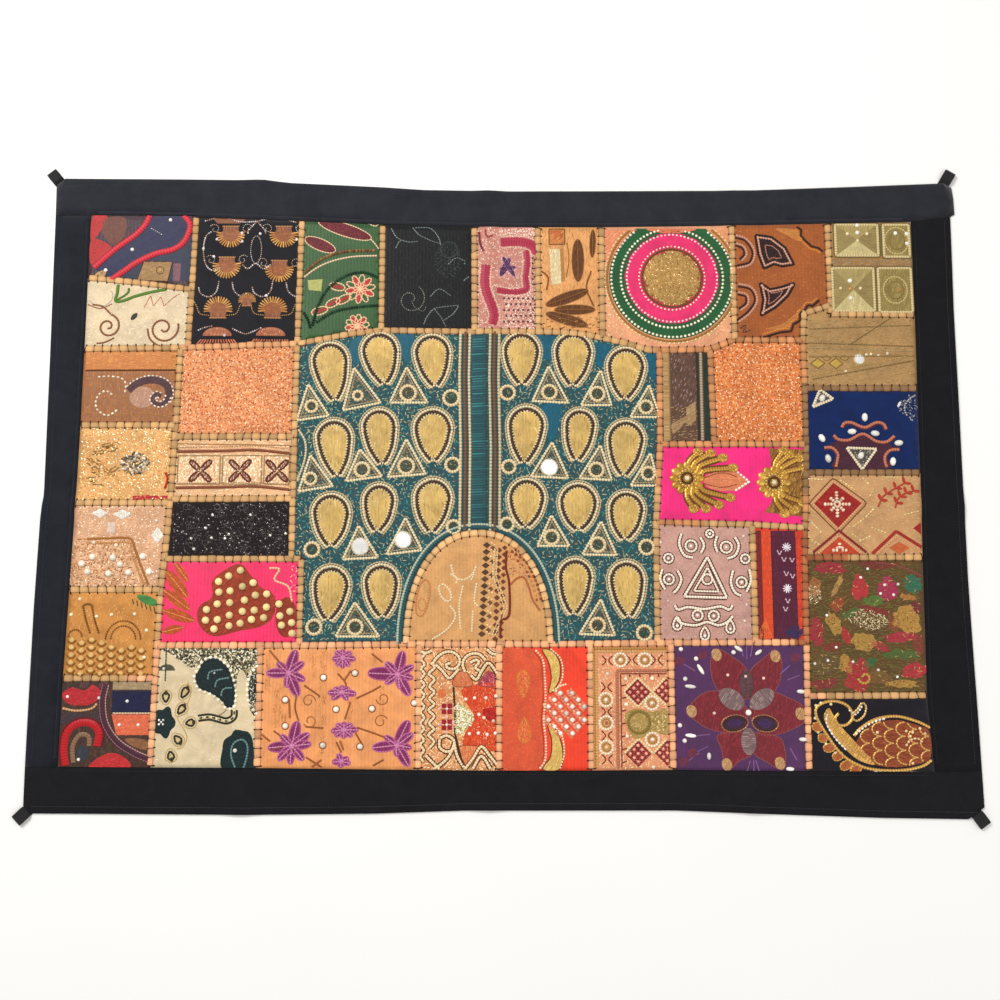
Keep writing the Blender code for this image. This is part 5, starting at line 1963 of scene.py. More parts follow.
class OliveStripe(SewnPatch):
    """Slanting rows of fine beads with two diamonds and a mirror, on olive drab."""

    def embroider(self, work: Needlework) -> None:
        """Sew the rows, the diamonds and the mirror."""
        work.seeds(box(509, 683, 168, 280), ["#a8946a", "#96825a", "#b8a67c", "#8a774e"], 4.8, 5.0, 1.5,
                   Thread.ZARI, lean=4, high=0.6)
        for start, end, tone in (((512, 262), (682, 268), "#8a774c"), ((508, 238), (684, 232), "#7f6c42"),
                                 ((508, 230), (684, 224), "#b8a67c"), ((510, 214), (684, 216), "#8a774c"),
                                 ((512, 182), (684, 218), "#c9a866"), ((514, 176), (684, 208), "#7f6c42"),
                                 ((580, 236), (650, 282), "#7f6c42"), ((508, 252), (560, 276), "#b8a67c")):
            work.links(path([start, end]), [tone], 4.0, 2.6, thread=Thread.ZARI)
        for x in (524, 554):
            work.satin(diamond(x, 203, 10, 7), ["#d9b85a", "#c9a648"], 0, 1.7, high=1.1)
            work.cord(diamond(x, 203, 12, 9), "#8a6a30", 2.2, True)
            work.cord(diamond(x + 15, 212, 8, 5), "#8a6a30", 2.0, True)
        work.mirror(593, 210, 17.0, "#cdbb86")
        work.beads([(605, 218), (613, 219), (625, 217), (640, 220), (570, 190)], "#f2e8c8", 4.5)


class BlueTriangle(SewnPatch):
    """White drops and copper cords round two pale triangles, on deep blue."""

    cords = ([(559, 94), (564, 102), (576, 103), (597, 95), (616, 103), (628, 101), (633, 91)],
             [(545, 83), (553, 75), (571, 74), (594, 84), (615, 72), (632, 71), (646, 81)],
             [(528, 61), (542, 61), (551, 51), (550, 40), (547, 28)],
             [(653, 58), (638, 57), (629, 48), (628, 38), (631, 28)])
    stones = ((598, 112, 90), (576, 88, 0), (614, 85, 170), (526, 77, 120), (652, 69, 5), (535, 43, 105),
              (641, 38, 85))

    def triangle(self, work: Needlework, corners: Points, stone: Sequence[float]) -> None:
        """One pale triangle with its stone."""
        edge = line(corners, closed=True)
        work.satin(edge, ["#2c2a34", "#b8ae98", "#3a3640"], 45, 2.0, 4, high=0.9)
        work.cord(edge, "#efe0c0", 4.4, True, high=2.0)
        work.drops([stone], 13, 10, 70, Dye.WHITE)

    def embroider(self, work: Needlework) -> None:
        """Sew the cords, the triangles, the stones and the grey cluster."""
        under = path([(545, 26), (548, 48), (538, 66), (556, 72), (592, 80), (628, 70), (642, 62), (632, 46),
                      (632, 26)], True)
        work.satin(under, ["#4a1e34", "#3c1a2e", "#562438"], 0, 2.0, high=0.6)
        for course in self.cords:
            work.cord(path(course), "#c8785a", 4.4, pinch=0.1, thread=Thread.FLOSS, high=2.2)
            work.cord(spread_line(path(course), 3.6), "#5a2430", 2.4)
        self.triangle(work, ((526, 159), (513, 129), (547, 143)), (529, 144))
        self.triangle(work, ((566, 61), (615, 59), (590, 25)), (589, 48))
        for x, y, turn in self.stones:
            work.drops([(x, y)], 15, 10, turn, Dye.WHITE)
        work.seeds(path([(654, 132), (672, 150), (684, 150), (684, 108), (668, 112)], True),
                   ["#6a6e7c", "#9a9a98", "#3c3a44"], 4.2, 5.0, 2.0, Thread.ZARI, high=1.2)
        work.drops([(656, 134)], 12, 5, 60, "#dcdad4")
        work.links(path([(684, 150), (672, 142), (664, 128), (668, 114)]), [Dye.SILVER], 4, 3)


class BeigeDiamond(SewnPatch):
    """Red diamonds and a chevron between gold bead dashes, on beige."""

    dashes = (((500, 10), (526, 8)), ((552, 8), (578, -10)), ((590, 12), (600, 0)), ((600, -20), (608, -6)),
              ((592, -54), (606, -40)), ((570, -70), (590, -56)), ((500, -58), (520, -80)),
              ((502, -90), (516, -100)), ((600, -70), (626, -80)), ((580, -94), (600, -84)),
              ((654, -50), (680, -44)), ((564, -78), (584, -92)), ((620, 12), (650, 12)))

    def embroider(self, work: Needlework) -> None:
        """Sew the diamonds, the chevron, the sprig and the dashes."""
        work.seeds(box(496, 680, -113, 14), ["#c9ad74", "#b99c60", "#d6bc88"], 5.0, 4.6, 1.5, lean=-20,
                   high=0.45)
        full = poly((547, -74), (589, -31), (542, 5), (506, -32))
        work.satin(full, ["#a81f1c", "#b82a22", "#961a18"], 45, 1.8, high=1.0)
        work.cord(full, "#dba274", 5.0, True, pinch=0.12, thread=Thread.FLOSS, high=2.0)
        work.cord(spread(full, 4.6), "#7a4424", 2.4, True)
        half = poly((510, -114), (548, -82), (586, -114))
        work.satin(half, ["#d8502a", "#c84424"], 45, 1.8, high=1.0)
        work.cord(line([(512, -114), (548, -84), (584, -114)]), "#e0a478", 4.0, thread=Thread.FLOSS, high=2.0)
        work.cord(line([(504, -112), (548, -76), (592, -112)]), "#8a1c1c", 4.4, thread=Thread.FLOSS, high=1.8)
        for middle, reach in (((546, -33), 22), ((548, -108), 13)):
            for turn in range(0, 360, 45):
                way = heading(turn)
                spot = np.array(middle, float)
                size = reach if turn % 90 == 0 else reach * 0.72
                if spot[1] + way[1] * size > -114:
                    work.links(line([spot + way * 2, spot + way * size]), ["#f4dcc4", "#f0cdb0"], 5.0, 6.4)
        work.cord(line([(600, -114), (641, -77), (682, -103)]), "#a8281e", 6.0, pinch=0.1,
                  thread=Thread.FLOSS, high=1.8)
        work.cord(line([(606, -116), (641, -86), (682, -112)]), "#e0a274", 3.4)
        work.satin(diamond(645, -104, 17, 10), ["#d8703a", "#c4582c"], 45, 1.8, high=1.0)
        work.satin(poly((682, -62), (669, -72), (682, -82)), ["#a8201e"], 90, 1.7, high=1.0)
        for stem in ([(612, -38), (622, -20), (640, -8), (662, 4)],
                     [(640, -40), (646, -24), (660, -14), (676, -10)]):
            work.cord(path(stem), "#b8402c", 3.0, thread=Thread.FLOSS)
            for share in (0.2, 0.45, 0.7, 0.95):
                spot = path(stem)[int(share * (len(path(stem)) - 1))]
                for side in (60, -50):
                    way = heading(45 + side)
                    work.satin(leaf(spot, spot + way * 11, 5, 0.9), ["#c8442c", "#b0341f"], 45 + side, 1.8)
        for start, end in self.dashes:
            work.links(line([start, end]), ["#f0dba0", "#e6c980"], 5.0, 3.2)


class GreenLeaf(SewnPatch):
    """Printed blots of red, mustard and silver on olive green, with a few beads."""

    blots = (
        (531, -137, 50, 18, -3, "#a8283a"), (541, -166, 9, 40, -28, "#b98a52"),
        (578, -168, 27, 38, 0, "#c4303c"), (623, -171, 34, 36, 10, "#b02a54"),
        (664, -163, 32, 26, -20, "#2f7058"), (655, -184, 28, 9, -8, "#b8783c"),
        (653, -219, 48, 42, 0, "#c08f42"), (506, -238, 24, 44, 0, "#a42c3a"),
        (533, -226, 20, 38, 25, "#b88c44"), (553, -246, 13, 30, 20, "#b83034"),
        (580, -256, 38, 30, -15, "#b98e42"), (640, -248, 60, 15, 2, "#b42c40"),
        (569, -309, 40, 50, 0, "#b02c34"), (659, -302, 42, 26, 8, "#bc2c3c"),
        (600, -190, 34, 16, 10, "#5a7a34"), (640, -275, 60, 14, 0, "#4f6a30"),
        (520, -290, 44, 36, 0, "#6a5430"), (560, -210, 30, 12, 30, "#4f6a30"),
        (610, -132, 70, 12, -2, "#7a3428"), (505, -168, 22, 30, 0, "#a86a3c"),
        (600, -205, 44, 12, -12, "#8a2c2c"), (530, -262, 34, 12, 12, "#8a3028"),
        (630, -226, 20, 30, 10, "#8a4a2c"), (606, -262, 34, 14, -25, "#a83038"),
        (550, -290, 22, 30, 14, "#b8863c"), (606, -312, 40, 24, -5, "#7c5a2c"),
        (668, -260, 18, 34, 0, "#8a3a2c"), (516, -322, 44, 16, 6, "#8a2c30"),
        (640, -322, 52, 12, -4, "#b88a40"), (540, -196, 18, 26, -30, "#a04a2c"),
        (590, -288, 22, 16, 20, "#3f6a3a"), (668, -200, 16, 22, 0, "#7a2c30"))

    def embroider(self, work: Needlework) -> None:
        """Sew the blots and the beads."""
        work.seeds(box(494, 676, -334, -127), ["#5a6228", "#66702e", "#4c5a28", "#7a5e34", "#6e6a30"], 5.0,
                   6.0, 2.2, lean=5, high=0.5)
        for x, y, wide, tall, tilt, tone in self.blots:
            turns = np.radians(np.arange(0, 360, 20))
            rough = work.random.uniform(0.78, 1.2, len(turns))[:, None]
            ring = np.stack((np.cos(turns) * wide / 2, np.sin(turns) * tall / 2), 1) * rough
            lean = math.radians(tilt)
            ring = ring @ np.array(((math.cos(lean), math.sin(lean)), (-math.sin(lean), math.cos(lean))))
            blot = path(ring + (x, y), True)
            work.satin(blot, [tone], 12, 2.2, 7, high=0.6)
            work.seeds(blot, ["#6a3c24", tone, "#c89a5c"], 7.0, 6.0, 2.0, high=0.8)
        for x, y, wide, tall, tilt in ((590, -220, 64, 32, -8), (502, -180, 26, 30, 0)):
            work.seeds(oval(x, y, wide / 2, tall / 2, tilt), ["#b8a080", "#d8c8a4", "#8f7a5c", "#cdb890"],
                       3.4, 4.6, 2.0, Thread.ZARI, high=1.2)
        work.cord(spiral(580, -312, 11, 1.0, 180, 0.3), "#c89a48", 5.0, thread=Thread.FLOSS)
        work.beads([(523, -213), (618, -164), (632, -180), (611, -178), (522, -285), (501, -290),
                    (562, -287), (602, -300), (632, -311), (536, -264), (592, -138), (580, -152),
                    (640, -163)], Dye.WHITE, 5.0)
        work.cord(path([(604, -128), (640, -133), (680, -150)]), "#8a4a44", 3.0)


class BlackPaisley(SewnPatch):
    """One large gold paisley with scales, a curled neck and beads, on black."""

    outer = ((558, -404), (572, -390), (596, -377), (628, -373), (660, -381), (681, -391))
    below = ((681, -441), (664, -451), (632, -457), (590, -456), (562, -448), (536, -430), (512, -396),
             (500, -372), (502, -358), (518, -350), (536, -350), (552, -358), (558, -374), (548, -386),
             (534, -386), (530, -376), (536, -368))

    def embroider(self, work: Needlework) -> None:
        """Sew the body with its scales, the neck, the petals and the beads."""
        body = path([(560, -424), (572, -398), (596, -383), (628, -379), (664, -388), (679, -398),
                     (679, -436), (656, -448), (620, -452), (584, -446)], True)
        work.satin(body, ["#944020", "#ad5628", "#7e3014"], -10, 1.9, high=0.8)
        for row, x in enumerate(range(584, 684, 19)):
            for y in range(-448 + row % 2 * 11, -380, 22):
                scale = oval(x, y, 15, 11, 0, 90, 270)
                scale = scale[inside(scale, body)]
                if len(scale) > 4:
                    work.cord(scale, "#e4b268", 3.0, thread=Thread.ZARI, high=1.8)
        neck = path([(520, -360), (512, -376), (524, -400), (544, -424), (566, -442), (590, -448),
                     (576, -430), (556, -408), (540, -390), (528, -372)], True)
        work.satin(neck, ["#d4a050", "#bc883c", "#e6ba6c"], 60, 1.9, high=0.9, thread=Thread.ZARI)
        for course in (self.outer, self.below):
            work.cord(path(course), "#e4b464", 4.6, pinch=0.15, thread=Thread.ZARI, high=2.4)
        work.cord(path([(516, -362), (526, -386), (544, -412), (566, -434)]), "#e0b468", 3.4,
                  thread=Thread.ZARI)
        head = path([(556, -372), (566, -362), (574, -352), (580, -358), (576, -372), (564, -380)], True)
        work.cord(head, "#e0b878", 3.6, True, thread=Thread.ZARI)
        work.links(path([(552, -362), (562, -370), (570, -362), (574, -356)]), [Dye.WHITE], 5, 4)
        for tip, far in (((494, -386), (508, -394)), ((502, -406), (516, -408)), ((510, -424), (528, -420)),
                         ((524, -438), (540, -432)), ((536, -454), (554, -444)), ((552, -461), (568, -450))):
            work.satin(leaf(tip, far, 11, 0.8), ["#b0562c", "#c4703a"], 45, 1.7, high=1.0)
            work.cord(leaf(tip, far, 13, 0.8), "#d2a052", 2.6, True, thread=Thread.ZARI)
        work.links(path([(560, -402), (575, -390), (592, -381), (610, -376)]), [Dye.WHITE, "#f0d8a8"], 6, 5)
        work.links(line([(588, -459), (672, -461)]), [Dye.WHITE, "#f0d8a8"], 7, 4)
        work.links(path([(518, -368), (516, -384), (528, -406), (546, -426)]), [Dye.WHITE], 6, 3.6)
        work.links(path([(640, -420), (648, -410), (660, -408), (668, -414)]), ["#f0cfa0"], 6, 4.4)
        work.beads([(642, -396), (648, -404), (652, -398), (664, -392), (672, -400), (650, -446),
                    (596, -398), (500, -356), (508, -352), (524, -354), (498, -376), (502, -398),
                    (514, -416), (528, -430)], "#f4dcae", 5.0)


class DarkStrip(SewnPatch):
    """A dark strip between a tan ladder of braid and a green one with a cream line."""

    def embroider(self, work: Needlework) -> None:
        """Sew the ladder, the strip's faint pattern and the line."""
        work.satin(box(266, 277, 72, 222), ["#c4a070", "#b08a58"], 0, 2.6, 12, high=1.1)
        work.cord(line([(278, 72), (278, 222)]), "#8a6a40", 2.6)
        work.seeds(box(280, 323, 130, 220), ["#383230", "#6a5c5a", "#443a38", "#948488"], 4.8, 5.4, 1.9,
                   lean=70)
        work.seeds(box(280, 323, 72, 130), ["#8c7250", "#a08862", "#5c4c3e"], 4.8, 5.4, 2.4, lean=20)
        arrow = line([(281, 84), (278, 98), (291, 107), (304, 113), (304, 128), (320, 139), (320, 107),
                      (310, 98), (301, 103), (293, 92)], closed=True)
        work.satin(arrow, ["#a8865c", "#c09c70"], 30, 1.9, high=1.0)
        work.satin(box(334, 343, 73, 220), ["#22382c", "#1c3026"], 90, 2.0, 10)
        work.cord(line([(330, 72), (330, 222)]), "#b4a48c", 4.6)
        work.cord(line([(324, 72), (324, 222)]), "#2a3028", 4.0)


class PinkSunflower(SewnPatch):
    """Two gold scalloped discs with club petals and a white chevron, on bright pink."""

    petals = ((322, 54), (342, 52), (362, 44), (378, 27), (372, -22), (353, -34), (332, -40), (312, -40))

    def flower(self, work: Needlework, x: float, y: float, tips: Points) -> None:
        """One disc with petals from it to the given tips.

        Args:
            work: the patch's needlework.
            x: the disc's middle.
            y: the same.
            tips: where the petals end.
        """
        middle = np.array((x, y))
        for tip in tips:
            end = np.array(tip, float)
            bend = (middle + end) / 2 + np.array((-6.0, 5.0 * np.sign(end[1] - y)))
            course = path([middle + (end - middle) * 0.3, bend, end])
            work.cord(course, "#6a3a12", 14.0, pinch=0.0, thread=Thread.FLOSS, high=1.2)
            work.cord(course, "#d3a04a", 9.0, pinch=0.08, thread=Thread.ZARI, high=2.8)
            work.satin(oval(*end, 8.5, 7.5), ["#e0b45e", "#c9963e"], 60, 1.8, high=2.0, thread=Thread.ZARI)
        turns = np.radians(np.arange(0, 360, 30))
        work.forms(BEAD_FORM, middle + 21 * rays(turns), turns, 8.5, 6.5,
                   2.6, ["#d8ac54", "#c9983f"], Thread.ZARI)
        work.satin(oval(x, y, 20), ["#d2a248", "#c0903a", "#e0b862"], 20, 1.9, 6, high=2.4,
                   thread=Thread.ZARI)
        work.cord(oval(x, y, 8.5), "#5a3010", 4.0, True, base=1.6)
        work.links(oval(x, y, 13.5), ["#e8c67e"], 5, 4, True, Thread.ZARI, base=1.8)
        work.forms(BEAD_FORM, np.array([(x, y)]), 0.0, 4.4, 4.4, 5.0, ["#f0e4c8"], Thread.BEAD, 1.0)

    def embroider(self, work: Needlework) -> None:
        """Sew the flowers, the cone and the chevron."""
        cone = leaf((330, 6), (401, 4), 32, 0.9)
        work.satin(cone, ["#f0956a", "#e68458"], 0, 1.8, high=0.9)
        for rise in (14, -10):
            work.cord(path([(330, 5 + rise * 0.4), (360, 5 + rise), (385, 5 + rise * 0.5)]), "#8a4420", 2.6)
        work.satin(poly((438, 60), (446, 20), (440, -30), (428, -46), (494, -54), (496, 58)),
                   ["#8a5a22", "#a87430", "#6a4018", "#c09040"], 70, 2.2, 8, high=0.7)
        self.flower(work, 303, 10, self.petals)
        self.flower(work, 445, 3, ((472, 50), (488, 44), (495, 28), (462, 56), (490, -30), (476, -42),
                                   (460, -48)))
        work.links(line([(384, 21), (404, 4), (380, -11)]), [Dye.WHITE], 6.0, 4.6)


class LavenderCord(SewnPatch):
    """Cream cord with painted brown shadow along its edges, in a triangle, rings and brackets, on dusty
    lavender.
    """

    rings = ((307, -101, 9), (364, -103, 9), (270, -155, 8), (387, -160, 8), (270, -121, 7), (394, -122, 7),
             (338, -81, 6), (315, -213, 8), (341, -214, 8))
    brackets = (
        [(292, -80), (288, -98), (296, -116), (310, -120)],
        [(322, -86), (328, -100), (322, -114)],
        [(378, -86), (384, -100), (378, -116), (364, -122)],
        [(350, -84), (346, -98), (350, -112)],
        [(260, -138), (256, -155), (264, -172)],
        [(284, -140), (290, -155), (284, -170), (276, -178)],
        [(400, -138), (402, -158), (394, -176)],
        [(374, -140), (370, -160), (376, -176), (386, -182)],
        [(278, -196), (284, -204), (300, -200), (326, -203), (352, -199), (366, -204), (372, -196)],
        [(278, -216), (290, -226), (312, -229), (330, -224), (348, -229), (362, -224), (372, -214)])

    def cream_cord(self, work: Needlework, course: Path, closed: bool = False, wide: float = 3.6) -> None:
        """A cream cord over a wider brown one, whose edges are painted shadow beside the cream."""
        work.cord(course, "#5c3024", wide + 5.4, closed, pinch=0.0, high=0.9)
        work.cord(course, "#fff2de", wide + 0.8, closed, pinch=0.14, high=2.4)

    def embroider(self, work: Needlework) -> None:
        """Sew the triangle, the rings, the brackets and the pendants."""
        work.seeds(box(257, 402, -250, -72), ["#c4a09c", "#b48e8e", "#d4b4ac", "#c9a8a8"], 4.4, 4.0, 1.5,
                   high=0.6)
        self.cream_cord(work, poly((333, -119), (294, -183), (363, -185)), True, 4.2)
        self.cream_cord(work, poly((333, -136), (310, -174), (350, -175)), True, 2.4)
        for x, y, reach in self.rings:
            self.cream_cord(work, oval(x, y, reach), True, 2.8)
            work.beads([(x, y)], Dye.WHITE, 5.0)
        for course in self.brackets:
            self.cream_cord(work, path(course), False, 3.4)
        self.cream_cord(work, oval(332, -155, 8), True, 2.6)
        for x, y in ((282, -227), (367, -232), (326, -243)):
            self.cream_cord(work, drop((x, y + 12), (x, y - 9), 13), True, 2.6)
            work.beads([(x, y - 3)], Dye.WHITE, 5.0)
        work.beads([(258, -95), (392, -85), (268, -190), (394, -196), (390, -222)], "#efe0d0", 4.5)


class StripedBand(SewnPatch):
    """Stripes of maroon, orange and purple with white star stitches."""

    def embroider(self, work: Needlework) -> None:
        """Sew the stripes, the stars and the marks."""
        for left, right, tones in ((413, 421, ["#7a1c20", "#8a2424"]), (421, 437, ["#f0562c", "#e64a24"]),
                                   (437, 476, ["#5c1838", "#6a1c3c", "#4e1632"]),
                                   (476, 487, ["#e84a2a", "#d63c24"])):
            work.satin(box(left, right, -252, -76), tones, 90, 1.9, 11, high=0.8)
        work.cord(line([(437, -76), (437, -252)]), "#3a1020", 2.2)
        work.cord(line([(476, -76), (476, -252)]), "#3a1020", 2.2)
        for x, y in ((462, -103), (461, -170)):
            for turn in range(0, 180, 36):
                way = heading(turn) * 8
                spot = np.array((x, y))
                work.stitches((spot - way)[None], (spot + way)[None], ["#efe6f0"], 1.9, 1.8, base=0.5)
        for x, y in ((457, -123), (470, -124), (460, -146), (457, -203), (461, -190), (450, -112),
                     (470, -150)):
            work.cord(line([(x - 4, y + 5), (x, y - 4), (x + 4, y + 4)]), "#d8b8c4", 1.8, base=0.5)
        work.satin(poly((425, -215), (437, -250), (413, -252), (413, -238)), ["#f27a34"], 45, 1.9)
        work.satin(poly((487, -205), (487, -252), (462, -252)), ["#f0662e", "#c8402a"], 60, 1.9)
        for turn in (80, 110, 140, 50):
            way = heading(turn)
            spot = np.array((472, -250.0))
            work.satin(leaf(spot, spot + way * 22, 8, 0.9), ["#3a2a5a"], turn, 1.7, high=1.4)


class PeachFlower(SewnPatch):
    """Purple petals in groups, brown vines with curls and pearls, on peach."""

    #: the middle of each flower, and the tips of its petals
    flowers = (
        ((-340, -305), (-329, -269), (-316, -288), (-314, -316), (-324, -341), (-343, -327), (-375, -305),
         (-358, -288)),
        ((-166, -307), (-158, -271), (-141, -294), (-142, -313), (-147, -340), (-162, -329), (-185, -322),
         (-213, -305), (-185, -288)),
        ((-332, -419), (-324, -381), (-305, -400), (-302, -416), (-313, -441), (-334, -447), (-353, -441),
         (-369, -422), (-350, -402)),
        ((-166, -418), (-148, -380), (-141, -400), (-143, -422), (-147, -450), (-166, -435), (-204, -422),
         (-185, -404)),
        ((-254, -280), (-270, -283), (-266, -271), (-254, -268), (-240, -272), (-234, -283), (-243, -294),
         (-254, -297), (-264, -293)),
        ((-254, -335), (-276, -336), (-267, -329), (-254, -325), (-242, -329), (-232, -338), (-245, -347),
         (-270, -346)),
        ((-250, -394), (-270, -396), (-262, -385), (-250, -382), (-237, -385), (-228, -394), (-237, -404),
         (-250, -407), (-264, -404)),
        ((-254, -443), (-267, -444), (-258, -431), (-242, -438), (-239, -446), (-254, -452)))
    vines = ([(-362, -279), (-345, -300)], [(-315, -324), (-290, -341), (-292, -342)],
             [(-326, -336), (-328, -360), (-322, -380)], [(-262, -305), (-249, -320), (-248, -330)],
             [(-232, -345), (-208, -334), (-192, -325)], [(-240, -350), (-249, -378)],
             [(-312, -389), (-285, -391), (-282, -391)], [(-362, -424), (-345, -420)],
             [(-230, -390), (-206, -398), (-184, -406)], [(-232, -398), (-220, -418)],
             [(-262, -412), (-253, -430)], [(-310, -436), (-284, -452)], [(-208, -274), (-190, -288)],
             [(-204, -450), (-186, -440)], [(-362, -395), (-348, -405)])
    pearls = ((-284, -312), (-234, -305), (-344, -347), (-263, -362), (-206, -361), (-343, -388),
              (-139, -352), (-283, -418), (-224, -420))

    def flower(self, work: Needlework, middle: Sequence[float], tips: Points) -> None:
        """One flower of pointed petals, each with a pale edge and a pale vein."""
        for number, tip in enumerate(tips):
            long = math.dist(middle, tip)
            petal = leaf(middle, tip, max(9.0, long * 0.42), 0.9)
            turn = math.degrees(math.atan2(tip[1] - middle[1], tip[0] - middle[0]))
            work.satin(petal, ["#8c2a64", "#7a2058", "#9e3a74"], turn + 70, 1.8, 6, high=0.8)
            work.cord(petal, "#c870a2" if number % 2 else "#b85c92", 2.4, True, thread=Thread.FLOSS, base=0.2)
            work.cord(line([middle, tip]), "#d890b8", 1.8, thread=Thread.FLOSS, base=0.8)
        work.beads([middle], "#d890b8", 4.5, Thread.FLOSS)

    def embroider(self, work: Needlework) -> None:
        """Sew the folds' soft shade, the vines, the curls, the flowers and the pearls."""
        for x, low, top, wide in ((-284, -390, -268, 5), (-352, -385, -330, 9), (-204, -300, -266, 4),
                                  (-240, -400, -350, 4), (-190, -372, -330, 4), (-284, -430, -400, 4),
                                  (-372, -330, -280, 4), (-300, -310, -280, 3)):
            work.seeds(path([(x - wide, low), (x, low - 4), (x + wide, low), (x + wide, top), (x, top + 4),
                             (x - wide, top)], True),
                       ["#c07a40", "#cc8850", "#b47038"], 2.6, 9.0, 2.4, lean=88, high=0.3)
        for course in ([(-372, -268), (-358, -284)], [(-382, -400), (-366, -412)],
                       [(-240, -300), (-252, -318)], [(-338, -345), (-336, -376)],
                       [(-300, -452), (-284, -440)], [(-256, -410), (-250, -426)]):
            work.cord(path(course), "#a8622e", 3.4, thread=Thread.FLOSS)
        for course in self.vines:
            work.cord(path(course), "#96542a", 3.0, thread=Thread.FLOSS)
        for x, y, turn in ((-307, -349, 0), (-304, -380, 200), (-189, -345, 180), (-192, -381, 20)):
            work.cord(spiral(x, y, 11, 1.1, turn, 0.35), "#a8672f", 2.4, thread=Thread.FLOSS)
        for middle, *tips in self.flowers:
            self.flower(work, middle, tips)
        work.beads(self.pearls, Dye.WHITE, 9.5)
        for x, y in self.pearls:
            work.cord(oval(x, y, 5.6), "#8a5428", 1.8, True)


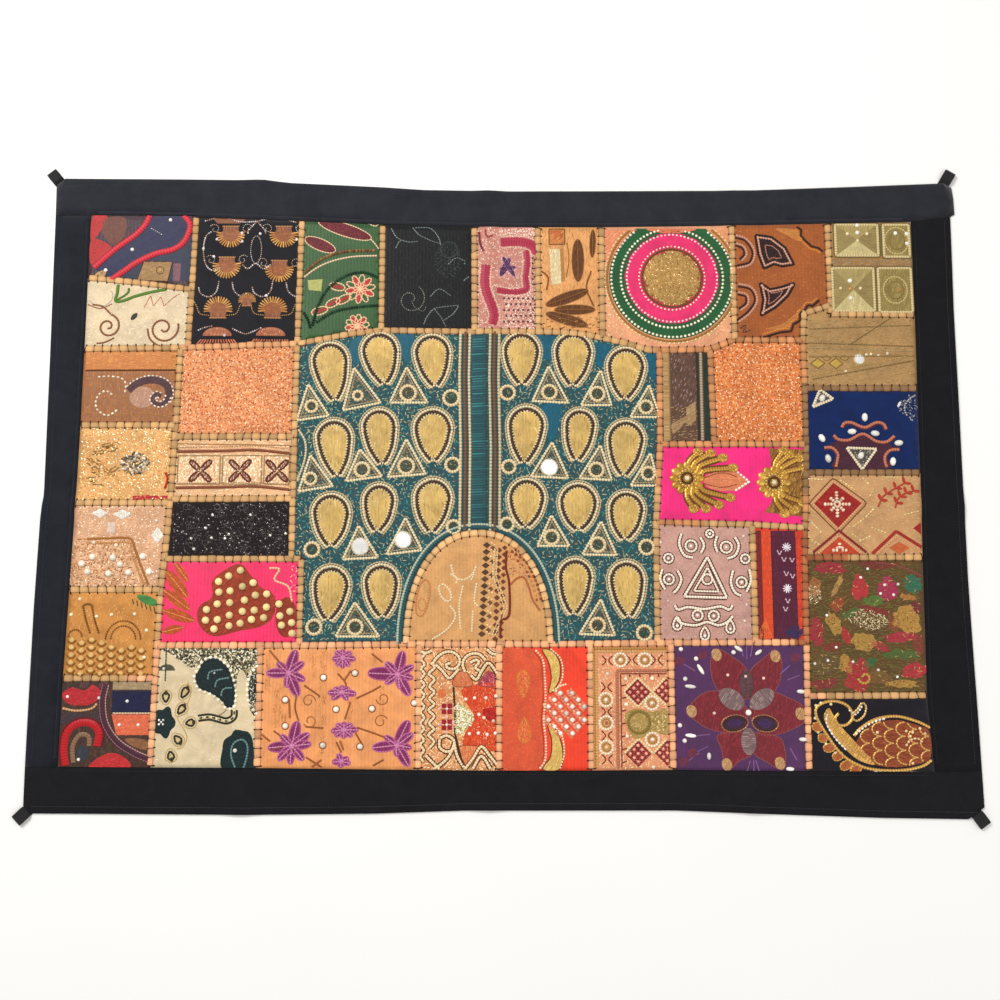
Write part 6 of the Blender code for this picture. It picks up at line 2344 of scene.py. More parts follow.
class BeigeOrnament(SewnPatch):
    """Cream scrolls, domes, red lobes with white dots and a chain column, on tan."""

    #: courses of the thin scrolls, of the wide peaks and of the zigzags at the left
    scrolls = (
        [(-111, -291), (-103, -280), (-91, -272), (-78, -272), (-68, -280), (-68, -291), (-75, -298),
         (-86, -297), (-88, -291), (-80, -289)],
        [(-58, -304), (-62, -293), (-60, -283), (-50, -275), (-36, -275), (-25, -285)],
        [(-51, -289), (-41, -284), (-36, -288), (-42, -296), (-34, -302)],
        [(-106, -291), (-95, -301), (-84, -313), (-75, -306), (-68, -298)],
        [(-132, -270), (-121, -273), (-111, -269)],
        [(-24, -267), (-13, -275), (5, -273)])
    peaks = (
        [(-50, -308), (-40, -315), (-32, -302), (-21, -289), (-8, -304), (0, -318)],
        [(-74, -412), (-82, -433), (-95, -447), (-108, -455)],
        [(-121, -433), (-111, -443), (-98, -455)],
        [(-75, -415), (-70, -435), (-58, -455)],
        [(-58, -455), (-45, -438), (-32, -420), (-18, -435), (-2, -455)],
        [(-46, -455), (-32, -435), (-17, -455)],
        [(-98, -407), (-87, -403), (-76, -410), (-76, -423), (-87, -428), (-98, -421), (-98, -407)])
    zigzags = ([(-129, -270), (-123, -275), (-129, -283), (-123, -291), (-129, -298), (-123, -306),
                (-129, -315), (-123, -323), (-129, -332), (-123, -340), (-129, -349), (-123, -358),
                (-129, -366), (-123, -375), (-129, -384), (-123, -392), (-129, -401), (-123, -410),
                (-129, -417), (-123, -426), (-129, -435), (-123, -444)],
               [(-114, -288), (-107, -296), (-116, -306), (-107, -315), (-115, -326), (-107, -335),
                (-115, -345), (-107, -354), (-116, -363), (-107, -373), (-115, -384), (-107, -393),
                (-116, -402), (-107, -412), (-115, -423)])

    def outlined(self, work: Needlework, course: Points, wide: float) -> None:
        """A flat cream tape along a course, with a brown edge on both sides."""
        work.cord(path(course), "#5e3218", wide + 4.4, pinch=0.0, high=0.9)
        work.cord(path(course), "#fbe0b4", wide, pinch=0.12, high=2.0)

    def embroider(self, work: Needlework) -> None:
        """Sew the tapes, the domes, the lobes, the crosses and the zigzags."""
        work.seeds(box(-132, 4, -458, -262), ["#e8b47c", "#fbdcb0", "#b87c48", "#ffe6c0"], 4.2, 5.4, 2.4,
                   high=0.5)
        for course in self.zigzags:
            self.outlined(work, course, 4.4)
        for course in self.scrolls:
            self.outlined(work, course, 4.6)
        for outline, dyes in (([(-77, -325), (-74, -310), (-63, -301), (-52, -309), (-47, -325)],
                               ["#e8804c", "#d86a38", "#f09468"]),
                              ([(-36, -325), (-31, -312), (-21, -302), (-10, -309), (-4, -325)],
                               ["#b83450", "#a02c4c", "#d06078"]),
                              ([(-66, -420), (-36, -420), (-39, -435), (-52, -452), (-63, -438)],
                               ["#f0844c", "#e07038", "#f4a070"])):
            work.satin(path(outline, True), dyes, 90, 1.9)
            work.cord(path(outline, True), "#8a4426", 2.0, True)
        work.satin(path([(-58, -327), (11, -327), (11, -420), (-55, -420), (-60, -406), (-52, -389),
                         (-44, -373), (-52, -358), (-61, -344)], True), ["#e8481c", "#d83a14", "#f05a2c"],
                   80, 1.9, 10)
        work.satin(path([(-30, -363), (-13, -359), (11, -362), (11, -379), (-5, -382), (-24, -377)], True),
                   ["#c41818", "#b41014"], 90, 1.8, high=1.2)
        work.satin(path([(-8, -327), (11, -327), (11, -358), (-1, -357), (-5, -340)], True),
                   ["#c41818", "#a81014"], 90, 1.8, high=1.2)
        lattice = path([(-74, -354), (-61, -357), (-44, -375), (-58, -395), (-73, -401), (-74, -376)], True)
        work.satin(lattice, ["#c8b468", "#b09c50"], 0, 2.0)
        work.seeds(lattice, ["#fdf8e4", "#f0ecc8"], 3.4, 5, 2.6, Thread.COTTON, high=2.0)
        work.cord(line([(-77, -326), (-74, -363), (-74, -399), (-69, -420), (-60, -454)]), "#3c2a1a", 3.4)
        for course in self.peaks:
            self.outlined(work, course, 5.4)
        for x, y in ((-87, -361), (-87, -386)):
            for across in (-1, 1):
                for up in (-1, 1):
                    work.satin(box(x + across * 4.6 - 3.6, x + across * 4.6 + 3.6, y + up * 4.6 - 3.6,
                                   y + up * 4.6 + 3.6), ["#a0102c", "#b01838"], 45, 1.8, high=1.3)
                work.beads([(x + across * 12, y), (x, y + across * 12)], "#f4b8b0", 5.4)
            work.beads([(x, y)], "#f6e4d8", 5.0)
        work.satin(oval(-95, -337, 7), ["#f0844c", "#e07038"], 0, 1.8)
        work.beads([(-57, -346), (-43, -344), (-25, -344), (-9, -341), (-36, -370), (-28, -375), (-13, -380),
                    (-51, -400), (-37, -399), (-23, -401), (-10, -399)], "#fdeee0", 6.0)


class OrangeCrescent(SewnPatch):
    """Seed-stitched orange with gold drops, gold crescents and beads on plain scarlet."""

    def embroider(self, work: Needlework) -> None:
        """Sew the orange ground, the drops, the crescents and the bead diamond."""
        edge = path([(1, -266), (38, -266), (56, -272), (66, -296), (68, -330), (64, -360), (66, -400),
                     (69, -430), (62, -454), (1, -454)], True)
        work.applique(edge, cotton("vermilion", "#f4643c", "#e65330"), 0.7)
        work.seeds(spread(edge, -3), ["#f68a62", "#ee5c34", "#fa7a50"], 4.6, 4.0, 1.5, high=1.5)
        for tip, far in (((35, -345), (34, -300)), ((36, -373), (36, -415))):
            work.satin(drop(tip, far, 20), ["#efa552", "#e6963e", "#f4b868"], 90, 1.8, high=1.6)
            work.cord(drop(tip, far, 21), "#d87a34", 2.0, True, base=0.8)
        rope = path([(54, -268), (66, -284), (69, -310), (70, -345), (67, -378), (70, -410), (69, -440),
                     (60, -455)])
        work.links(rope, ["#f8dcc0", "#f0c49c"], 4.4, 4.6, high=2.8)
        work.cord(spread_line(rope, 4.0), "#a8401c", 2.4)
        upper = path([(66, -268), (82, -272), (92, -290), (91, -315), (80, -334), (76, -334), (80, -312),
                      (76, -288)], True)
        lower = path([(74, -388), (80, -410), (78, -436), (66, -455), (90, -455), (96, -430), (90, -404),
                      (80, -388)], True)
        for shape in (upper, lower):
            work.satin(shape, ["#ecc468", "#e2b454", "#f4d484"], 60, 2.0, high=1.1)
            work.cord(spread(shape, 1), "#7a3a18", 2.4, True)
        for course in ([(78, -266), (95, -284), (97, -312), (86, -334)],
                       [(80, -384), (95, -402), (99, -430), (92, -455)]):
            work.links(path(course), ["#f6e0b4"], 4.4, 3.6, high=2.2)
        for row in range(-2, 3):
            for cell in range(-2, 3):
                x, y = 101 + (row + cell) * 9.5, -368 + (row - cell) * 10.5
                if abs(row) + abs(cell) < 4 and x < 136:
                    work.satin(diamond(x, y, 8, 8.5), ["#e87850", "#f0a080"], 0, 1.9, high=1.2)
                    work.beads([(x + 2, y)], Dye.WHITE, 7.5)
                    work.beads([(x - 5, y + 3)], "#f6b490", 5.0)
        work.cord(path([(80, -334), (92, -326), (104, -322)]), "#f6e0b4", 3.0)


class CreamLattice(SewnPatch):
    """Rings and crosses in a frame round dark red lattice diamonds, on cream."""

    def cross(self, work: Needlework, x: float, y: float, half: float) -> None:
        """Two curved strokes that meet, as one cross."""
        for side in (-1, 1):
            work.cord(path([(x + side * half, y + half * 0.9), (x + side * half * 0.25, y),
                            (x + side * half, y - half * 0.9)]), "#7a2a22", 2.6)

    def ring(self, work: Needlework, x: float, y: float, dye: str = "#fbf3dc") -> None:
        """A ring of brown and cream stitch round one bead."""
        work.cord(oval(x, y, 10.5), "#fbf0d4", 3.4, True)
        work.cord(oval(x, y, 6.2), "#b08a4c", 3.0, True)
        work.beads([(x, y)], dye, 6.0)

    def lattice(self, work: Needlework, x: float, y: float, half: float) -> None:
        """A dark red diamond with rows of cream and pink beads."""
        edge = diamond(x, y, half, half)
        keep = edge[:, 0] < 268
        edge = np.vstack((edge[keep], edge[keep][:1]))
        work.satin(edge, ["#94242a", "#84181e", "#a83434"], 45, 1.9, high=0.9)
        spots = [(x + (a + b) * half * 0.3, y + (a - b) * half * 0.3) for a in (-1, 0, 1) for b in (-1, 0, 1)]
        work.beads([spot for spot in spots if spot[0] < 264], "#f2a48c", 5.8)

    def embroider(self, work: Needlework) -> None:
        """Sew the frames, the rings and crosses, the lattices and the olive circle."""
        work.seeds(box(150, 264, -454, -266), ["#f0d09c", "#e0b27c", "#f8e2ba", "#e8b088"], 4.4, 4.6, 1.9,
                   high=0.6)
        for left, top, tone, wide in ((147, -266, "#c08a48", 5.0), (152, -271, "#d8a868", 3.0),
                                      (184, -301, "#c07a5c", 5.4), (190, -306, "#8a3a2c", 2.4)):
            work.cord(line([(left, -454), (left, top), (264, top)]), tone, wide, pinch=0.1)
        self.cross(work, 169, -285, 9)
        for y in (-327, -366, -403, -440):
            self.cross(work, 167, y, 9)
        for y, dye in ((-347, "#fbf3dc"), (-383, "#a8602c"), (-421, "#e8c890")):
            self.ring(work, 166, y, dye)
        work.beads([(169, -306)], "#fbf3dc", 6)
        for x in (208, 248):
            self.cross(work, x, -284, 10)
        for x in (190, 229):
            self.ring(work, x, -284)
        for y in range(-325, -448, -20):
            work.stitches(np.array([(190.0, y)]), np.array([(199.0, y + 2)]), ["#7a2a22"], 3.0, 1.4)
        for x in (204, 220, 236, 250):
            work.stitches(np.array([(x, -306.0)]), np.array([(x + 1, -312.0)]), ["#7a2a22"], 3.0, 1.4)
        self.lattice(work, 217, -335, 21)
        self.lattice(work, 262, -333, 20)
        self.lattice(work, 216, -431, 21)
        self.lattice(work, 262, -430, 20)
        work.cord(line([(194, -335), (217, -358), (240, -335), (262, -356)]), "#f8dca8", 3.6)
        work.cord(line([(194, -335), (217, -312), (240, -335), (262, -312)]), "#f8dca8", 3.6)
        work.cord(line([(194, -431), (217, -408), (240, -431), (262, -408)]), "#f8dca8", 3.6)
        blot = path([(196, -370), (214, -361), (240, -366), (262, -362), (264, -400), (240, -398),
                     (214, -408), (200, -392)], True)
        work.satin(blot, ["#b89a52", "#a88a44", "#c8aa66"], 30, 2.0, 7)
        work.cord(oval(218, -382, 17), "#8f7636", 4.0, True, base=0.6)
        work.seeds(oval(250, -382, 13, 15), ["#f0dca4", "#8f7636"], 5, 5, 2.4, high=1.4)
        for spot in ((239, -352), (239, -409), (240, -313), (199, -404), (198, -354), (240, -452),
                     (198, -314)):
            if spot in ((239, -352), (239, -409)):
                self.ring(work, *spot)
            else:
                work.beads([spot], "#fbf0d4", 6.5)


class PurpleFlower(SewnPatch):
    """A flower of six dark red petals with gold tips, and long white beads, on purple."""

    #: outline of each petal, and the spot of its gold tip
    petals = ((((294, -366), (308, -347), (326, -335), (352, -334), (376, -345), (391, -367), (378, -394),
                (352, -398), (326, -391), (306, -378)), (302, -365)),
              (((486, -369), (476, -354), (454, -343), (434, -336), (408, -346), (393, -367), (410, -400),
                (432, -402), (456, -395), (478, -384)), (475, -369)),
              (((343, -267), (334, -296), (346, -332), (388, -346), (391, -302), (370, -280)), (344, -276)),
              (((440, -269), (448, -296), (434, -334), (394, -346), (396, -304), (420, -281)), (438, -278)),
              (((356, -456), (348, -424), (344, -402), (388, -400), (396, -430), (376, -442)), (356, -448)),
              (((446, -455), (444, -410), (410, -400), (396, -402), (399, -430), (416, -442)), (440, -446)))

    def embroider(self, work: Needlework) -> None:
        """Sew the veins, the petals, the middle and the beads."""
        for x, y, turn in ((392, -272, 90), (400, -268, 78), (384, -268, 102), (398, -452, -90),
                           (404, -452, -76), (390, -452, -104), (462, -432, -62), (300, -296, 150),
                           (318, -424, 205), (320, -402, 185), (452, -300, 40), (466, -312, 20),
                           (304, -436, 215)):
            way = heading(turn) * 13
            spot = np.array((x, y), float)
            work.stitches((spot - way)[None], (spot + way)[None], ["#7c5aa0", "#8a5c8c"], 2.2, 0.8)
        for x, y in ((322, -276), (284, -286), (302, -430), (288, -444), (470, -280)):
            work.satin(oval(x, y, 9, 7, 30), ["#6a2c54", "#7a3040"], 40, 2.0)
        for outline, tip in self.petals:
            shape = path(outline, True)
            work.satin(shape, ["#8c2630", "#7a202c", "#9a303a", "#6c2030"], 75, 2.1, 8, high=0.7)
            work.cord(shape, "#94504c", 1.8, True, thread=Thread.FLOSS)
            work.satin(oval(*tip, 8, 10, 10), ["#cf9f6c", "#b88a58", "#dab080"], 60, 2.0, high=1.3)
        for x, y, tilt, wide, tall in ((366, -346, -35, 22, 15), (414, -346, 35, 22, 14),
                                       (391, -412, 90, 21, 12), (390, -322, 90, 22, 11)):
            shape = oval(x, y, wide, tall, tilt)
            tones = ["#8d7476", "#a08a86", "#745a60"] if y != -322 else ["#54383c", "#60444a"]
            work.satin(shape, tones, tilt + 90, 3.0, 9, high=1.4, thread=Thread.FLOSS)
        for x, tilt in ((370, 8), (418, -8)):
            work.satin(oval(x, -384, 21, 13, tilt), ["#46222e", "#3a1c2a"], 0, 1.9, high=1.3)
            work.satin(oval(x, -384, 12, 7, tilt), ["#4a2c66", "#40265c"], 0, 1.9, high=1.7)
            work.cord(oval(x, -384, 21, 13, tilt), "#b07a54", 2.0, True, thread=Thread.ZARI, base=0.6)
        work.drops([(301, -326), (300, -403)], 19, 6.5, -6, Dye.WHITE)
        work.drops([(318, -299)], 20, 6.5, -58, Dye.WHITE)
        work.drops([(379, -266)], 16, 6.5, -35, Dye.WHITE)
        work.drops([(411, -272)], 14, 6.5, 35, Dye.WHITE)
        work.drops([(477, -334), (478, -409), (456, -455)], 14, 7, -4, Dye.WHITE)
        work.drops([(328, -435)], 12, 7, 90, Dye.WHITE)
        work.beads([(287, -267), (311, -282), (293, -314), (290, -411), (283, -387), (371, -272)], Dye.WHITE,
                   7.5)
        work.beads([(392, -367)], Dye.WHITE, 10)
        work.beads([(361, -308), (418, -313), (338, -368), (389, -310)], "#f2c9c0", 5.5)


class PanelArch(SewnPatch):
    """Faint cream outlines, columns of dark dots and a dark red line, on tan."""

    def embroider(self, work: Needlework) -> None:
        """Sew the outlines, the dots, the line and the scalloped column."""
        work.seeds(path([(-138, -250), (-132, -180), (-100, -120), (-60, -92), (0, -86), (40, -104),
                         (60, -150), (70, -250)], True), ["#c9985a", "#dcb27a", "#b88648"], 6.0, 5.0, 1.4,
                   high=0.4)
        for course in ([(-82, -130), (-76, -150), (-62, -156), (-48, -148), (-40, -132)],
                       [(-84, -146), (-72, -154), (-74, -164)], [(-50, -158), (-44, -146)],
                       [(-40, -160), (-44, -190), (-36, -200)], [(-62, -164), (-68, -196), (-66, -236)],
                       [(-84, -196), (-74, -214), (-88, -236), (-112, -252)], [(-46, -204), (-48, -240)]):
            work.cord(path(course), "#eed9b0", 3.0, thread=Thread.FLOSS)
        work.cord(leaf((-98, -164), (-84, -190), 16, 0.9), "#f0dcb4", 3.0, True, thread=Thread.FLOSS)
        work.cord(leaf((-122, -156), (-132, -214), 20, 0.8), "#d08a50", 3.0, True, thread=Thread.FLOSS)
        work.cord(oval(-128, -196, 6, 10), "#d08a50", 2.2, True, thread=Thread.FLOSS)
        for row, y in enumerate(range(-100, -252, -11)):
            lean = -row * 0.6
            work.satin(diamond(-24 + lean, y, 6.5, 5.0), ["#5a3a20", "#6a4628", "#4a2e1a"], 40, 1.9)
            if row % 2 == 0:
                work.satin(diamond(-14 + lean, y - 5, 4.5, 4.0), ["#7a5430"], 40, 1.9)
            work.satin(diamond(-4 + lean * 0.8, y - 8, 5, 4.6), ["#6a3824", "#84482c"], 40, 1.9)
            work.links(line([(-18 + lean, y + 5), (-9 + lean, y - 1)]), ["#f0d6a8"], 4.4, 3)
            work.satin(diamond(5 + lean * 0.8, y - 4, 4.4, 4), ["#7a3e26"], 40, 1.9)
        for side in (0, 5):
            work.cord(line([(-11 + side, -104), (-14 + side, -150), (4 + side, -200), (-16 + side, -246)]),
                      "#e8cb98", 2.4)
        work.cord(path([(8, -108), (7, -136), (12, -160), (13, -205), (8, -218), (-1, -222), (-2, -250)]),
                  "#7a2c1c", 4.0)
        column = [(14, -108), (28, -118), (40, -128), (50, -146), (58, -166), (64, -190)]
        for shift, tone in ((-7, "#c8603a"), (0, "#8a3c24"), (7, "#d89058")):
            work.links(spread_line(path(column), shift), [tone, "#a04c2c"], 5.4, 4.6, thread=Thread.FLOSS,
                       gap=2.4)
        work.cord(path([(14, -164), (24, -154), (36, -152), (44, -168), (50, -188), (62, -206)]), "#b86a3c",
                  3.4)
        work.seeds(path([(8, -108), (30, -112), (56, -146), (44, -160), (26, -146), (12, -150)], True),
                   ["#c0683c", "#a4502e", "#dca06c"], 5.0, 5.0, 2.2, high=0.8)


class PanelYoke(SewnPatch):
    """Gold drops and outlined triangles on teal, beside a ribbed placket."""

    #: middle, tip, top, bottom and width of each gold drop
    golds = ((-284, -275, 232, 140, 50), (-202, -194, 249, 168, 50), (-115, -110, 246, 164, 49),
             (33, 33, 249, 168, 50), (119, 117, 249, 166, 52), (206, 203, 224, 143, 52),
             (-275, -269, 101, 14, 48), (-201, -196, 119, 34, 45), (-113, -112, 119, 39, 52),
             (41, 37, 124, 36, 50), (129, 123, 119, 40, 39), (204, 199, 100, 15, 50),
             (-277, -277, -22, -101, 50), (-199, -202, -6, -77, 40), (-112, -114, 3, -78, 50),
             (41, 39, 3, -69, 49), (125, 125, -4, -74, 52), (203, 200, -18, -90, 46),
             (-275, -279, -140, -220, 48), (-194, -192, -137, -215, 45), (119, 116, -128, -211, 44),
             (202, 204, -132, -215, 46))
    #: apex, left and right ends of the base, middle of the ring, and its kind
    triangles = ((-319, 167, -337, 106, -284, 114, -313, 130, 10),
                 (-244, 195, -261, 123, -199, 136, -237, 148, 8),
                 (-157, 196, -184, 136, -122, 136, -154, 152, 13), (78, 198, 51, 139, 110, 136, 79, 154, 12),
                 (164, 191, 131, 132, 181, 132, 158, 151, 12), (244, 166, 212, 112, 261, 112, 238, 129, 11),
                 (-313, 48, -331, -12, -275, -3, -312, 9, 10), (-232, 58, -254, 5, -195, 13, -228, 24, 12),
                 (-156, 75, -186, 12, -124, 17, -156, 30, 13), (83, 70, 48, 13, 109, 10, 78, 28, 0),
                 (162, 65, 127, 10, 180, 7, 155, 24, 12), (244, 52, 211, -2, 257, -2, 240, 18, 11),
                 (-232, -68, -257, -123, -200, -120, -229, -102, 0),
                 (-156, -55, -186, -115, -129, -108, -160, -91, 0),
                 (81, -51, 58, -101, 110, -101, 81, -87, 12), (162, -61, 131, -115, 186, -116, 156, -99, 12),
                 (-236, -192, -266, -247, -196, -247, -235, -232, 12),
                 (160, -187, 125, -243, 182, -245, 154, -229, 12))
    rings = ((-83, 144, 13), (10, 153, 12), (-80, 32, 12), (12, 29, 11), (-78, -70, 11), (9, -66, 11),
             (235, -103, 12), (-307, -107, 12), (-301, -232, 12), (229, -241, 12))
    #: outlines of the spots where the teal cloth shows plain
    bare = (
        [(-250, 240), (-232, 246), (-236, 200), (-252, 214)],
        [(-176, 252), (-146, 252), (-150, 210), (-160, 206)],
        [(58, 252), (92, 246), (88, 214), (66, 212)],
        [(152, 236), (182, 232), (170, 196), (156, 204)],
        [(66, 128), (98, 132), (92, 90), (78, 74)],
        [(240, 220), (262, 218), (256, 178), (246, 180)])

    def gold_drop(self, middle: float, tip: float, top: float, low: float, wide: float) -> Path:
        """The outline of one gold drop, round at its top."""
        turn = np.radians(np.arange(0, 180, 9))
        reach = wide * 0.45
        top, low = top - 2.5, low + 2.5
        round_top = np.stack((middle + reach * np.cos(turn), top - reach * 1.1 + reach * 1.1 * np.sin(turn)),
                             1)
        fall = np.linspace(0, 1, 12)[1:, None]
        ends = np.array(((middle - reach, top - reach * 1.1), (tip, low),
                         (middle + reach, top - reach * 1.1)))
        bulge = np.sin(fall * math.pi) * np.array(((4.0, -3.0),))
        left = ends[0] + (ends[1] - ends[0]) * fall + bulge * (-1, 1)
        right = (ends[2] + (ends[1] - ends[2]) * fall + bulge)[::-1]
        return path(np.vstack((round_top, left, right)), True, step=3.0)

    def ring(self, work: Needlework, x: float, y: float, reach: float) -> None:
        """A thick cream ring with a dark middle."""
        work.satin(oval(x, y, reach - 3.5), ["#24504c", "#4a4a34", "#2c3a34"], 40, 2.4, high=0.6)
        work.cord(oval(x, y, reach - 0.6), "#eed8ac", 4.8, True, 4.6, 0.3)
        work.cord(oval(x, y, reach - 4.0), "#5a4a30", 2.2, True)

    def placket(self, work: Needlework) -> None:
        """Dark ribs between two pairs of cord, from the top to the arch."""
        levels = np.arange(-72, 262, 4.2)
        spread_out = work.random.uniform(-2, 2, (len(levels), 2))
        starts = np.column_stack((-52 + spread_out[:, 0], levels))
        ends = np.column_stack((-21 + spread_out[:, 1], levels + 0.8))
        work.stitches(starts, ends, ["#2a6a70", "#1c5058", "#3a8488", "#245c60"], 2.3, 1.5)
        work.stitches(starts + (0, 2.1), ends + (0, 2.1), ["#143e48", "#1c4c54"], 1.7, 0.9)
        work.satin(box(-31, -24, -76, 258), ["#1c3c40", "#27484a"], 0, 2.4, 9, high=1.4)
        for x, tone, wide in ((-68, "#e0ca9c", 4.4), (-60, "#7a5238", 5.6), (-52.5, "#e0ca9c", 4.0),
                              (-18.5, "#d4be94", 4.0), (-11, "#755238", 6.0), (-3.5, "#d4be94", 4.4)):
            work.cord(line([(x, -78), (x + 1, 60), (x - 1.5, 180), (x, 260)]), tone, wide, pitch=5.5,
                      pinch=0.25)

    def embroider(self, work: Needlework) -> None:
        """Sew the ground, the drops, the triangles, the rings and the placket."""
        outlines = [self.gold_drop(*gold) for gold in self.golds]
        triangles = [poly((a, b), (c, d), (e, f)) for a, b, c, d, e, f, *_ in self.triangles]
        placket = box(-72, 1, -80, 262)
        arch_side = arch(17.0)
        plain = [path(shape, True) for shape in self.bare]
        whole = poly((-340, -252), (266, -252), (266, 232), (100, 262), (-200, 262), (-340, 234))
        ground_holes = [*outlines, placket, np.vstack((arch_side, arch_side[:1])), *plain]
        work.seeds(whole, ["#3f8f88", "#b9ae86", "#2a5c54", "#9aa886", "#5c4c32", "#8a8a68"], 5.4, 5.6, 2.0,
                   holes=ground_holes, high=0.8)
        for shape in plain:
            work.satin(shape, ["#0f6680", "#0d5c74"], 90, 2.6, 14, high=0.5)
        brocade = silk("gold_brocade", "#e6c273", "#cda552", blotch=7.0, wear=0.3)
        for outline in outlines:
            work.seeds(spread(outline, 8.5), ["#a8926a", "#5e4e34", "#c8b48a", "#3f3a2a"], 5.2, 5.0, 2.4,
                       holes=[outline], high=1.0)
            work.applique(outline, brocade, 1.0)
            work.seeds(spread(outline, -5), ["#9a7836", "#ffeeb8", "#b48c40", "#8a6a2e"], 7.2, 11.0, 1.6,
                       lean=88, high=1.7)
            work.cord(spread(outline, 3.6), "#4e3020", 5.2, True, pinch=0.15, high=1.6)
            work.cord(spread(outline, 8.4), "#f2deb4", 3.8, True, 4.8, 0.45, high=2.0)
            work.cord(spread(outline, 12.4), "#c8b48c", 2.8, True, 4.8, 0.45, high=1.6)
            spots, turns = evenly(spread(outline, 0.2), 4.8, True)
            out = np.stack((np.sin(turns), -np.cos(turns)), 1) * 2.2
            work.stitches(spots - out, spots + out, ["#f6e8bc", "#ecd8a2"], 2.2, 2.0)
        for shape, (*_, x, y, reach) in zip(triangles, self.triangles):
            work.satin(spread(shape, -3), ["#5e4630", "#6e5a3e", "#463626", "#50563e"], 30, 2.6, 8, high=0.6)
            work.cord(shape, "#f2deb4", 4.0, True, 4.8, 0.45, high=2.0)
            work.cord(spread(shape, -4.8), "#b09870", 2.4, True)
            if reach:
                self.ring(work, x, y, reach)
            else:
                work.mirror(x, y, 26.0, "#f6efdc")
        for ring in self.rings:
            self.ring(work, *ring)
        self.placket(work)
        work.cord(arch(9.5), "#2a5a5e", 4.4, pinch=0.1)
        work.cord(arch(14.0), "#b9c2b0", 3.8, pinch=0.25)
        work.cord(path([(-334, 92), (-322, 70), (-322, 42), (-334, 4)]), "#ddcba2", 3.4)
        work.cord(path([(270, 196), (262, 176), (262, 120), (266, 104)]), "#cfbf98", 3.0)


PATCHES = (
    CornerArcs("corner_arcs", silk("violet", "#381727", "#2c1122")),
    CreamScroll("cream_scroll", cotton("cream", "#f8e6ca", "#e8cea3")),
    BrownScroll("brown_scroll", cotton("umber", "#a66227", "#c07533")),
    GoldShimmer("gold_shimmer", tissue("gold", "#fec583", "#dea25d")),
    BlushDiamond("blush_diamond", tissue("blush", "#fecba0", "#e3a97f")),
    OchreDome("ochre_dome", tissue("ochre", "#f0a752", "#d2883b")),
    CornerBands("corner_bands", silk("plum", "#602727", "#4c1f25")),
    BlackFans("black_fans", cotton("black", "#191920", "#22212a", gloss=0.25)),
    OrangeSeed("orange_seed_left", cotton("orange", "#feb17a", "#ea925c")),
    CreamCross("cream_cross", cotton("ecru", "#ffce9c", "#f0b481")),
    BlackSequin("black_sequin", cotton("jet", "#1b1214", "#261a1d", gloss=0.25)),
    PinkDots("pink_dots", silk("pink", "#ff1c6c", "#fe1660")),
    CreamLeaf("cream_leaf", cotton("pale_cream", "#f8e6c4", "#ecd5a8")),
    GreenFloral("green_floral", silk("green", "#275e21", "#1c4b1a")),
    BlackVine("black_vine", silk("ink", "#111317", "#181a1f", sheen=0.12, gloss=0.2)),
    PinkBand("pink_band", cotton("pale_pink", "#dc9c8e", "#d08a7b")),
    TanLeaf("tan_leaf", silk("tan", "#f4af6d", "#e29b55")),
    RoundMedallion("round_medallion", silk("straw", "#f8b287", "#ea9e71")),
    BrownPaisley("brown_paisley", silk("russet", "#b55f1b", "#9d4e13")),
    OlivePearl("olive_pearl", silk("olive", "#b38448", "#9a7039")),
    OliveStripe("olive_stripe", tissue("olive_drab", "#d8a96c", "#b98e56")),
    BlueTriangle("blue_triangle", cotton("blue", "#0c2c6c", "#082156", gloss=0.2)),
    BeigeDiamond("beige_diamond", cotton("beige", "#e4af7d", "#d19b65")),
    GreenLeaf("green_leaf", cotton("moss", "#704c1a", "#5b411d")),
    BlackPaisley("black_paisley", cotton("soot", "#1a1721", "#25202b", gloss=0.2)),
    DarkStrip("dark_strip", cotton("bistre", "#5b3c2e", "#78503a")),
    OrangeSeed("orange_seed_right", cotton("amber", "#fb9c57", "#e58241")),
    PinkSunflower("pink_sunflower", silk("magenta", "#ff1488", "#ff0a7d")),
    LavenderCord("lavender_cord", cotton("lavender", "#e2b0a0", "#d09a8e")),
    StripedBand("striped_band", silk("scarlet", "#f4401f", "#e02c14")),
    PeachFlower("peach_flower", silk("peach", "#ffb06e", "#f29753")),
    BeigeOrnament("beige_ornament", cotton("biscuit", "#ffb276", "#ec985d")),
    OrangeCrescent("orange_crescent", silk("vermilion_silk", "#ff4214", "#ff360d")),
    CreamLattice("cream_lattice", cotton("vanilla", "#ffae81", "#f79b6c")),
    PurpleFlower("purple_flower", silk("purple", "#571a61", "#44114d")),
    PanelYoke("panel_yoke", cotton("teal", "#1c5d69", "#174752")),
    PanelArch("panel_arch", silk("fawn", "#e6ac6b", "#d59959")),
)


# The picture


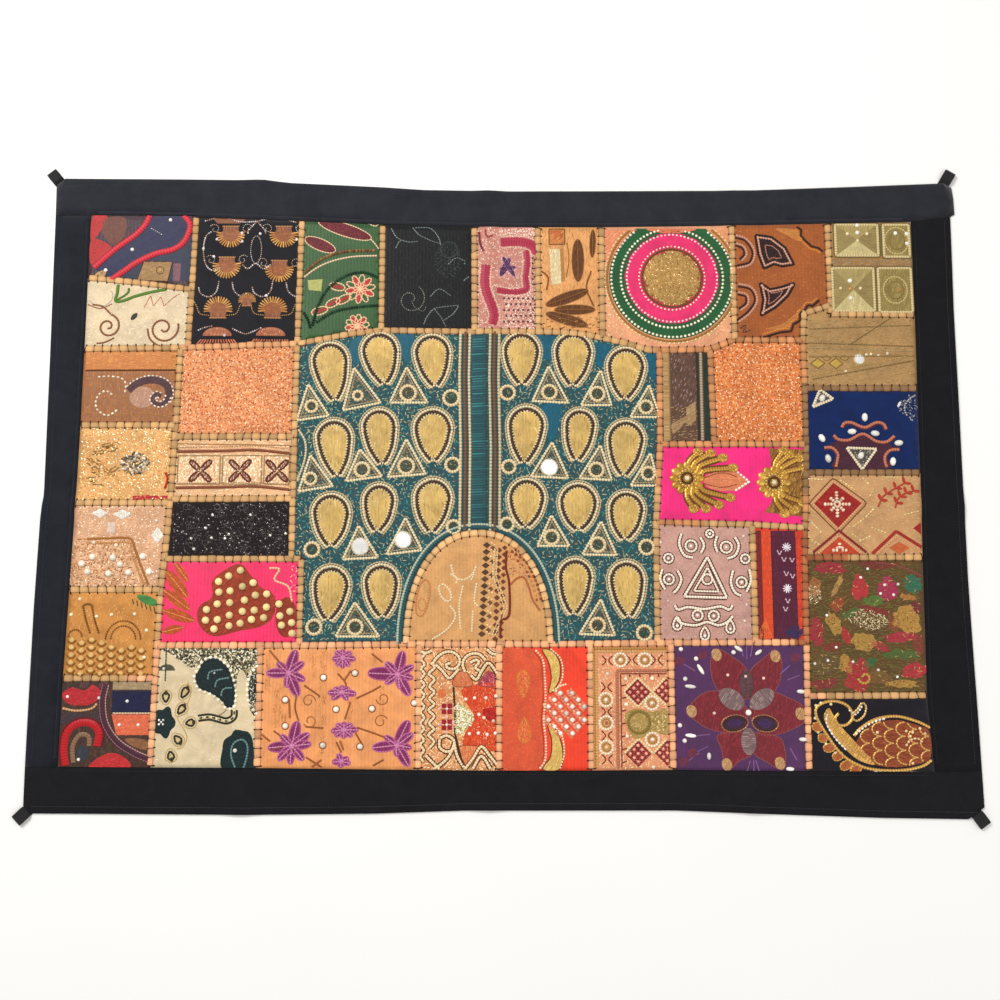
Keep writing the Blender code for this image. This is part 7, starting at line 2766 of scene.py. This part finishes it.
@dataclass
class Studio:
    """A plain pale floor, soft light from all sides and the camera of the photograph."""

    floor: str = "#fbfdff"
    lens: float = 43.2
    spot: tuple[float, float, float] = (-0.0097, -0.2987, 1.939)
    tilt: float = 8.12
    roll: float = -0.19

    def make(self) -> None:
        """Lay the floor, hang the lights and set the camera."""
        scene = bpy.context.scene
        scene.view_settings.view_transform = "Standard"
        bpy.ops.mesh.primitive_plane_add(size=14.0, location=(0.0, 0.0, -0.0002))
        floor = bpy.context.object
        floor.name = "floor"
        made = bpy.data.materials.new("painted_floor_matt")
        made.use_nodes = True
        tree = made.node_tree
        speckle = add_node(tree, "ShaderNodeTexNoise", {"Scale": 60.0, "Detail": 3.0})
        pale = linear(self.floor)
        tone = add_node(
            tree, "ShaderNodeMix",
            {0: speckle.outputs["Fac"], 6: (*pale, 1), 7: (*(0.98 * c for c in pale), 1)},
            data_type="RGBA")
        set_inputs(tree, tree.nodes["Principled BSDF"], {"Base Color": tone.outputs[2], "Roughness": 0.9})
        floor.data.materials.append(made)

        world = bpy.data.worlds.new("soft_room")
        scene.world = world
        world.use_nodes = True
        sky = world.node_tree.nodes["Background"]
        sky.inputs["Color"].default_value = (1.0, 0.97, 0.915, 1.0)
        sky.inputs["Strength"].default_value = 0.56
        for name, where, power, wide in (
                ("key_light", (-1.5, 1.6, 2.6), 72.0, 1.0), ("fill_light", (1.8, -0.9, 2.4), 17.0, 1.8)):
            light = bpy.data.lights.new(name, "AREA")
            light.energy, light.size, light.color = power, wide, (1.0, 0.97, 0.92)
            lamp = bpy.data.objects.new(name, light)
            lamp.location = where
            lamp.rotation_euler = (-Vector(where)).to_track_quat("-Z", "Y").to_euler()
            scene.collection.objects.link(lamp)

        lens = bpy.data.cameras.new("camera")
        lens.lens, lens.sensor_width = self.lens, 36.0
        camera = bpy.data.objects.new("camera", lens)
        camera.location = self.spot
        camera.rotation_euler = (math.radians(self.tilt), math.radians(self.roll), 0.0)
        scene.collection.objects.link(camera)
        scene.camera = camera


def main() -> None:
    """Dress the frame, piece by piece, and set the picture."""
    logging.basicConfig(level=logging.INFO, format="%(name)s: %(message)s")
    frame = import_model()
    Studio().make()
    Border().make(frame)
    for loop in LOOPS:
        loop.make()
    CouchedBraid().make()
    for seed, patch in enumerate(PATCHES):
        patch.make(frame, seed)


if __name__ == "__main__":
    main()
